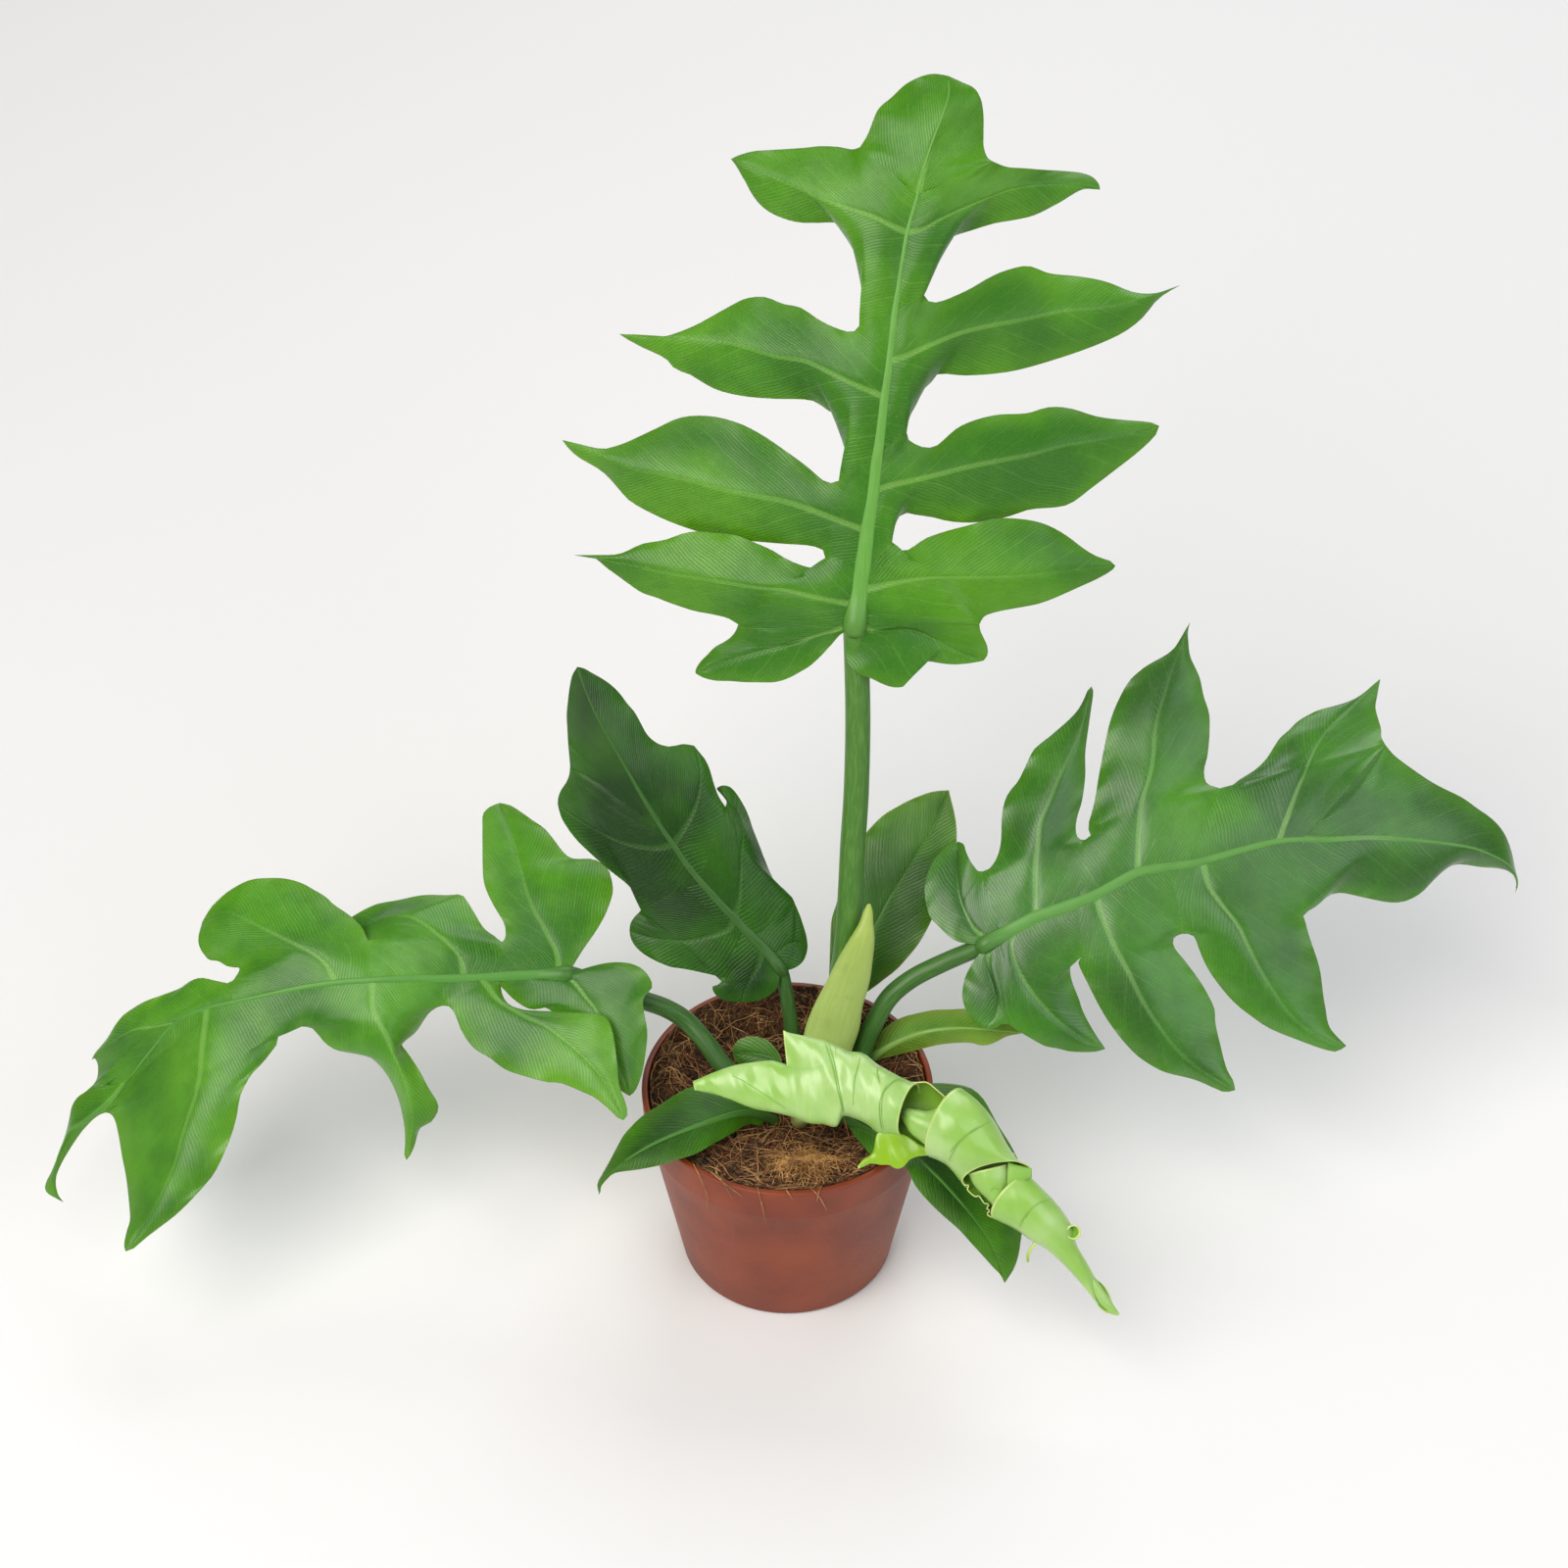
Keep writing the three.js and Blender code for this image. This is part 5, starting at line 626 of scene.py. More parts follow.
# Leaf drawings: midrib points, and lobes that span some of its steps, each with its near edge, its vein and
# its far edge, from the notch to the tip. Points are [x, y] or [x, y, w]. Arch lifts the vein, and sag lowers
# the edges.
tallLeaf = {
  "midrib": [
    [27.5, 188, 84], [28, 191, 85], [28.5, 194, 86], [29, 197.5, 87], [29.8, 204, 88.5], [31, 213, 91],
    [33, 228, 95], [35.3, 244, 99], [37, 259, 102.5], [40, 283, 108], [42, 298, 111], [44.3, 319, 115],
    [47, 338, 118], [49.3, 351, 120], [53.5, 366, 122],
  ],
  "lobes": [
    {
      "at": [0, 1, 2], "open": True, "tip": [-37.8, 169.4, 66], "arch": 2, "sag": 2,
      "near": [[22, 185.5], [18, 181], [14, 176.7], [9.3, 172.4], [5.3, 170], [0, 167.2], [-5, 165.8],
        [-10, 165.6], [-18, 165.8], [-23.6, 166.2], [-30, 166.4], [-34.8, 167.7]],
      "vein": [[20, 187], [14, 185.5], [-2, 180.7], [-18, 176.7], [-30, 172.5]],
      "far": [[-20.2, 189.5, 75], [-21.2, 187], [-23.2, 184.3], [-26, 182.3], [-30, 180],
        [-33.2, 176.7], [-35.6, 174.3], [-37.6, 171]],
    },
    {
      "at": [2, 3, 5], "tip": [-87.5, 218, 70], "arch": 5, "sag": 3,
      "near": [[-20.2, 189.5, 75], [-24.4, 192], [-30, 193.5], [-38, 195], [-44.4, 197], [-50, 199],
        [-54, 200.6], [-59.7, 202.5], [-65.3, 206.2], [-70, 209.7], [-74, 212.5], [-79.7, 217]],
      "vein": [[18, 199.3], [10, 201], [-2, 204], [-14, 205], [-26, 207], [-38, 209], [-51.6, 211.3],
        [-66, 214.5]],
      "far": [[15.6, 216.8, 89], [14.5, 213.6], [11.7, 212.8], [8.5, 213], [0.5, 216], [-6.3, 220],
        [-14, 223.4, 87], [-21.2, 226.2, 85.5], [-32.4, 227.4], [-37.2, 227.8, 83], [-42.8, 227],
        [-50, 224.4], [-60, 222.5], [-65.3, 220], [-69.3, 218.5], [-79.7, 218]],
    },
    {
      "at": [5, 6, 8], "tip": [-92.7, 265.4, 78], "arch": 6, "sag": 3,
      "near": [[15.6, 216.8, 89], [14.8, 220], [10, 221.8], [0, 222.6], [-13.7, 223.7, 82], [-26, 225.3, 78],
        [-37.6, 228, 78], [-43.6, 230], [-50, 232.5], [-61.5, 238.2], [-65.4, 240.8], [-72.6, 249],
        [-76.5, 252.7], [-80.3, 255], [-87, 259], [-90.5, 262.5]],
      "vein": [[21.2, 232.2], [12.7, 235.6], [0, 240], [-13, 242.5], [-25.7, 245], [-38.5, 248.4],
        [-50.4, 251.4], [-62.4, 253.5], [-78, 259.5]],
      "far": [[21.2, 248.6, 99], [18.3, 247.7], [15.3, 248.4], [12, 251], [7.6, 254.8], [0, 260.4],
        [-10.3, 267.4], [-19.7, 272.2], [-30, 275], [-39.3, 275.3], [-45.3, 274.2], [-54.7, 269.8],
        [-65.8, 264.6], [-71, 262.7], [-76, 261.7], [-87, 264]],
    },
    {
      "at": [8, 9, 11], "tip": [-69.2, 309, 90], "arch": 6, "sag": 3,
      "near": [[21.2, 248.6, 99], [24.6, 251.2], [25, 256], [22, 267], [20.4, 272], [20.5, 275.4],
        [16, 278], [12, 281], [8.2, 282], [-5.7, 282.4], [-19.7, 283.7], [-29.8, 286.4], [-40.7, 292.6],
        [-46, 294.5], [-50, 298.8], [-60, 303.7], [-65.5, 306.6]],
      "vein": [[33, 286], [25.3, 289.3], [15.2, 294.5], [6.7, 298], [-5.7, 300], [-19.7, 304.5],
        [-30.6, 306.3], [-46, 307.6]],
      "far": [[29.6, 312.4, 112], [27.2, 310], [22.2, 310.7], [13.7, 314.5], [5.1, 320], [-1.5, 321.3],
        [-9.6, 324.3], [-17.4, 323.5], [-24.4, 320], [-40, 311.6], [-52, 307.7], [-60, 307.7], [-65.5, 308]],
    },
    {
      "at": [11, 13, 14], "tip": [-23.2, 381, 104], "arch": 5, "sag": 4,
      "near": [[29.6, 312.4, 112], [31.3, 315], [32.1, 319], [31.1, 326], [31.7, 333], [30.3, 338],
        [28.7, 341.6], [26.2, 346.3], [23.6, 351.4], [21, 354.5], [11.7, 354.8], [4.4, 355], [-2.8, 357],
        [-9.5, 360.7], [-14.2, 366], [-17.3, 371.6], [-21.4, 378.8]],
      "vein": [[44, 353], [36.5, 357], [26.2, 360.4], [14.8, 364.4], [3.4, 369.5], [-9, 375]],
      "far": [[30, 386, 119], [27, 385], [21, 386], [13.8, 386.3], [6.5, 385.6], [-7, 384.7],
        [-14, 384.2], [-20, 382.5]],
    },
    {
      "at": [0, 1, 2], "open": True, "tip": [80.8, 174.7, 74], "arch": 2, "sag": 1,
      "near": [[27, 186.5], [25, 182.8], [24.3, 178], [24.8, 174], [29.6, 169.2], [34.3, 167.3],
        [41.2, 164.2], [45.5, 163.5], [48.2, 164.2], [48.8, 166.5], [47.8, 171.2], [49.8, 174], [56, 174.5],
        [68.4, 173], [77.7, 174]],
      "vein": [[34.3, 187], [44.3, 188], [53.7, 186.6], [62, 182.7], [72, 178]],
      "far": [[79, 189.5, 80], [79.4, 187], [80.4, 184.7], [82.2, 180.5], [82.3, 177]],
    },
    {
      "at": [2, 4, 5], "tip": [135, 213.6, 72], "arch": 5, "sag": 3,
      "near": [[79, 189.5, 80], [80.8, 192.6], [84.7, 194.3], [96.3, 196.6], [103.3, 198],
        [109.5, 200.2], [120.3, 205], [125.7, 207.4], [131.2, 210.3], [134, 212.2]],
      "vein": [[35, 204.7], [40.5, 206], [49.8, 207.8], [61.4, 209], [73, 209], [84.7, 209],
        [96.3, 209.5], [118, 212]],
      "far": [[43, 223.4, 93], [44.7, 220.6], [47.4, 219.8], [49.8, 220.2], [56.7, 224.8],
        [64.5, 227.6], [74.6, 230.3, 87], [84.7, 233, 86], [94.7, 233, 84], [104.8, 231.2], [113.7, 226.8],
        [122.6, 220.2], [127.3, 217.5], [134, 215]],
    },
    {
      "at": [5, 7, 8], "tip": [153, 271.2, 82], "arch": 6, "sag": 3,
      "near": [[43, 223.4, 93], [43, 226.2], [44.3, 231], [46.3, 234.4], [48.3, 235.4], [53.2, 234.6],
        [60, 233.6], [66.5, 232], [77.2, 231.5, 83], [91.3, 234, 80], [99.6, 236.8], [110.3, 237.7],
        [116, 239], [126.4, 246.6], [133.5, 252], [145, 261], [152.3, 268.5]],
      "vein": [[40, 246.2], [50, 248.5], [60, 250.6], [70.6, 253.4], [80.5, 255.6], [92, 257.8],
        [102, 259.8], [110.3, 262.5], [122, 264.6], [138, 267.5]],
      "far": [[49, 268.5, 102], [49.8, 265.6], [52, 264], [55.7, 262.5], [60.3, 262.5], [63.6, 264.8],
        [69.8, 270.2], [77.2, 273.6], [87, 275.8], [98.7, 276.4], [107, 278.8], [115.3, 278.6], [127.7, 275],
        [137.6, 273.7], [150, 272.5]],
    },
    {
      "at": [8, 10, 11], "tip": [161.3, 329, 94], "arch": 6, "sag": 3,
      "near": [[49, 268.5, 102], [49.3, 271.4], [50.3, 275], [52.4, 278.8], [54.5, 283], [56, 286.2],
        [59, 288.6], [60.2, 291.7], [63, 292.7], [73, 292], [91.2, 293.5], [109.4, 298.3], [124.3, 303.4],
        [137.5, 309.2], [145.8, 315.4], [152.4, 323.3], [157, 326.5]],
      "vein": [[45.7, 299], [51.5, 301.4], [59.8, 305], [70.5, 309.2], [81.3, 312], [92.8, 314.2],
        [103.6, 316.5], [114.3, 318.7], [130, 320], [146, 323.5]],
      "far": [[56.2, 325, 115], [58, 322.6], [60.6, 322], [64, 322.7], [74.6, 327.3], [83, 332.2],
        [89.5, 335], [99, 337], [107.7, 334], [119.3, 332.8], [131, 330.6], [142.5, 326.2], [150, 325.6],
        [157, 327.2]],
    },
    {
      "at": [11, 13, 14], "tip": [128.7, 368.5, 103], "arch": 5, "sag": 4,
      "near": [[56.2, 325, 115], [58, 328.7], [59.8, 334], [61.5, 338], [62.7, 343.7], [64.4, 347],
        [68.6, 349.4], [75.8, 351.7], [85, 354.5], [93.4, 356], [100.6, 357.6], [110, 362], [121.3, 368.7],
        [125, 369.8]],
      "vein": [[55, 352], [61.3, 355.6], [71.7, 360.7], [82, 365], [91.3, 368.5], [107, 370.5]],
      "far": [[84.6, 380, 118], [90.3, 377.8], [96.5, 377.3], [105.8, 376.6], [116, 375.9],
        [121.3, 375.2], [125.4, 373.7], [128, 371]],
    },
  ],
  "end": {
    "tip": [66, 415.3, 124], "arch": 4, "sag": 3,
    "near": [[30, 386, 119], [33, 391], [37.5, 401.6], [42.7, 406.2], [49, 412], [55, 415],
      [60.3, 416.1]],
    "vein": [[57, 380], [60.3, 390], [64.4, 400.6], [66.5, 408]],
    "far": [[84.6, 380, 118], [82.5, 381.4], [80.8, 386], [80.7, 391], [80.6, 400], [79.4, 406.2],
      [76.8, 410.2], [71.7, 412.7]],
  },
  "stalk": [[16, 6, -18], [17, 14, -13], [19, 24, -7], [22, 42, 4], [24.7, 60, 14], [26, 80, 24],
    [27, 100, 35], [28.3, 120, 46], [29, 150, 62], [28.6, 172, 74], [28, 188, 81.5]],
  "stalkRadius": [5.4, 4.9], "ribRadius": [3.4, 0.7],
}

leftLeaf = {
  "ribShare": 0.8,
  "midrib": [
    [-90, 45.3, 13], [-92, 45.3, 13.3], [-94, 45.3, 13.6], [-99, 45.2, 14], [-106, 45, 15], [-113, 44.8, 16],
    [-119, 44.4, 17], [-126, 44, 18], [-133, 43.8, 19], [-142, 43.6, 20.5], [-152, 43.6, 22],
    [-163, 43.3, 23.5], [-171, 43, 24], [-186, 42, 24], [-200, 40, 23], [-214, 37, 21], [-228, 34, 18],
    [-239, 31.5, 14.5], [-251, 26.5, 8], [-262, 14, 0], [-272, 1, -8],
  ],
  "lobes": [
    {
      "at": [0, 2, 6], "open": True, "tip": [-118.5, 116, -24], "arch": 3, "sag": 2,
      "near": [[-89, 47.5], [-87, 51], [-84.5, 55], [-81, 60], [-78, 64.5], [-75, 70], [-73, 75],
        [-71.8, 80], [-72.5, 85], [-74, 89], [-77, 91.5], [-80, 92.8], [-84, 93], [-88, 93], [-91, 94.5],
        [-97, 102], [-100, 105.5], [-105, 109], [-110, 112.5], [-114, 115]],
      "vein": [[-95, 54], [-98, 60], [-101, 66], [-104.5, 72], [-107.5, 80], [-109, 86], [-111, 93],
        [-112.5, 100], [-115, 107]],
      "far": [[-117.5, 58.7, 11], [-116.3, 60], [-116, 63], [-116.5, 66], [-121, 74], [-123.5, 79],
        [-125, 84], [-125.5, 98], [-125.5, 105], [-125.2, 111.5], [-123, 114]],
    },
    {
      "at": [6, 8, 12], "tip": [-186, 64, 3], "arch": 4, "sag": 1,
      "near": [[-117.5, 58.7, 11], [-118.7, 59], [-119.5, 60.5], [-122, 62], [-125, 64.5],
        [-127, 67.5], [-131.5, 75, 2], [-134, 78], [-140, 78], [-150, 78, -3], [-160, 76], [-170, 74, -2],
        [-179, 69.2], [-183, 66.5]],
      "vein": [[-135, 53], [-138, 56.5], [-142, 60], [-150, 66.5], [-155, 68.8], [-160, 69.5],
        [-166, 68.6], [-174, 66, 6]],
      "far": [[-172.5, 59.4, 17], [-177, 60, 9], [-182, 61.8, 4]],
    },
    {
      "at": [12, 13, 16], "tip": [-240.8, 67, -3], "arch": 4, "sag": 0,
      "near": [[-172.5, 59.4, 17], [-173.6, 61.5], [-174.8, 64.4, 15], [-179, 68.7, 12],
        [-182, 71], [-186.5, 74, 7], [-190, 77.3], [-195, 80.3, 1], [-200, 83], [-206, 84.7],
        [-212, 85.1, -5], [-221, 84.3], [-229, 80.3], [-235.5, 75], [-238.5, 71]],
      "vein": [[-190, 50], [-195, 54], [-200, 56.5], [-209, 61], [-220, 66.5], [-231, 70.8]],
      "far": [[-230.5, 41.8, 14], [-228.5, 42.6], [-227, 44.5], [-225.4, 48], [-228, 48.3],
        [-231, 49], [-234, 50.8], [-238, 51.5], [-240, 53.5], [-242, 57], [-242.4, 60.5]],
    },
    {
      "at": [16, 18, 20], "tip": [-286.3, 10.3, -18], "arch": 3, "sag": 1,
      "near": [[-230.5, 41.8, 14], [-236, 43], [-241.5, 44], [-246, 42.5], [-250, 39.7], [-260, 36],
        [-265, 34], [-270, 31], [-274, 28], [-277, 24], [-280, 19], [-285.2, 12.6]],
      "vein": [[-256, 25.2], [-262, 23.7], [-268, 23], [-274, 20], [-280, 15.5]],
      "far": [[-286, -0.4, -18], [-284.4, 2], [-283.7, 5], [-284, 9], [-285.3, 11]],
    },
    {
      "at": [0, 2, 6], "open": True, "tip": [-65, -4.6, 22], "arch": 2, "sag": 0,
      "near": [[-89, 46.3, 13], [-87, 45.9], [-84, 47], [-80, 48.8, 14.5], [-75, 50], [-70, 50.4, 17],
        [-65, 50], [-61, 48.5], [-58, 46], [-55.6, 40.5, 18.5], [-59.3, 35.5, 19.5], [-59, 30],
        [-57.7, 22, 20], [-58.5, 12], [-60.3, 3, 21], [-63, -3]],
      "vein": [[-89, 43], [-86, 40], [-83, 36], [-79, 31], [-73, 20], [-70, 10], [-67, 2]],
      "far": [[-118, 40.5, 16], [-113, 35.5, 15], [-108, 32, 14], [-104.5, 31], [-101, 32.2],
        [-97, 30.3, 14.5], [-90, 24], [-82, 14, 17], [-75, 5], [-69, -2, 21]],
    },
    {
      "at": [6, 7, 9], "tip": [-67.5, -14.6, 34], "arch": 3, "sag": 0,
      "near": [[-118, 40.5, 16], [-117, 36, 17.5], [-114, 32.6, 19], [-110, 31, 20],
        [-105, 30.5], [-97, 30.2, 23], [-90, 29.8], [-82, 29.3], [-76, 28.5, 27], [-74, 27], [-72, 22],
        [-70, 8, 31], [-69.3, 0], [-66.4, -8], [-65.8, -11], [-66.2, -13.7]],
      "vein": [[-120, 36], [-113, 31], [-105, 26.5], [-100, 24.5], [-90, 17], [-85, 12.5], [-78, 5],
        [-71, -6]],
      "far": [[-142, 32.6, 20], [-138.8, 32], [-136, 27], [-134, 22], [-129, 15], [-122.5, 11],
        [-116, 6.3], [-107, 3.2], [-98, 1], [-94, 0.9], [-90, -0.5], [-83, -3.5], [-79, -5.5], [-72, -11.5],
        [-70, -13.5]],
    },
    {
      "at": [9, 12, 14], "tip": [-156.8, -31, 13], "arch": 1, "sag": 0,
      "near": [[-142, 32.6, 20], [-145, 31.5], [-148, 29], [-152, 23, 15], [-154.5, 20.2],
        [-157, 18.8, 15], [-159.3, 17.3, 17], [-157, 14], [-151, 5, 19], [-148.5, 0], [-144, -7.5],
        [-143.7, -10, 14], [-145, -13], [-147, -15.5], [-151.2, -17.8], [-153.5, -25], [-155, -28.5]],
      "vein": [[-171, 37, 25], [-170.8, 32, 26], [-169.5, 28, 27], [-166, 22, 27], [-162.5, 14, 26],
        [-159, 6], [-156, -4, 22], [-154.5, -14], [-155.5, -24]],
      "far": [[-200, 24, 20], [-196, 23.5], [-193, 20.5], [-190, 17], [-186, 14.5], [-182, 13.5],
        [-173, 12], [-170, 10], [-166.5, 6.5], [-163.5, 2], [-160, -6], [-158.5, -12], [-157.5, -18],
        [-157.3, -24], [-157.5, -30]],
    },
    {
      "at": [14, 17, 20], "tip": [-272.3, -68.6, 20], "arch": 5, "sag": -2,
      "near": [[-200, 24, 20], [-203, 23.7], [-209.2, 20.5], [-210, 17], [-212.5, 13.5], [-216, 9],
        [-220, 5], [-225, -4], [-226.5, -12], [-228, -18], [-230.5, -25], [-236, -36.5], [-240, -41.5],
        [-250, -52], [-260, -60], [-264, -63], [-270, -68]],
      "vein": [[-240, 22], [-241, 12], [-241.5, 4], [-243.5, -5], [-246.5, -14], [-249, -22],
        [-251, -30], [-255, -40], [-260, -50], [-267, -61]],
      "far": [[-280.5, -11.4, -12], [-278.5, -12], [-277, -14], [-275.8, -18], [-273.5, -31],
        [-272.3, -37], [-270.8, -50], [-270.6, -56], [-271.8, -60], [-273, -67]],
    },
  ],
  "end": {
    "tip": [-298, -48.3, -26], "arch": 1, "sag": 0,
    "near": [[-280.5, -11.4, -12], [-282.5, -12], [-285.5, -14], [-288.5, -17], [-291, -20],
      [-297.5, -30], [-300, -35], [-301, -38], [-301, -42], [-300, -45.5]],
    "vein": [[-276, -4], [-280, -8], [-285, -12], [-290, -15.8], [-295, -18.6], [-298, -24],
      [-301, -32], [-303, -40], [-301.5, -45]],
    "far": [[-286, -0.4, -18], [-289, -3], [-292, -5], [-294.5, -9], [-295.3, -13], [-297, -20],
      [-299, -26], [-303, -36], [-305, -40], [-305.5, -43], [-304.5, -44.6], [-301, -46.7]],
  },
  "stalk": [[-3, -8, -3], [-7, -6.5, 0], [-15, -1.5, 1], [-25.6, 7, 1], [-34, 18, 1],
    [-41.8, 26.5, 0.5], [-50, 31.5, 3], [-60, 35, 5.5], [-75, 40.5, 8], [-90, 45.3, 10]],
  "stalkRadius": [4.1, 3.8], "ribRadius": [2.8, 0.6],
}

rightLeaf = {
  "midrib": [
    [80, 57, 8], [84, 59.3, 8], [88, 61.3, 8.3], [93, 64, 8.7], [98, 66.7, 9], [102, 68.7, 9],
    [113, 72.5, 9.3], [120, 75, 9.3], [127, 78, 9], [135, 82.5, 8.5], [144, 87.3, 8], [151, 88.8, 7.5],
    [158, 89.8, 7], [165, 90.7, 6.5], [171, 92, 6], [186, 96.3, 4.5], [202, 100.2, 2], [212, 101, 0],
  ],
  "lobes": [
    {
      "at": [0, 1, 2], "open": True, "tip": [70.5, 100, -4], "arch": 2, "sag": -2,
      "near": [[79, 58], [75, 58], [70, 59], [66, 61.5], [62, 65.5], [59.5, 68], [58, 71], [57, 75],
        [56.5, 80], [57.2, 85], [59, 90], [61.5, 94], [65, 97.5], [68, 99.5]],
      "vein": [[77, 64], [74, 69], [71.5, 75], [70, 84], [70, 92]],
      "far": [[80.5, 87.8, 2], [78.5, 88], [77, 89.7], [75, 92.7], [73.5, 96], [72.5, 99]],
    },
    {
      "at": [2, 5, 7], "tip": [125.2, 164, -10], "arch": 4, "sag": 2,
      "near": [[80.5, 87.8, 2], [83, 88.8], [84.5, 90.5], [86.5, 94], [87.8, 99], [88.3, 110],
        [89, 115], [91, 120], [95, 125], [97.5, 130], [101.5, 138], [105, 141], [110, 145], [119, 153.5],
        [122, 158.5], [124, 163]],
      "vein": [[102, 78], [101.8, 85], [102, 92], [103, 100], [104, 108], [107, 115], [112, 127],
        [118, 140], [122, 152]],
      "far": [[122.5, 100.8, 4], [120.3, 101], [119, 103], [118.7, 107], [119.5, 111], [121, 116],
        [122.5, 126], [122.6, 137], [124, 148], [125, 155], [125.8, 162]],
    },
    {
      "at": [7, 10, 13], "tip": [165.8, 190.5, -14], "arch": 4, "sag": 2,
      "near": [[122.5, 100.8, 4], [124.5, 102], [125, 103.5], [124, 105], [124, 107.5], [125, 111],
        [126.5, 117], [128.7, 130], [131.5, 144], [133, 150], [135, 155.5], [140.5, 166], [144, 169.5],
        [148, 172.5], [156, 177], [159.5, 180], [162, 184]],
      "vein": [[144, 95], [144.3, 103], [145, 112], [146, 118], [149, 127], [150.5, 136], [151, 144],
        [152, 150], [155, 160], [160, 175]],
      "far": [[178, 122, 0], [175.5, 122.8], [174, 123.2], [172.3, 124.5], [171.5, 127.5],
        [171.7, 131], [172.8, 135], [173.8, 147], [173.5, 153], [171.3, 160], [169.5, 168], [165.7, 176.5],
        [165, 182], [164.8, 187]],
    },
    {
      "at": [13, 16, 17], "tip": [244, 167, -26], "arch": 4, "sag": 2,
      "near": [[178, 122, 0], [180, 121.9], [182.5, 122.8], [186, 125.5], [193, 130], [197, 134],
        [203, 143], [206, 145.5], [210, 149.5], [214, 152], [219, 154.3], [230, 156.8], [234, 158.5],
        [238, 161.5]],
      "vein": [[204, 106], [207, 114], [213, 129], [217, 138], [222, 146], [232, 156]],
      "far": [[246, 140, -12], [244.5, 143], [244.3, 146.5], [243, 151], [242, 155.5], [242.7, 160]],
    },
    {
      "at": [0, 1, 2], "open": True, "tip": [82, 22.9, 8], "arch": 1, "sag": 0,
      "near": [[79, 54], [77, 51.5], [75, 48], [73.3, 44.5], [72.2, 40], [72, 36], [73, 32],
        [75, 28.5], [78, 25]],
      "vein": [[82.5, 50], [84, 45], [86, 38], [85, 30]],
      "far": [[91, 25, 9], [88, 24.8], [85.5, 23.4]],
    },
    {
      "at": [2, 3, 7], "tip": [130.8, 14.8, 1], "arch": 4, "sag": 2,
      "near": [[91, 25, 9], [94.5, 22.5], [97, 21], [103, 17.5], [106, 16], [112, 14.8],
        [116, 13.8], [127, 13.7]],
      "vein": [[92, 56], [94.5, 48], [98.5, 41], [104, 34], [112, 26], [121, 19.5]],
      "far": [[120.8, 52.6, 10], [118.7, 51.6], [117, 50], [116.3, 47], [117, 43], [120, 35],
        [121.5, 30.5], [124, 25.5], [127, 20.5]],
    },
    {
      "at": [7, 8, 12], "tip": [184.3, -2.2, 2], "arch": 5, "sag": 2,
      "near": [[120.8, 52.6, 10], [119.7, 50], [121, 47], [126.5, 36], [130, 29.5], [135, 22],
        [140, 16], [144, 12], [149, 8.5], [154, 5.7], [168, 2], [176, -1.5], [180, -3]],
      "vein": [[129, 70], [132, 62.5], [135, 56], [140, 47], [146, 35], [153, 24], [162, 13],
        [172, 5]],
      "far": [[162.5, 62.2, 8], [160.5, 61.5], [158.8, 60], [159, 57], [164, 50.5], [170, 42.3],
        [172, 39], [175.8, 31], [176, 26.5], [178, 17], [181, 6], [183.5, 1.5]],
    },
    {
      "at": [12, 14, 17], "tip": [230, 16, -8], "arch": 5, "sag": 2,
      "near": [[162.5, 62.2, 8], [166.5, 61.8], [168, 60], [169, 57], [171, 52], [173.5, 47],
        [181, 37], [186, 32], [192, 27.5], [198, 23.5], [210, 18.5], [222, 14.3], [226, 13.7]],
      "vein": [[173, 82], [177, 76], [185, 66], [189, 58], [193, 50], [199, 40], [207, 29],
        [218, 20]],
      "far": [[212.3, 69.5, 0], [213, 67.5], [214.5, 62], [219, 48], [220.5, 37], [221.5, 31],
        [222.3, 26], [223.5, 23], [226, 20]],
    },
  ],
  "end": {
    "tip": [299.6, 79, -36], "arch": 5, "sag": 2,
    "near": [[212.3, 69.5, 0], [215, 72], [218, 73.7], [221, 76.5], [224, 78.5], [228, 79],
      [238, 76.9], [249, 75], [254, 75.5], [258, 77.2], [262, 80], [268, 87], [272, 89.8], [276, 90.8],
      [285, 89.7], [297, 88.3], [299.4, 86], [300.1, 82.8]],
    "vein": [[225, 101], [235, 101.5], [245, 101.5], [265, 100], [275, 98.7], [283, 97.2],
      [290, 94.5], [295, 92], [299, 88], [300.4, 83.5]],
    "far": [[246, 140, -12], [249, 136.3], [253, 133], [263, 126], [268, 123], [278, 118],
      [284, 113.7], [288, 111], [292, 107.5], [295, 103.5], [297, 99], [298.5, 94], [299.3, 90], [300.2, 86],
      [300.9, 82.8]],
  },
  "stalk": [[29, -1.3, -10.5], [29.3, 5, -10], [31.2, 15, -8], [36, 26, -3], [42, 36, 0.5],
    [51, 43.5, 2.5], [65, 50.6, 4.5], [80, 57, 5.5]],
  "stalkRadius": [4.2, 3.7], "ribRadius": [3.0, 0.6],
}

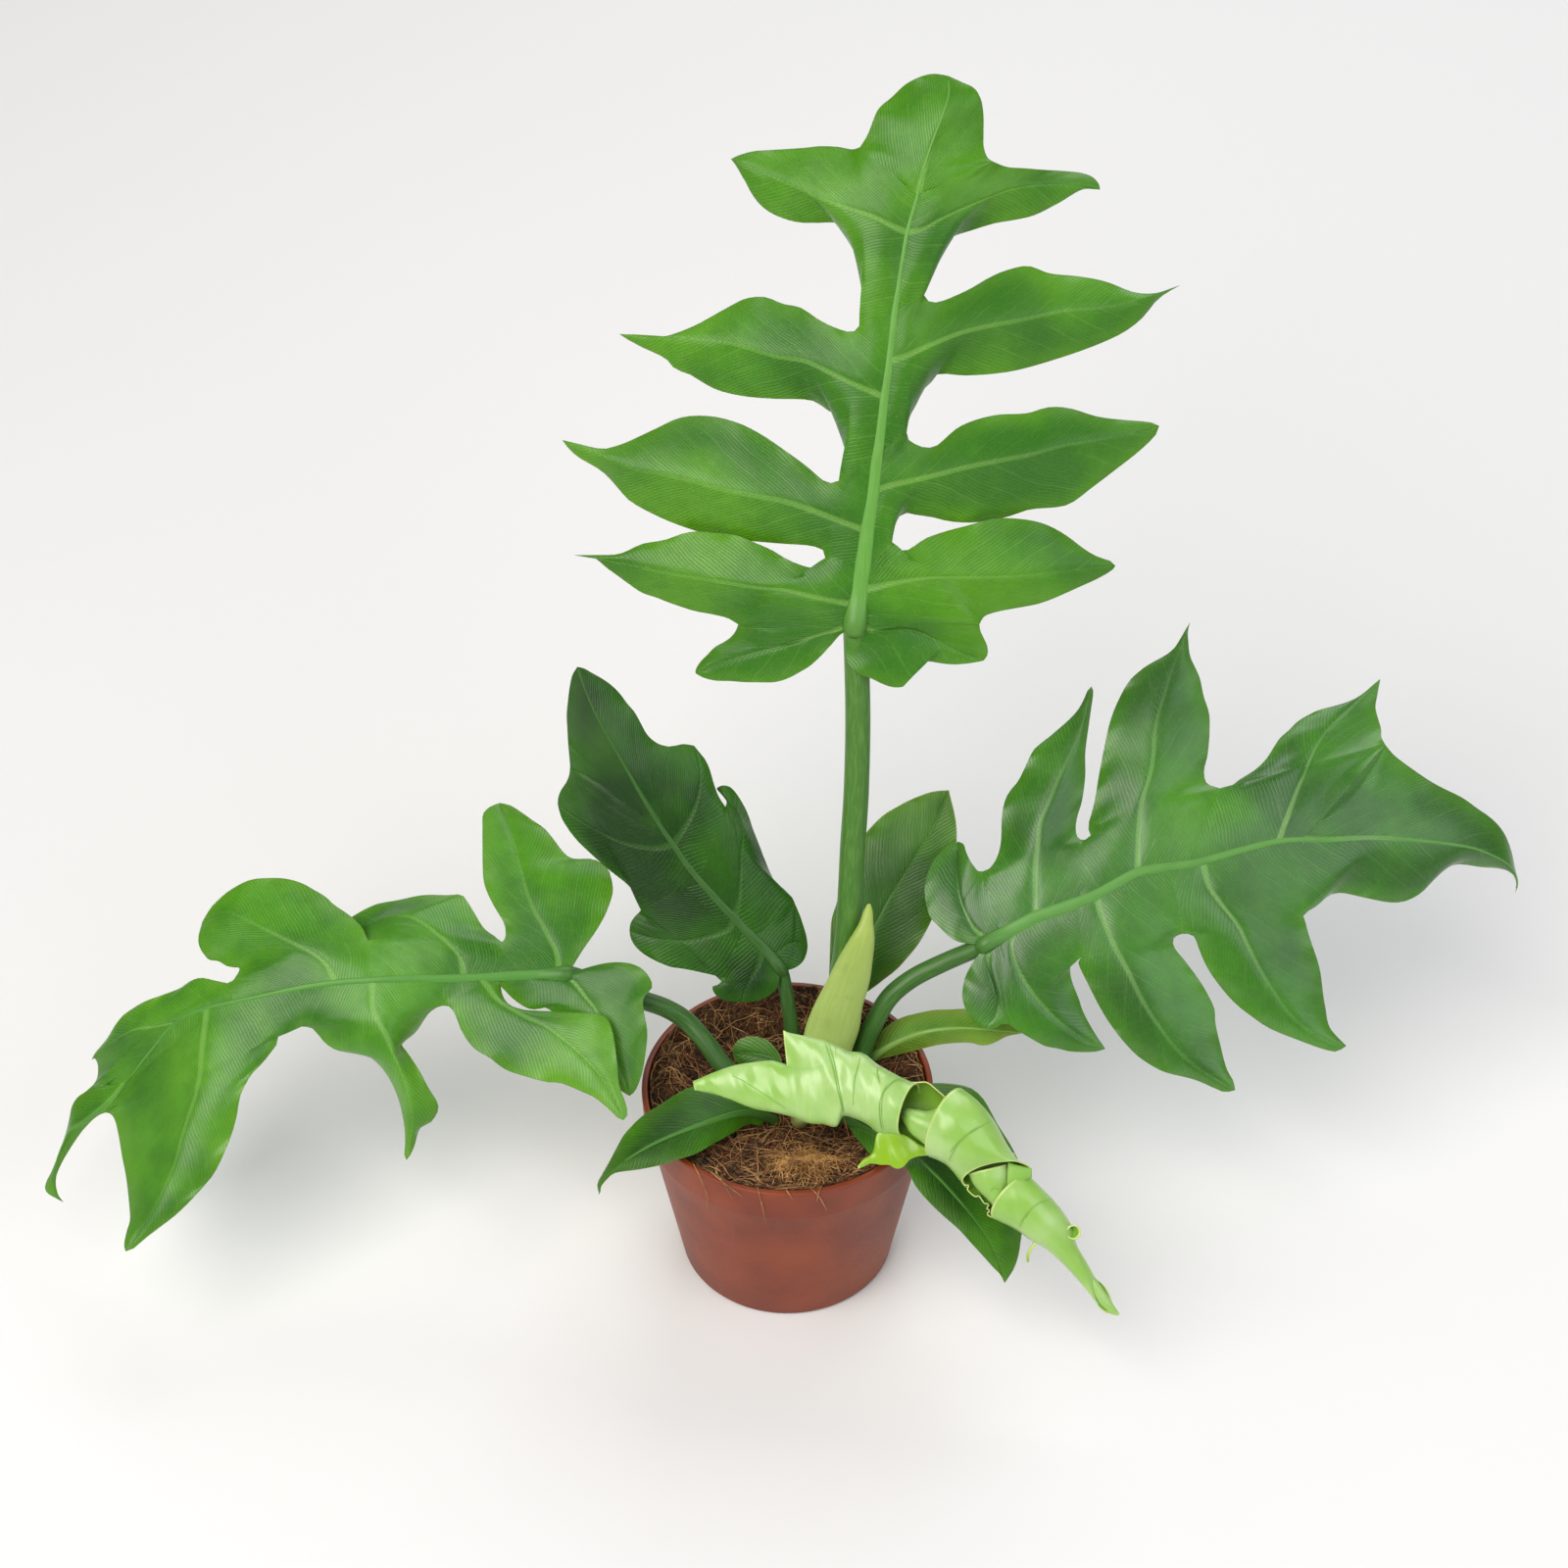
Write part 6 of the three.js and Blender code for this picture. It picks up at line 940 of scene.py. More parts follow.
darkLeaf = {
  "relief": 0.35,
  "midrib": [
    [-2.3, 47, 15], [-6, 52, 16], [-10, 56.5, 17.5], [-14, 60.5, 18.8], [-18, 64.5, 20], [-22, 69, 21.5],
    [-27, 74, 23.5], [-31, 78.5, 25], [-36, 84, 27], [-42, 91.5, 29.5], [-47, 99, 32], [-52, 106, 34.5],
  ],
  "lobes": [
    {
      "at": [0, 1, 3], "open": True, "tip": [8.3, 57, 9], "arch": 1, "sag": 0,
      "near": [[-1, 47.2], [0, 47.2], [2, 47.7], [4.5, 49], [6.5, 51], [7.8, 54]],
      "vein": [[-3, 55], [0, 57.5], [4, 58.5]],
      "far": [[2.6, 75.6, 12], [3.3, 74], [5, 70], [6.5, 65.5], [7.8, 61]],
    },
    {
      "at": [3, 5, 8], "tip": [-27, 123.2, 24], "arch": 3, "sag": 3,
      "near": [[2.6, 75.6, 12], [2, 77], [0, 78.5], [-2, 79.7], [-6, 85], [-9.5, 93], [-11, 97],
        [-14.5, 106], [-15.8, 110], [-17.5, 114], [-21.5, 120.5], [-24, 122.8]],
      "vein": [[-20.3, 75], [-19.5, 85], [-19.3, 95], [-18.5, 105], [-22, 115]],
      "far": [[-25.5, 114.3, 29], [-25, 116.5], [-26, 118.5], [-28, 120.5], [-29, 122]],
    },
    {
      "at": [8, 10, 11], "tip": [-38.5, 139.6, 33], "arch": 1, "sag": 1,
      "near": [[-25.5, 114.3, 29], [-27, 116.5], [-28.5, 119], [-30, 123], [-32.3, 130.5],
        [-34, 134], [-36, 136.5]],
      "vein": [[-42, 107], [-38, 115], [-36, 125], [-36.6, 133]],
      "far": [[-49, 139.2, 37], [-46, 139.6], [-43, 140.2]],
    },
    {
      "at": [0, 2, 4], "open": True, "tip": [-19, 34, 13], "arch": 1, "sag": 0,
      "near": [[-3, 45], [-4, 40.3], [-5.5, 38.3], [-8, 36.5], [-11, 35], [-15, 34.2]],
      "vein": [[-12, 50], [-15, 44], [-17.5, 39]],
      "far": [[-27, 42.5, 15], [-29, 41], [-30.8, 40.5], [-30.5, 38.5], [-29, 36.5], [-26.5, 35],
        [-23, 34.2]],
    },
    {
      "at": [4, 5, 8], "tip": [-65, 63.5, 15], "arch": 1, "sag": 0,
      "near": [[-27, 42.5, 15], [-28, 44.2], [-30, 45], [-34, 46], [-43, 47.8], [-48, 48.5],
        [-52, 50], [-56, 52], [-60, 54.5], [-63, 57.5], [-64.5, 60.5]],
      "vein": [[-24, 64.5], [-28, 62.5], [-35, 60.5], [-41, 59.5], [-54, 60.5]],
      "far": [[-60.3, 72, 18], [-61, 71], [-63, 69], [-64.5, 66.5]],
    },
    {
      "at": [8, 10, 11], "tip": [-94.5, 115.5, 24], "arch": 2, "sag": 1,
      "near": [[-60.3, 72, 18], [-60.8, 74], [-62, 77.5], [-64, 80.5], [-67, 83.5], [-74, 89],
        [-78, 92.5], [-85, 99], [-88.5, 103], [-91, 106.5], [-92.5, 109], [-93.8, 112.3]],
      "vein": [[-54, 97.5], [-60, 98], [-68, 100], [-82, 107]],
      "far": [[-89.4, 131, 32], [-89.8, 127.5], [-91, 124.5], [-93, 121.5], [-94.2, 118.5]],
    },
  ],
  "end": {
    "tip": [-86.5, 172, 46], "arch": 4, "sag": 1,
    "near": [[-49, 139.2, 37], [-53, 140.3], [-56, 142.3], [-58, 144.5], [-61, 150], [-63, 153.5],
      [-66, 157], [-69, 161], [-72.5, 164.5], [-76, 167], [-80, 169.3], [-84, 171.5]],
    "vein": [[-56, 112.5], [-60, 119], [-64, 126], [-68, 133], [-72, 140], [-76, 147], [-80, 155],
      [-83, 162], [-85.5, 169]],
    "far": [[-89.4, 131, 32], [-89.7, 135], [-90.2, 140], [-90.5, 146], [-90.8, 152], [-90.3, 158],
      [-89.5, 164], [-88.5, 168.5]],
  },
  "stalk": [[3, 0.75, -12.8], [3, 5, -10.5], [2.5, 13, -5], [1.2, 27, 4], [-0.5, 38, 9.5],
    [-2.3, 46.5, 12.5]],
  "stalkRadius": [3.3, 2.8], "ribRadius": [2.1, 0.6],
}

backLeaf = {
  "midrib": [[18, 32, -19]],
  "lobes": [],
  "end": {
    "open": True, "tip": [66.5, 121.2, -16], "arch": 3, "sag": -3,
    "near": [[17, 35], [17.3, 48, -19], [17.7, 60], [18.2, 68], [20, 74, -20], [23.5, 86],
      [28, 97, -21], [33.5, 105], [40, 111.3], [45, 114.3], [50, 117], [60, 120.7]],
    "vein": [[22, 39], [27, 47], [33, 58], [38, 68], [43, 78], [48, 86], [54.5, 97], [60, 106]],
    "far": [[24, 33.5], [32.5, 38, -17], [40, 43.5], [45, 47.5], [50, 53], [54, 58, -16], [58.5, 66],
      [63, 76], [66.5, 86], [69.3, 96], [69.6, 106], [68.5, 113], [67.2, 118]],
  },
  "stalk": [[14, 12.8, -26], [15.2, 18, -23.5], [16.6, 25, -21.5], [18, 32, -20.5]],
  "stalkRadius": [2.5, 2.2], "ribRadius": [1.8, 0.5],
}

sideLeaf = {
  "midrib": [[33, 9.5, -15]],
  "lobes": [],
  "end": {
    "open": True, "tip": [97.3, 21.4, -8], "arch": 2, "sag": 2,
    "near": [[35, 9.6, -14.5], [40, 11, -12.5], [46, 12.5], [52, 14, -8], [58, 15.5], [64, 16.7, -4],
             [70, 17.3],
      [76, 17.2], [79, 16.3], [82, 16.2], [86, 17.7], [90, 19.8]],
    "vein": [[40, 14.5, -11.5], [50, 19.5], [60, 22.3, -6], [72, 23.3], [84, 22.5]],
    "far": [[35, 13, -15], [37, 18, -14], [39, 22, -13], [43, 25.5], [48, 28], [54, 29.5], [60, 30.7, -8],
      [67, 31], [75, 31.2], [83, 29.5], [91, 25.5]],
  },
  "stalk": [[24, 5.4, -18], [24.8, 7.5, -17.5], [28.5, 8.8, -17.3], [33, 9.5, -16.3]],
  "stalkRadius": [2.1, 1.9], "ribRadius": [1.4, 0.5],
}

frontLeftLeaf = {
  "midrib": [[-8.5, -13.2, 8.5]],
  "lobes": [],
  "end": {
    "open": True, "tip": [-77.4, -45.2, 47], "arch": 3, "sag": 1,
    "near": [[-11, -16.8, 10], [-13, -16.4], [-15, -16], [-18, -17], [-22, -19.5, 20],
      [-30, -24, 29], [-38, -28.5, 38], [-46, -31, 42], [-52, -33], [-62, -35], [-69, -35.8, 44],
      [-72, -36.7], [-74, -38.5], [-77, -42.3]],
    "vein": [[-14, -11.8, 13], [-20, -11.8, 17], [-30, -14.5, 23], [-40, -18, 29], [-50, -22, 34],
      [-60, -27, 38], [-70, -34, 42], [-76.5, -40.5]],
    "far": [[-9, -10.5, 9], [-14, -7, 11], [-20, -4.2, 13], [-27, -2], [-33, -1, 15], [-39, -0.8],
      [-45, -3.5, 18], [-53, -8.7, 23], [-57, -11], [-61, -14], [-64.5, -17.5, 29], [-67.5, -21],
      [-70, -25.5], [-74, -33], [-76, -36.5, 42], [-78.2, -41]],
  },
  "stalk": [[-5, -14.6, 4.3], [-5.4, -14.4, 5.2], [-6.8, -13.8, 6.8], [-8.5, -13.2, 7.6]],
  "stalkRadius": [2.2, 2], "ribRadius": [1.7, 0.5],
}

frontRightLeaf = {
  "midrib": [[22, -13.6, 9]],
  "lobes": [],
  "end": {
    "open": True, "tip": [89.4, -81.6, 27], "arch": 2, "sag": 1,
    "near": [[24, -15.4, 11], [27, -20, 18], [31, -25, 27], [35, -29.2, 34], [41, -31.5, 39],
      [48, -33, 42.5], [53, -42, 43], [61, -51], [71, -60], [76, -65.5, 38], [81, -71], [85, -75.5],
      [88, -78.5]],
    "vein": [[31, -18, 16], [40, -22.5, 27], [50, -28, 32], [60, -36.5, 34], [70, -47, 33],
      [80, -60, 31], [86, -71]],
    "far": [[24, -11, 9], [32, -6, 8], [42, -2, 8.5], [52, 0, 8], [59, 0.6, 7.5], [66, 0.5, 8],
      [75, -1.2], [79, -4, 9], [82, -8], [86, -15.5, 12], [93, -27, 15], [98, -40, 19], [98, -52],
      [96.3, -62, 24], [95, -70.5], [93, -76]],
  },
  "stalk": [[16, -12, 1.4], [17, -12.2, 3.5], [19, -13, 6.2], [22, -13.6, 8]],
  "stalkRadius": [2.2, 2], "ribRadius": [1.7, 0.5],
}

seedlingLeaf = {
  "midrib": [[-2.3, 8.3, -12.5]],
  "lobes": [],
  "end": {
    "open": True, "tip": [-22.6, 13, -15], "arch": 0.6, "sag": -0.6,
    "near": [[-2.5, 10.6], [-4.5, 14.5], [-8, 18], [-12, 19.7], [-16, 19.8], [-19.5, 18.8],
      [-22, 16]],
    "vein": [[-6, 10.5], [-11, 12.2], [-17, 13]],
    "far": [[-4, 6], [-7.5, 4.6], [-12, 4.6], [-16, 6], [-19.5, 8.3], [-21.8, 10.7]],
  },
  "stalk": [[-4, -0.6, -11.3], [-3.8, 1.5, -11.3], [-3, 5, -12], [-2.3, 8.3, -13.2]],
  "stalkRadius": [1, 0.8], "ribRadius": [0.7, 0.4],
}

# Looks of the plant's pieces. Each leaf has a blade material, its paler underside and a stalk.
leafLooks = {
    "tall": {
        "deep": "#2b6a01", "bright": "#448706", "yellow": "#5a9812", "vein": "#8fc25c", "edge": "#457f1c",
        "under": "#76a54a", "stalk": "#427422", "rib": "#5c9838", "stalkLight": "#8dba5e",
        "stalkDark": "#34631d", "roughness": 0.36, "spacing": 15.0, "slant": 1.8, "coat": 0.2,
        "sideVeins": 0.09, "mainVein": 0.23},
    "left": {
        "deep": "#2c6a06", "bright": "#4b8f10", "yellow": "#66a21c", "vein": "#84ba56", "edge": "#44801f",
        "under": "#719f47", "stalk": "#2f5a1b", "rib": "#4e8c32", "stalkLight": "#6c9845",
        "stalkDark": "#244a15", "roughness": 0.36, "spacing": 14.0, "slant": 1.8, "coat": 0.32,
        "sideVeins": 0.08, "mainVein": 0.28},
    "right": {
        "deep": "#235b04", "bright": "#387b0b", "yellow": "#559a12", "vein": "#8abd66", "edge": "#3c7620",
        "under": "#6d9a48", "stalk": "#386524", "rib": "#568f3c", "stalkLight": "#7ba654",
        "stalkDark": "#28501a", "roughness": 0.34, "spacing": 14.0, "slant": 1.7, "coat": 0.68,
        "sideVeins": 0.08, "mainVein": 0.3},
    # The dark leaf is a darker green than the others: partly its own older colour, partly painted shade for a
    # leaf turned away from the light.
    "deep": {
        "deep": "#103701", "bright": "#265b02", "yellow": "#3a7a10", "vein": "#447a29", "edge": "#26500f",
        "under": "#5a833c", "stalk": "#2d551c", "rib": "#2f5c1b", "stalkLight": "#648c42",
        "stalkDark": "#204113", "roughness": 0.36, "spacing": 12.0, "slant": 1.5, "coat": 0.06,
        "sideVeins": 0.07, "mainVein": 0.2},
    "middle": {
        "deep": "#285a05", "bright": "#3f7c0c", "yellow": "#5e9614", "vein": "#6fa045", "edge": "#6f9340",
        "under": "#6b9546", "stalk": "#335c20", "rib": "#437a28", "stalkLight": "#6f9a4a",
        "stalkDark": "#244816", "roughness": 0.36, "spacing": 11.0, "slant": 1.5, "coat": 0.1,
        "sideVeins": 0.07, "mainVein": 0.24},
    "side": {
        "deep": "#41761f", "bright": "#5f9128", "yellow": "#9aa838", "vein": "#94b552", "edge": "#7d9440",
        "under": "#7f9f47", "stalk": "#527e30", "rib": "#7fa549", "stalkLight": "#8bac5a",
        "stalkDark": "#3f6a27", "roughness": 0.38, "spacing": 10.0, "slant": 1.6, "coat": 0.15,
        "sideVeins": 0.08, "mainVein": 0.24},
}
leafLooks["front"] = {**leafLooks["middle"], "deep": "#1b4503", "bright": "#36720b", "yellow": "#55900f",
                      "edge": "#3f7a1a"}


def leafMaterials(kind):
    look = leafLooks[kind]
    paler = {**look, "deep": look["under"], "bright": look["under"], "yellow": look["bright"], "roughness": 0.5}
    return [bladeMaterial("leaf_blade_waxy_" + kind, look),
            bladeMaterial("leaf_blade_underside_" + kind, paler, under=True),
            stalkMaterial("leaf_stalk_smooth_" + kind, look)]


materialSets = {kind: leafMaterials(kind) for kind in leafLooks}
leaves = [("leaf_tall", tallLeaf, "tall", "green_leaf"), ("leaf_left", leftLeaf, "left", "green_leaf"),
          ("leaf_right", rightLeaf, "right", "green_leaf"), ("leaf_dark", darkLeaf, "deep", "deep_leaf"),
          ("leaf_back", backLeaf, "middle", "deep_leaf"), ("leaf_side", sideLeaf, "side", "yellowing_leaf"),
          ("leaf_front_left", frontLeftLeaf, "front", "deep_leaf"),
          ("leaf_front_right", frontRightLeaf, "front", "deep_leaf"),
          ("leaf_seedling", seedlingLeaf, "middle", "deep_leaf")]
for number, (node, leaf, kind, slot) in enumerate(leaves):
    makeLeaf(node, leaf, materialSets[kind], number * 3 + 1)
print("stage: leaves")


# The pot's sizes in mm, its colours and its finish.
plasticPot = {"rim": 60.0, "base": 44.5, "height": 93.0, "band": 17.0, "step": 1.4, "wall": 1.6, "floor": 2.4,
              "rounding": 0.7, "holes": 6, "holeWidth": 7.0, "holeRing": 27.0, "segments": 160,
              "light": "#8c3a13", "dark": "#752c0d", "dust": "#a0603c", "dustAmount": 0.06, "roughness": 0.42}


# A turned form from a profile of [radius, height] in mm.
def revolved(profile, segments):
    angle = 2 * np.pi * np.arange(segments) / segments
    p = np.array(profile, float)
    points = np.stack([p[:, :1] * np.cos(angle), p[:, :1] * np.sin(angle),
                       np.repeat(p[:, 1:], segments, axis=1)], axis=-1)
    flat = np.round(points.reshape(-1, 3), 5)
    faces = [face for face in gridFaces(len(p), segments, closed=True).tolist()
             if len({tuple(flat[k]) for k in face}) == 3]  # leaves out what has no width on the axis
    build = newBuild()
    addTriangles(build, points.reshape(-1, 3) / 1000, np.array(faces), 0)
    return build


# A profile with its corners rounded.
def rounded(corners, radius, steps=4):
    out = [corners[0]]
    for before, at, after in zip(corners, corners[1:], corners[2:]):
        before, at, after = (np.array(v[:2], float) for v in (before, at, after))
        reach = min(radius, np.linalg.norm(before - at) / 2.1, np.linalg.norm(after - at) / 2.1)
        a = at + (before - at) / np.linalg.norm(before - at) * reach
        b = at + (after - at) / np.linalg.norm(after - at) * reach
        for t in np.linspace(0, 1, steps + 1):
            out.append(tuple((1 - t) ** 2 * a + 2 * t * (1 - t) * at + t**2 * b))
    out.append(corners[-1])
    return out


# The profile goes from the middle of the base out and up to the rim, then down inside to the middle again.
def makePot():
    s = plasticPot
    rim, base, height, low = s["rim"], s["base"], s["height"], s["floor"]
    band = height - s["band"]
    neck = rim - s["step"] - 0.6
    slopeIn = (neck - base) / band
    outer = [(0, 0), (base - 7, 0), (base - 7.6, 0.0), (base - 1.0, 0), (base + 0.2, 1.2)]
    outer += [(base + slopeIn * z, z) for z in (30, 60)]
    outer += [(neck, band), (rim - 0.6, band + 0.7), (rim - 0.1, height - 3.2), (rim, height - 2.4),
              (rim, height - 0.2), (rim - 2.4, height), (rim - 2.6, height - 1.2)]
    inner = [(neck - s["wall"], band - 1), (base - s["wall"] + slopeIn * low, low), (0, low)]
    build = revolved(rounded(outer + inner, s["rounding"]), s["segments"])
    pot = finishPiece("pot_moulded", build, [potMaterial(s)], "pot")
    for i in range(s["holes"]):
        angle = 2 * math.pi * (i + 0.5) / s["holes"]
        where = (s["holeRing"] / 1000 * math.cos(angle), s["holeRing"] / 1000 * math.sin(angle), low / 2000)
        bpy.ops.mesh.primitive_cylinder_add(vertices=40, radius=s["holeWidth"] / 2000, depth=0.012,
                                            location=where)
        cutter = bpy.context.object
        hole = pot.modifiers.new("hole", "BOOLEAN")
        hole.operation, hole.object, hole.solver = "DIFFERENCE", cutter, "EXACT"
        bpy.context.view_layer.objects.active = pot
        bpy.ops.object.modifier_apply(modifier="hole")
        bpy.data.objects.remove(cutter)
    pot.data.set_sharp_from_angle(angle=math.radians(35))


makePot()
print("stage: pot")


# Coir colours; bit is the size of its crumbs in mm.
coirLook = {"dark": "#1d1008", "middle": "#4a2d18", "light": "#a5774a", "gap": "#0c0603", "bit": 2.6}
clumpLook = {"dark": "#b07a3c", "middle": "#dfaa64", "light": "#f2d09a", "gap": "#8a5a28", "bit": 7.0}
fibreLooks = {
    "brown": {"dark": "#442a16", "middle": "#684225", "light": "#a87b4a", "gap": "#3a2414", "bit": 6.0,
              "count": 1900, "radius": (0.1, 0.24), "length": (6, 22), "lifts": (0.2, 0.5, 1.2)},
    "tan": {"dark": "#a67644", "middle": "#cb9c64", "light": "#e6c18e", "gap": "#7a5230", "bit": 8.0,
            "count": 900, "radius": (0.12, 0.26), "length": (9, 30), "lifts": (0.5, 1.2, 2.6)},
    "red": {"dark": "#6e3d22", "middle": "#96582f", "light": "#b87845", "gap": "#4a2816", "bit": 8.0,
            "count": 700, "radius": (0.12, 0.3), "length": (5, 18), "lifts": (0.4, 1.0, 2.0)},
}
# Loose fibres over the rim and below the new leaf, as seen.
hangingFibres = [
  [[-38, -29.7], [-31.3, -36], [-25.4, -41], [-18, -46.6]],
  [[-30.8, -33], [-28, -38], [-25.4, -42], [-22.6, -47]],
  [[-12.8, -23], [-12.1, -33.7], [-12.3, -41.7], [-10.4, -49.6], [-9, -57]],
  [[5, -37], [9, -42], [13, -46], [16.4, -52]],
  [[17, -38], [13.4, -43], [12, -48]], [[-40, -30], [-36, -38], [-33, -46], [-33.6, -53]],
  [[-2, -36], [-1, -42], [2, -47]],
]
soilSize = {"rings": 84, "sectors": 220, "edgeHeight": 7.0, "bits": 900, "clump": (6.7, -40.0),
            "clumpSpread": (5.6, 4.8), "clumpFibres": 1500, "radius": 56.8, "lieWithin": 56.3,
            "fibresWithin": 56, "bitsWithin": 55.5}


# Height in mm of the rough coir: higher by the wall and under the clump at the front.
def soilHeight(x, y):
    edge = ease(34, 52, math.hypot(x, y))
    rough = 0.7 * math.sin(0.31 * x + 1.3) * math.cos(0.27 * y)
    rough += 0.5 * math.sin(0.53 * y + 0.2 * x) + 0.35 * math.sin(0.83 * x - 0.61 * y)
    clump = math.exp(-((x - 8) / 16) ** 2 - ((y + 43) / 9) ** 2)
    lumps = 1.5 * noise.noise(Vector((x / 6.5, y / 6.5, 2))) + 0.8 * noise.noise(Vector((x / 2.6, y / 2.6, 7)))
    lumps += 0.4 * noise.noise(Vector((x / 1.1, y / 1.1, 4)))
    rough += 1.5 * float(ease(0, 40, y))
    return soilTop - 0.8 + float(edge) * (rough + soilSize["edgeHeight"]) + 3.8 * clump + lumps


def makeSoil():
    rings, sectors = soilSize["rings"], soilSize["sectors"]
    angle = 2 * np.pi * np.arange(sectors) / sectors
    loops = [(0.01, 2.8), (41.5, 2.8), (55.0, 74.5)]
    rows = [np.column_stack([r * np.cos(angle), r * np.sin(angle), np.full(sectors, z)]) for r, z in loops]
    for k in range(rings, -1, -1):
        r = max(soilSize["radius"] * k / rings, 0.01)
        places = [(r * math.cos(a), r * math.sin(a)) for a in angle]
        rows.append(np.array([(x, y, soilHeight(x, y)) for x, y in places]))
    build = newBuild()
    addTriangles(build, np.vstack(rows) / 1000, gridFaces(len(rows), sectors, closed=True), 0)
    finishPiece("soil_coir_bed", build, [coirMaterial("coir_husk_shredded_bed", coirLook)], "soil")


# One fibre through points in mm, a thin three-sided strand.
def addStrand(build, points, radius):
    centres = np.asarray(points, float) / 1000
    taper = radius / 1000 * (1 - 0.75 * np.abs(np.linspace(-1, 1, len(centres))) ** 3)
    addTube(build, tubeRings(centres, taper, taper, 3, np.array([0.13, 0.21, 0.97])), 0)


# Points in mm of a fibre that wanders over the coir, with its middle lifted.
def lyingStrand(rand, x, y, length, lift):
    heading, bend = rand.uniform(0, 2 * math.pi), rand.uniform(-0.09, 0.09)
    points = []
    count = 6
    for i in range(count):
        z = soilHeight(x, y) + 0.15 + lift * math.sin(math.pi * i / (count - 1))
        points.append((x, y, z))
        heading += bend * length / count + rand.uniform(-0.25, 0.25)
        x += length / count * math.cos(heading)
        y += length / count * math.sin(heading)
        far = math.hypot(x, y)
        if far > soilSize["lieWithin"]:
            x, y = x * soilSize["lieWithin"] / far, y * soilSize["lieWithin"] / far
    return points


def makeFibres():
    rand = random.Random(11)
    for kind, look in fibreLooks.items():
        build = newBuild()
        for _ in range(look["count"]):
            r, a = soilSize["fibresWithin"] * math.sqrt(rand.random()), rand.uniform(0, 2 * math.pi)
            length, lift = rand.uniform(*look["length"]), rand.choice(look["lifts"])
            strand = lyingStrand(rand, r * math.cos(a), r * math.sin(a), length, lift)
            addStrand(build, strand, rand.uniform(*look["radius"]))
        if kind == "tan":
            for line in hangingFibres:
                addStrand(build, overRim(line), 0.24)
        finishPiece("soil_fibres_" + kind, build, [coirMaterial("coir_husk_fibre_" + kind, look)], None)
    clump = newBuild()
    clumpPlace = list(zip(soilSize["clump"], soilSize["clumpSpread"]))
    for _ in range(soilSize["clumpFibres"]):
        x, y = (rand.gauss(middle, spread) for middle, spread in clumpPlace)
        strand = lyingStrand(rand, x, y, rand.uniform(3, 11), rand.choice([0.6, 1.4, 2.8]))
        addStrand(clump, strand, rand.uniform(0.09, 0.22))
    finishPiece("soil_clump", clump, [coirMaterial("coir_husk_shredded_clump", clumpLook)], None)
    loose = newBuild()
    fall = place(smoothRun([[23.2, -13, 43], [24.2, -17, 36], [25.6, -22, 31], [26.6, -27, 28]])) * 1000
    addStrand(loose, fall, 0.4)
    finishPiece("soil_root", loose, [coirMaterial("coir_husk_fibre_hanging", fibreLooks["red"])], None)


# Heights and radii in mm at which a hanging fibre lies on the coir, on the rim and against the outside.
hang = {"soil": 91.2, "rim": 93.5, "inside": 56.0, "outside": 60.4, "wall": 60.8}
aimHeight, reach = view["centre"][1] * 1000, view["distance"] * 1000


# The point in space, in mm, that is seen at x, y and lies at a height.
def atHeight(x, y, height):
    depth = (height - plasticPot["height"] - upward[2] * y) / (toward[2] + (aimHeight - y) * upward[2] / reach)
    return place([x, y, depth]) * 1000


# A line as seen, laid on the coir, over the rim and down the outside of the pot.
def overRim(line):
    points = []
    for x, y in atShares(smoothRun(line), np.linspace(0, 1, 16)):
        spot = atHeight(x, y, hang["soil"])
        if math.hypot(spot[0], spot[1]) > hang["inside"]:
            spot = atHeight(x, y, hang["rim"])
        if math.hypot(spot[0], spot[1]) > hang["outside"]:
            wall = math.sqrt(hang["wall"] ** 2 - (0.97 * x) ** 2)
            depth = (toward[2] * y + wall) / (upward[2] - (aimHeight - y) * toward[2] / reach)
            spot = place([x, y, depth]) * 1000
        points.append(spot)
    return points


def makeBits():
    rand = random.Random(23)
    build = newBuild()
    corners = np.array([(1, 0, 0), (-1, 0, 0), (0, 1, 0), (0, -1, 0), (0, 0, 1), (0, 0, -1)], float)
    faces = np.array([(0, 2, 4), (2, 1, 4), (1, 3, 4), (3, 0, 4), (2, 0, 5), (1, 2, 5), (3, 1, 5), (0, 3, 5)])
    for _ in range(soilSize["bits"]):
        r, a = soilSize["bitsWithin"] * math.sqrt(rand.random()), rand.uniform(0, 2 * math.pi)
        x, y = r * math.cos(a), r * math.sin(a)
        size = rand.uniform(0.5, 1.7) * (1.8 if rand.random() < 0.06 else 1)
        shape = corners * np.array([[rand.uniform(0.6, 1.5), rand.uniform(0.5, 1.1),
                                     rand.uniform(0.4, 0.9)]]) * size
        heading, tilt = rand.uniform(0, 6.3), rand.uniform(-0.7, 0.7)
        turn = np.array(Matrix.Rotation(heading, 3, "Z") @ Matrix.Rotation(tilt, 3, "X"))
        addTriangles(build, (shape @ turn.T + (x, y, soilHeight(x, y) + 0.25 * size)) / 1000, faces, 0)
    piece = finishPiece("soil_bits", build, [coirMaterial("coir_husk_shredded_bits", coirLook)], None)
    piece.data.polygons.foreach_set("use_smooth", np.zeros(len(piece.data.polygons), bool))


makeSoil()
makeFibres()
makeBits()
print("stage: coir")


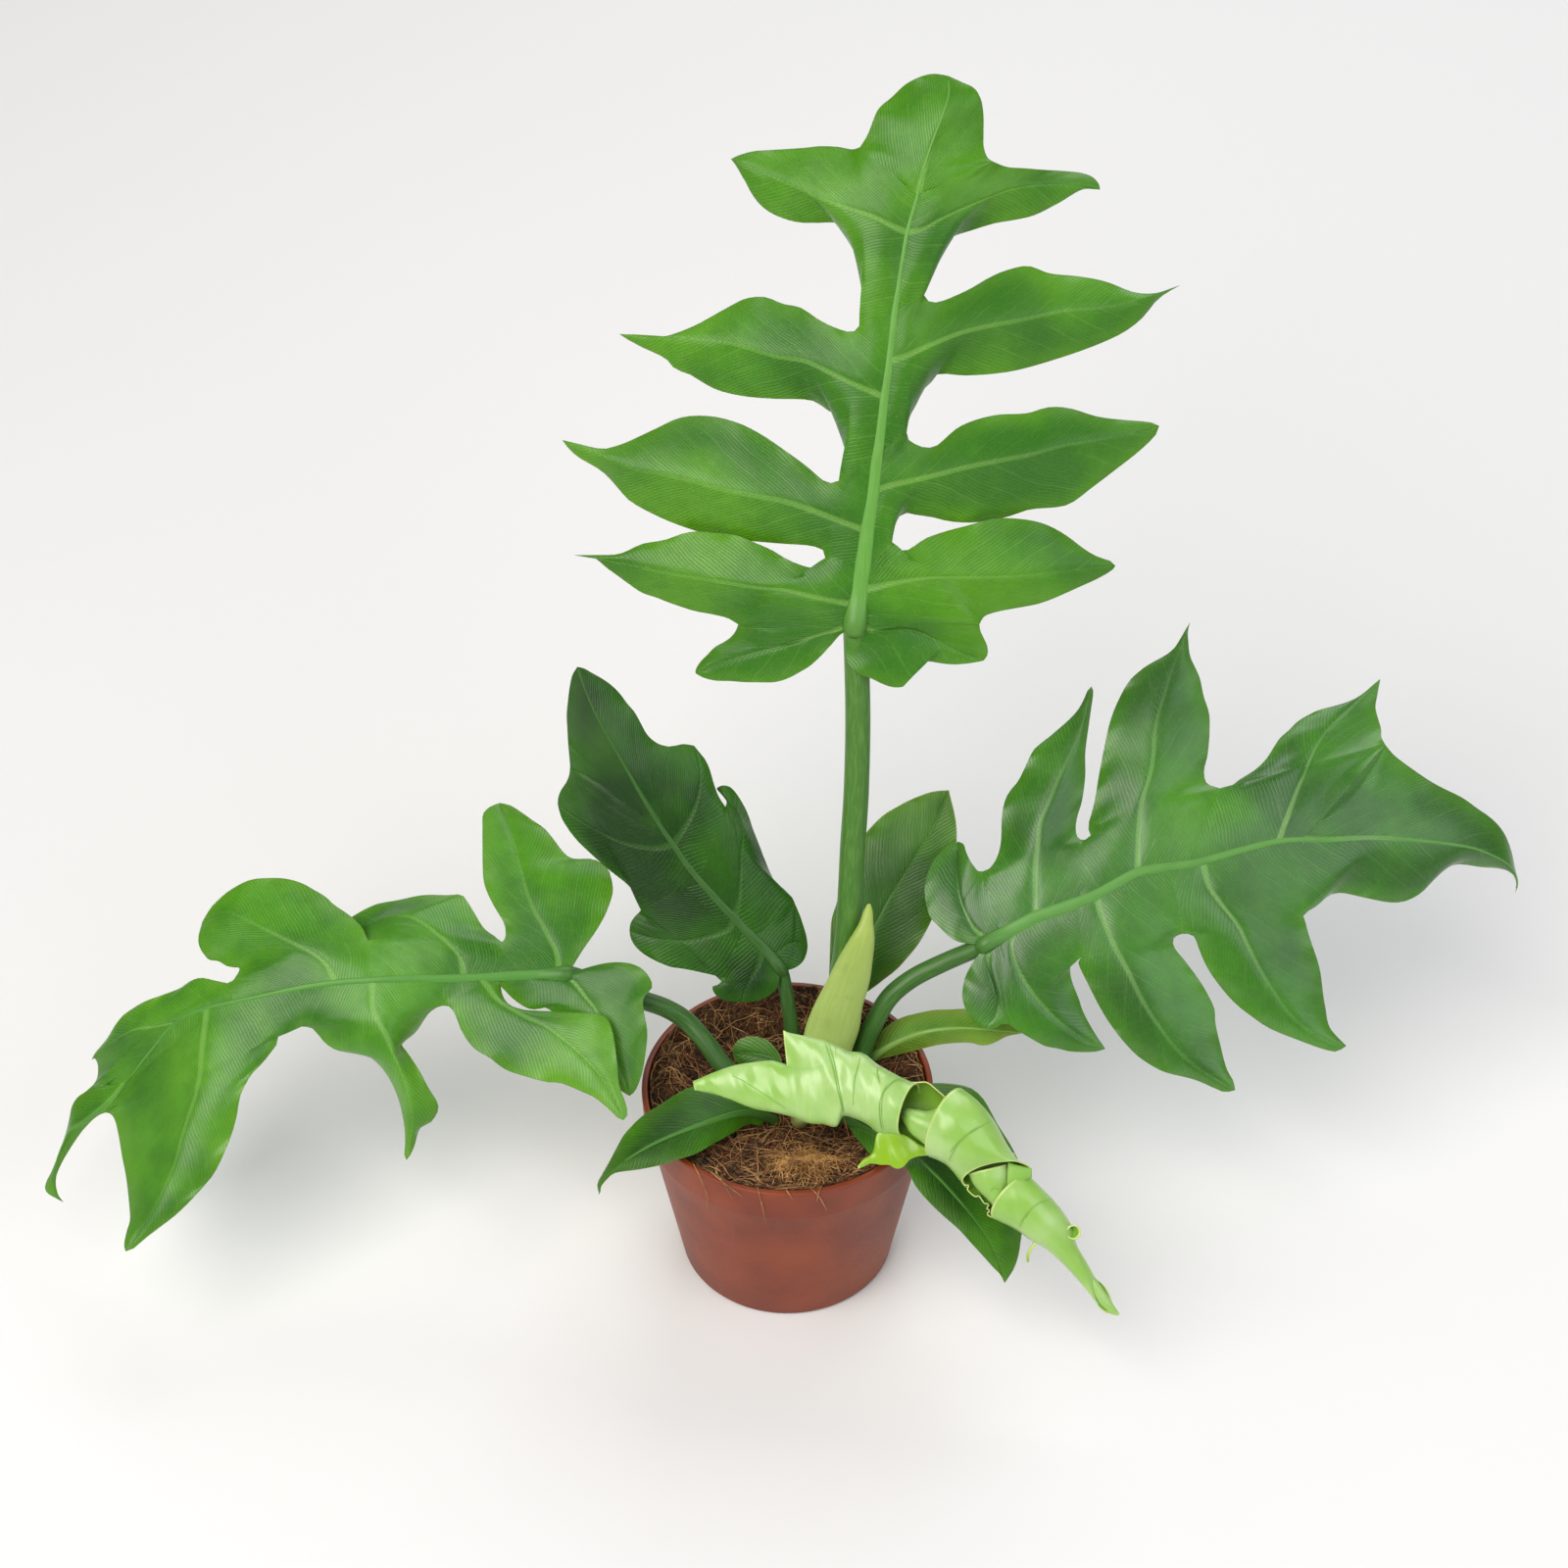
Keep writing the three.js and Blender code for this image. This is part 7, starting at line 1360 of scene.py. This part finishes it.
# Rolled forms: rings from stations [upper x, y, lower x, y, w, half depth, lean]; a lean left out is 0.
def rollRings(stations, sides):
    full = smoothRun([[*station, 0.0][:7] for station in stations])[::2]  # every second point is enough
    ux, uy, lx, ly, w, half, lean = full.T
    wide = np.hypot(ux - lx, uy - ly) + 1e-9
    ax, ay = (uy - ly) / wide, -(ux - lx) / wide
    angle = 2 * np.pi * np.arange(sides) / sides
    c, s = np.cos(angle)[None] / 2, np.sin(angle)[None]
    x = ((ux + lx) / 2)[:, None] + c * (ux - lx)[:, None] - s * (lean * ax)[:, None]
    y = ((uy + ly) / 2)[:, None] + c * (uy - ly)[:, None] - s * (lean * ay)[:, None]
    return np.stack([x, y, w[:, None] + s * half[:, None]], axis=-1)


sheathLook = {"low": "#adc57b", "body": "#a0b95f", "tip": "#9ab14c", "streak": "#c6d58e", "spot": "#6c7d34",
              "roughness": 0.36}
crownStub = {
    "place": (0.008, -0.002, 0.0),
    "profile": [(0, 76.4), (4.4, 76.4), (4.4, 86), (3.7, 87), (4.2, 88.2), (3.4, 90), (2.8, 92.5), (1.2, 94.6),
                (0, 95)],
    "rounding": 0.8, "segments": 64,
}
# Stations are [x, y, w, half width, half depth] as seen. The two lowest rings stand at the heights in low, in
# place of the rings that they cover.
spear = {
    "sides": 56, "low": (76.4, 85.5), "covered": 3,
    "stations": [
      [16, -1.3, -10.5, 7.4, 3.2], [15.8, 6, -5, 8.4, 3.8], [16.4, 14, 0.5, 10.2, 4.6],
      [18.4, 23, 4.5, 11.2, 4.6], [20.8, 32, 9.8, 10.2, 4.2], [24.8, 42, 14.8, 9, 3.7],
      [28, 52, 19.5, 7.2, 3.2], [30.7, 60, 23, 5.2, 2.7], [32.4, 66.5, 24.2, 3, 2],
      [33.2, 71.5, 24.6, 1.9, 1.3], [33.6, 74.4, 24.7, 0.7, 0.6],
    ],
}


# Sheath and crown, living leaf base grown as a papery wrap: pale satin green with fine lengthwise streaks.
def sheathMaterial(name, look):
    material, shader, add = newMaterial(name, {
        "IOR": 1.42, "Coat Weight": 0.1, "Coat Roughness": 0.3, "Subsurface Weight": 0.1,
        "Subsurface Scale": 0.002})
    spot = add("TexCoord", output="Object")
    along, around, _, share = (add("Attribute", output="Fac", attribute_name=key) for key in valueNames[:4])
    streaks = streaky(add, 1.2, around, 0.05, along, 0.00008)
    marks = add("TexNoise", {"Vector": spot, "Scale": 1000 / 7, "Detail": 4.0})
    body, tip, streak, spots = (add("MapRange", values, **softRange) for values in (
        [share, 0.0, 0.35], [share, 0.6, 1.0], [streaks, 0.4, 0.7], [marks, 0.56, 0.8]))
    colour = layered(add, look["low"], [
        (body, 1.0, look["body"]), (tip, 1.0, look["tip"]), (streak, 0.18, look["streak"]),
        (spots, 0.22, look["spot"])])
    rough = add("Math", [streaks, 0.2, look["roughness"]], operation="MULTIPLY_ADD")
    bumps = [(streaks, 0.14)]
    setInputs(material, shader, {"Base Color": colour, "Roughness": rough,
                                 "Normal": reliefNormal(add, 0.6, bumps)})
    return material


def makeSheaths():
    material = sheathMaterial("leaf_sheath_papery", sheathLook)
    build = revolved(rounded(crownStub["profile"], crownStub["rounding"]), crownStub["segments"])
    build["points"][0] = build["points"][0] + crownStub["place"]
    finishPiece("crown_stub", build, [material], "crown")

    build = newBuild()
    sides, stations = spear["sides"], spear["stations"]
    angle = 2 * np.pi * np.arange(sides) / sides
    (x, y, _), (wide, deep) = place(stations[0][:3]), np.array(stations[0][3:]) / 1000
    low = [np.column_stack([x + wide * np.cos(angle), y - deep * np.sin(angle), np.full(sides, z / 1000)])
           for z in spear["low"]]
    rings = place(rollRings([[x + a, y, x - a, y, w, b] for x, y, w, a, b in stations], sides))
    addTube(build, np.concatenate([low, rings[spear["covered"]:]]), 0)
    finishPiece("spear_sheath", build, [material], "spear")


makeSheaths()
print("stage: sheaths")


newLook = {"line": "#86b64a", "rim": "#c9dc83", "roughness": 0.33, "thickness": 0.5, "flapSides": 40,
           "stalkRadius": (3.6, 3.2), "tendrilRadius": (0.8, 0.5), "creaseRadius": 0.2}
# Surfaces of the new leaf: pale lies in broad patches over the body, and deep in its ripples.
newSurfaces = {
    "skin": {"body": "#8fbe52", "deep": "#76a83a", "pale": "#b8d692"},
    "flap": {"body": "#6e9c02", "deep": "#6e9c02", "pale": "#9ac80e"},
    # The inside of the rolls is painted a darker green than the skin, as painted shade within them.
    "inside": {"body": "#7aa838", "deep": "#5f9026", "pale": "#7aa838"},
    "edge": {"body": "#c9dc83", "deep": "#b8d692", "pale": "#c9dc83"},
}


# New leaf, just grown and still rolled, with a fresh waxed skin: pale and satin, with soft ripples, fine
# strokes across the roll and a light rim.
def newLeafMaterial(name, look):
    material, shader, add = newMaterial(name, {
        "IOR": 1.45, "Coat Weight": 0.5, "Coat Roughness": 0.28, "Subsurface Weight": 0.12,
        "Subsurface Scale": 0.002})
    spot = add("TexCoord", output="Object")
    broad, small, ripple = (add("TexNoise", {"Vector": spot, "Scale": 1000 / size, "Detail": detail})
                            for size, detail in ((26, 2.0), (3.5, 4.0), (9, 2.0)))
    along, around, _, near = (add("Attribute", output="Fac", attribute_name=key) for key in valueNames[:4])
    strokes = streaky(add, 0.9, along, 0.001, around, 0.006)
    patches, waves, lines, mottle, rim = (add("MapRange", values, **softRange) for values in (
        [broad, 0.35, 0.65], [ripple, 0.45, 0.75], [strokes, 0.4, 0.75], [small, 0.55, 0.8],
        [near, 0.5, 1.0, 1, 0]))
    colour = layered(add, look["body"], [
        (patches, 0.6, look["pale"]), (waves, 0.22, look["deep"]), (lines, 0.16, newLook["line"]),
        (mottle, 0.08, newLook["line"]), (rim, 0.7, newLook["rim"])])
    rough = add("Math", [small, 0.14, newLook["roughness"] - 0.07], operation="MULTIPLY_ADD")
    bumps = [(small, 0.06), (strokes, 0.09), (ripple, 0.22)]
    setInputs(material, shader, {"Base Color": colour, "Roughness": rough,
                                 "Normal": reliefNormal(add, 0.5, bumps)})
    return material


# New leaf, rolled up in three segments: open tubes, with stations as above, and loose sheets beside them.
newStalk = [[5, -14, 3.6], [5, -14, 12], [5.2, -13, 24], [6, -11.5, 36], [8, -8, 42]]

earTube = [
  [-38.8, 1.2, -38.2, -2, 41, 0.6], [-31, 4.6, -31, -3.4, 42, 1.5], [-22, 7.7, -22.5, -6.3, 43, 2.4],
  [-13, 9.2, -13.5, -9.7, 44, 3.4], [-6, 9.8, -5, -11.3, 44.5, 4.6], [1, 8.3, 2, -13, 45, 6],
  [9, 12, 9, -15.6, 45.5, 7.4], [16, 17, 15, -16, 46, 8.5], [21.5, 15.4, 20, -17, 46.5, 9.2],
  [25.5, 13.6, 22.8, -12.8, 47, 9.8], [31, 12.8, 27.5, -13.6, 47.5, 10.2],
  [37, 8.3, 33, -16.2, 48, 10.2, 0.5], [43, 4.9, 37.6, -19.6, 49, 10, 1.6],
  [48.5, 2, 42.5, -20, 49.5, 9.4, 2.6], [53.3, 0.2, 46.8, -20.6, 50, 9, 3.2],
]

cornerFold = [
  [-1.7, 22.2, -0.2, 8, 47.5, 0.6], [0.6, 21.2, 1.6, 6, 47.7, 1.2], [4, 20.5, 4.4, 3, 47.5, 2.6],
  [9, 19.6, 9, 0, 47, 4.6], [14, 18.6, 14, -6, 46.6, 6.6], [20, 16, 20, -8, 46.6, 7.6],
]

earInside = [
  [47, 1, 43, -19.8, 49.4, 8.4], [53.2, 0.9, 47.6, -20.8, 49.6, 8], [57.4, 0.9, 51.6, -23, 49.8, 7.4],
  [61.4, -2.1, 55.4, -25.6, 50, 6.6], [65, -5.2, 59, -27.4, 50.4, 6],
]

firstCore = [
  [47.2, -10.9, 47.2, -13.6, 50, 0.8], [49.6, -10, 48.4, -16, 50, 3.4], [53.4, -10.4, 50.6, -19.6, 50.2, 5],
  [57.4, -11, 54, -22.4, 50.8, 6], [62, -9.8, 58, -25.4, 51.6, 7.2],
]

secondTube = [
  [71.4, -1.6, 58.4, -29.4, 52, 9.4, 5.6], [77.6, -6.3, 61.2, -30.4, 52.5, 11.2, 4.8],
  [84.6, -14.4, 65, -32.4, 52.5, 11.8, 4.4], [90.8, -25.6, 68, -35.2, 52, 11.4, 4.4],
  [96.4, -33.2, 70.4, -37.9, 51.4, 9.8, 5], [100.2, -35, 72.2, -40.2, 51, 8.8, 5.6],
]

secondFlap = [
  [90.8, -31.9, 90.4, -42.4, 54.6, 0.6], [93, -32.7, 92, -41.6, 54.8, 1], [96.6, -33.7, 96, -40.2, 54.2, 1.2],
  [100.4, -34.6, 100.5, -37.9, 53, 0.7],
]

secondInside = [
  [93, -28, 71, -37.6, 50, 7.4], [94, -31, 73.2, -41.2, 49.8, 7.2], [95, -32.6, 74.6, -41.4, 49.6, 7],
  [96, -34, 74.1, -43, 49.4, 6.8], [97, -35.4, 75.6, -44.8, 49.2, 6.6], [97.6, -37, 77.4, -46, 49, 6.6],
  [98, -38.4, 78.8, -45.8, 48.8, 6.4], [98.4, -39.6, 80.2, -47.6, 48.6, 6.4],
  [98.8, -40.8, 81.2, -48.8, 48.4, 6.2], [99, -42, 82.8, -49.2, 48.2, 6.2], [99.2, -43, 82.2, -51, 48, 6],
  [99.4, -44, 83.2, -51.7, 47.8, 6], [99.6, -45, 82.3, -53.2, 47.6, 5.8], [99.8, -46, 84, -54.6, 47.4, 5.6],
]

secondCore = [
  [90.6, -32.6, 74.6, -36.4, 51.2, 5.8], [91.2, -37, 76.8, -41, 50.8, 6.2], [91.2, -41, 80, -44.6, 50, 6],
  [91.6, -45.4, 84.6, -49.4, 49.4, 5.8],
]

thirdTube = [
  [99.6, -38, 84.4, -54.6, 48.8, 8, 4.5], [103.4, -41.6, 90, -57.2, 48.6, 8.6, 3.6],
  [108.6, -46.8, 95, -59.9, 48.2, 8.6, 2.6], [113.4, -52.6, 101, -64.4, 47.5, 8, 1.6],
  [116.8, -58.2, 106.4, -67.4, 46.8, 6.6, 0.8], [118.8, -65.6, 112, -72.2, 46, 4.8],
  [123, -73.2, 117.8, -78, 44.6, 3.6], [125.4, -77.6, 122.4, -83.4, 43.6, 3, 0.8],
  [126.4, -79.8, 126.6, -88.2, 42.8, 2.6, 1.6], [127, -81, 132.6, -94, 41.8, 1.9, 3],
]

endTip = [
  [124.6, -77.4, 121.6, -81.6, 42.9, 1.4], [127.6, -81.2, 125.2, -85.6, 42.4, 1.8],
  [130.6, -85.6, 128.4, -90.2, 41.8, 1.6], [133.6, -90, 131.8, -93.4, 41, 1.2],
  [136.5, -94.3, 135.8, -95, 40.1, 0.3],
]

yellowFlap = [
  [29, -33.8, 29.1, -34.4, 49.2, 0.5], [31, -31.2, 31.4, -33.4, 49.4, 0.6],
  [33.6, -29.5, 33.8, -32.3, 49.6, 0.6], [35.4, -27.6, 36, -32.3, 49.8, 0.7],
  [37.2, -20, 38.4, -32.7, 50, 0.7], [40.6, -19.4, 42, -32.8, 50, 0.7], [43.2, -19.6, 43.8, -33.9, 50, 0.7],
  [46, -20.2, 45.8, -34.3, 50, 0.7], [48.6, -21, 48, -33.2, 50, 0.7], [51.6, -22.8, 50.4, -30.6, 50.2, 0.7],
  [54.6, -25, 53.6, -29.3, 50.4, 0.7], [58.6, -26.4, 57.8, -28.9, 50.6, 0.7],
]

tendril = [[104, -64, 48], [101.6, -65.6, 48], [100, -68, 47.5], [99, -70.4, 47], [99, -72.9, 46.5]]

eyelet = [(113.4, -59.6, 46.5, 2.0), (115.4, -60, 48.6, 2.4), (117.2, -60.5, 50.6, 2.6),
          (118, -60.8, 51.4, 2.75)]

# Tubes of the new leaf: stations, sides, height of the soft folds in mm and seed.
newTubes = [(earTube, 72, 1.3, 1), (secondTube, 72, 0.7, 2), (thirdTube, 72, 0.5, 3), (cornerFold, 72, 1.1, 1),
            (firstCore, 48, 0.4, 4), (secondCore, 48, 0.3, 5), (endTip, 48, 0.1, 6)]

# Fine ribs and folds along the surface, as seen.
foldLines = [
  [[15.4, 17.6], [17, 13], [18.5, 8], [19.6, 3], [20.6, -2], [21.6, -6], [22.5, -10], [23, -12.4]],
  [[17, 17], [18.5, 12], [20, 6], [21, 0], [22.4, -7], [23.4, -12.4]],
  [[-23, 4], [-18, 1.5], [-14, -1], [-10, -3.6], [-5, -7.2], [-1, -9.6]],
  [[30, 11.6], [28.9, 7], [27.8, 3], [27.2, -3], [27, -8.6]],
  [[37, 7.4], [37.2, 3.6], [38, 0.4]],
  [[49, 3], [44.5, 2], [41.4, -0.6], [39.6, -3.6], [38.8, -8], [38.8, -13], [39.6, -18.6]],
  [[41, 0.2], [39, -3.8], [37.9, -8], [38, -14], [38.9, -19.2]],
  [[66.4, -31.4], [68, -28], [70, -25], [72.5, -22.2], [75.6, -19.7], [79, -17.5], [84, -14.6]],
  [[67, -27.6], [69, -25], [71.4, -22.4], [74.4, -20], [78.6, -17]],
  [[95.4, -58.6], [97, -55.4], [99, -52.4], [101.4, -50.2], [104.4, -48.2], [108.4, -46.8]],
  [[98, -54.8], [99.2, -52.8], [101, -50.8]],
  [[83.4, -43.6], [85.4, -42.6], [88.4, -43.6]],
]


# A thin sheet over a grid of drawn points; looks are the material numbers of its front, its back and its edges.
def addSheet(build, drawn, looks, closed=False):
    grid = place(drawn)
    rows, columns = grid.shape[:2]
    tangent = np.gradient(grid, axis=0)
    if closed:
        crossways = np.roll(grid, -1, axis=1) - np.roll(grid, 1, axis=1)
    else:
        crossways = np.gradient(grid, axis=1)
    normal = np.cross(crossways, tangent)
    normal /= np.linalg.norm(normal, axis=2)[..., None] + 1e-12
    count = rows * columns
    front, back = (grid + normal * newLook["thickness"] / 2000 * side for side in (1, -1))
    faces = gridFaces(rows, columns, closed)
    along = np.cumsum(np.r_[0, np.linalg.norm(np.diff(grid, axis=0), axis=2).mean(axis=1)]) * 1000
    values = np.zeros((rows, columns, len(valueNames)))
    values[..., 0] = along[:, None]
    values[..., 1] = np.arange(columns)[None] / columns
    values[..., 3] = np.minimum(along, along[-1] - along)[:, None]
    if not closed:
        around = np.cumsum(np.linalg.norm(np.diff(grid, axis=1, prepend=grid[:, :1]), axis=2), axis=1) * 1000
        values[..., 3] = np.minimum(values[..., 3], np.minimum(around, around[:, -1:] - around))
    values = values.reshape(count, -1)
    doubled = np.vstack([values, values])
    end = (rows - 1) * columns
    last = end + columns - 1
    if closed:
        loops = [[*range(columns), 0], [*range(last, end - 1, -1), last]]
    else:
        loops = [[*range(columns), *range(2 * columns - 1, last + 1, columns), *range(last - 1, end - 1, -1),
                  *range(end - columns, -1, -columns)]]
    walls = []
    for loop in loops:
        for a, b in zip(loop, loop[1:]):
            walls += [(b, a, a + count), (b, a + count, b + count)]
    start = build["count"]
    addTriangles(build, np.vstack([front.reshape(-1, 3), back.reshape(-1, 3)]), faces, looks[0], doubled[faces])
    for part, look in ((faces[:, ::-1] + count, looks[1]), (np.array(walls), looks[2])):
        build["faces"].append(part + start)
        build["looks"].append(np.full(len(part), look))
        build["values"].append(doubled[part])


# Soft folds in the drawn depth of a rolled sheet.
def folded(rings, seed, height):
    rings = rings.copy()
    for row in rings.reshape(-1, 3):
        x, y = row[0], row[1]
        bend = noise.noise(Vector(((x + 0.5 * y) / 9, (y - 0.4 * x) / 17, seed)))
        bend += 0.5 * noise.noise(Vector(((x + 0.3 * y) / 4, y / 9, seed + 3)))
        row[2] += height * bend
    return rings


# Points just in front of the rolls that they cross.
def frontDepths(allRings, points):
    dense = np.vstack([r.reshape(-1, 3) for r in allRings])
    out = []
    for x, y in points:
        far = np.hypot(dense[:, 0] - x, dense[:, 1] - y)
        near = far < max(1.2, far.min() * 1.5)
        out.append((x, y, dense[near, 2].max() + 0.27))
    return out


# The lower half of a roll.
def halfRings(stations, sides):
    return rollRings(stations, 2 * sides)[:, [*range(sides, 2 * sides), 0]]


def makeNewLeaf():
    materials = [newLeafMaterial("new_leaf_waxy_" + part, look) for part, look in newSurfaces.items()]
    materials.append(newMaterial("new_leaf_waxy_crease", {"Base Color": newLook["line"], "Roughness": 0.5,
                                                          "IOR": 1.45})[0])
    skin, flap, inside, edge, crease = range(len(materials))
    build = newBuild()
    fronts = []
    for stations, sides, height, seed in newTubes:
        rings = folded(rollRings(stations, sides), seed, height)
        fronts.append(rings)
        addSheet(build, rings, (skin, inside, edge), closed=True)
    sides = newLook["flapSides"]
    addSheet(build, folded(rollRings(secondFlap, sides), 7, 0.3), (crease, inside, edge), closed=True)
    for stations in (earInside, secondInside):
        addSheet(build, halfRings(stations, sides), (skin, inside, edge))
    addSheet(build, folded(rollRings(yellowFlap, sides), 9, 0.8), (flap, flap, edge), closed=True)
    angle = 2 * np.pi * np.arange(sides) / sides
    rings = np.array([[(x + r * np.cos(a), y + r * np.sin(a), w) for a in angle] for x, y, w, r in eyelet])
    addSheet(build, rings, (skin, inside, edge), closed=True)
    for line in foldLines:
        run = place(smoothRun(frontDepths(fronts, line)))
        taper = np.sin(np.pi * np.linspace(0.06, 0.94, len(run))) ** 0.5 * newLook["creaseRadius"] / 1000
        addTube(build, tubeRings(run, taper, taper, 8), crease)
    full = smoothRun(stalkPath(newStalk))
    full = full[np.r_[True, np.diff(lengths(full)) > 1e-7]]
    radius = np.linspace(*newLook["stalkRadius"], len(full)) / 1000
    addTube(build, tubeRings(full, radius, radius, 24), skin)
    thin = place(smoothRun(tendril))
    taper = np.linspace(*newLook["tendrilRadius"], len(thin)) / 1000
    addTube(build, tubeRings(thin, taper, taper, 8), flap)
    finishPiece("leaf_new_rolled", build, materials, "leaf_new")


makeNewLeaf()
print("stage: new leaf")


# Floor, camera side light, weaker light from the right and a light behind; sizes in metres, energy in watts.
stageLook = {
    "floor": "#e6e6e6", "floorSize": 6.0, "world": "#f6f8fb", "worldStrength": 0.18,
    "lamps": {
        "key": {"where": (-0.95, -1.2, 1.95), "target": (0, 0, 0.2), "size": 1.8, "watts": 59,
                "colour": "#fffaf4"},
        "fill": {"where": (1.6, -1.1, 1.6), "target": (0, 0, 0.2), "size": 1.8, "watts": 22,
                 "colour": "#f4f7ff"},
        "rim": {"where": (0.5, 1.7, 1.9), "target": (0, 0, 0.25), "size": 1.8, "watts": 30,
                "colour": "#ffffff"},
    },
}


# Floor, a board rolled with matt paint: even and pale, without a gleam.
def makeFloor():
    size = stageLook["floorSize"]
    mesh = bpy.data.meshes.new("floor")
    mesh.from_pydata([(-size, -size, 0), (size, -size, 0), (size, size, 0), (-size, size, 0)], [],
                     [(0, 1, 2, 3)])
    floor = bpy.data.objects.new("floor", mesh)
    bpy.context.collection.objects.link(floor)
    mesh.materials.append(newMaterial("floor_matt_paint",
                                      {"Base Color": stageLook["floor"], "Roughness": 0.9})[0])


def makeLight():
    world = bpy.data.worlds.new("studio")
    world.use_nodes = True
    background = world.node_tree.nodes["Background"]
    background.inputs["Color"].default_value = linear(stageLook["world"])
    background.inputs["Strength"].default_value = stageLook["worldStrength"]
    bpy.context.scene.world = world
    bpy.context.scene.view_settings.view_transform = "Standard"
    for name, lamp in stageLook["lamps"].items():
        data = bpy.data.lights.new(name, "AREA")
        data.size, data.energy, data.color = lamp["size"], lamp["watts"], linear(lamp["colour"])[:3]
        light = bpy.data.objects.new(name, data)
        light.location = lamp["where"]
        light.rotation_mode = "QUATERNION"
        light.rotation_quaternion = (Vector(lamp["target"]) - Vector(lamp["where"])).to_track_quat("-Z", "Y")
        bpy.context.collection.objects.link(light)


makeFloor()
makeLight()
print("stage: floor and light")
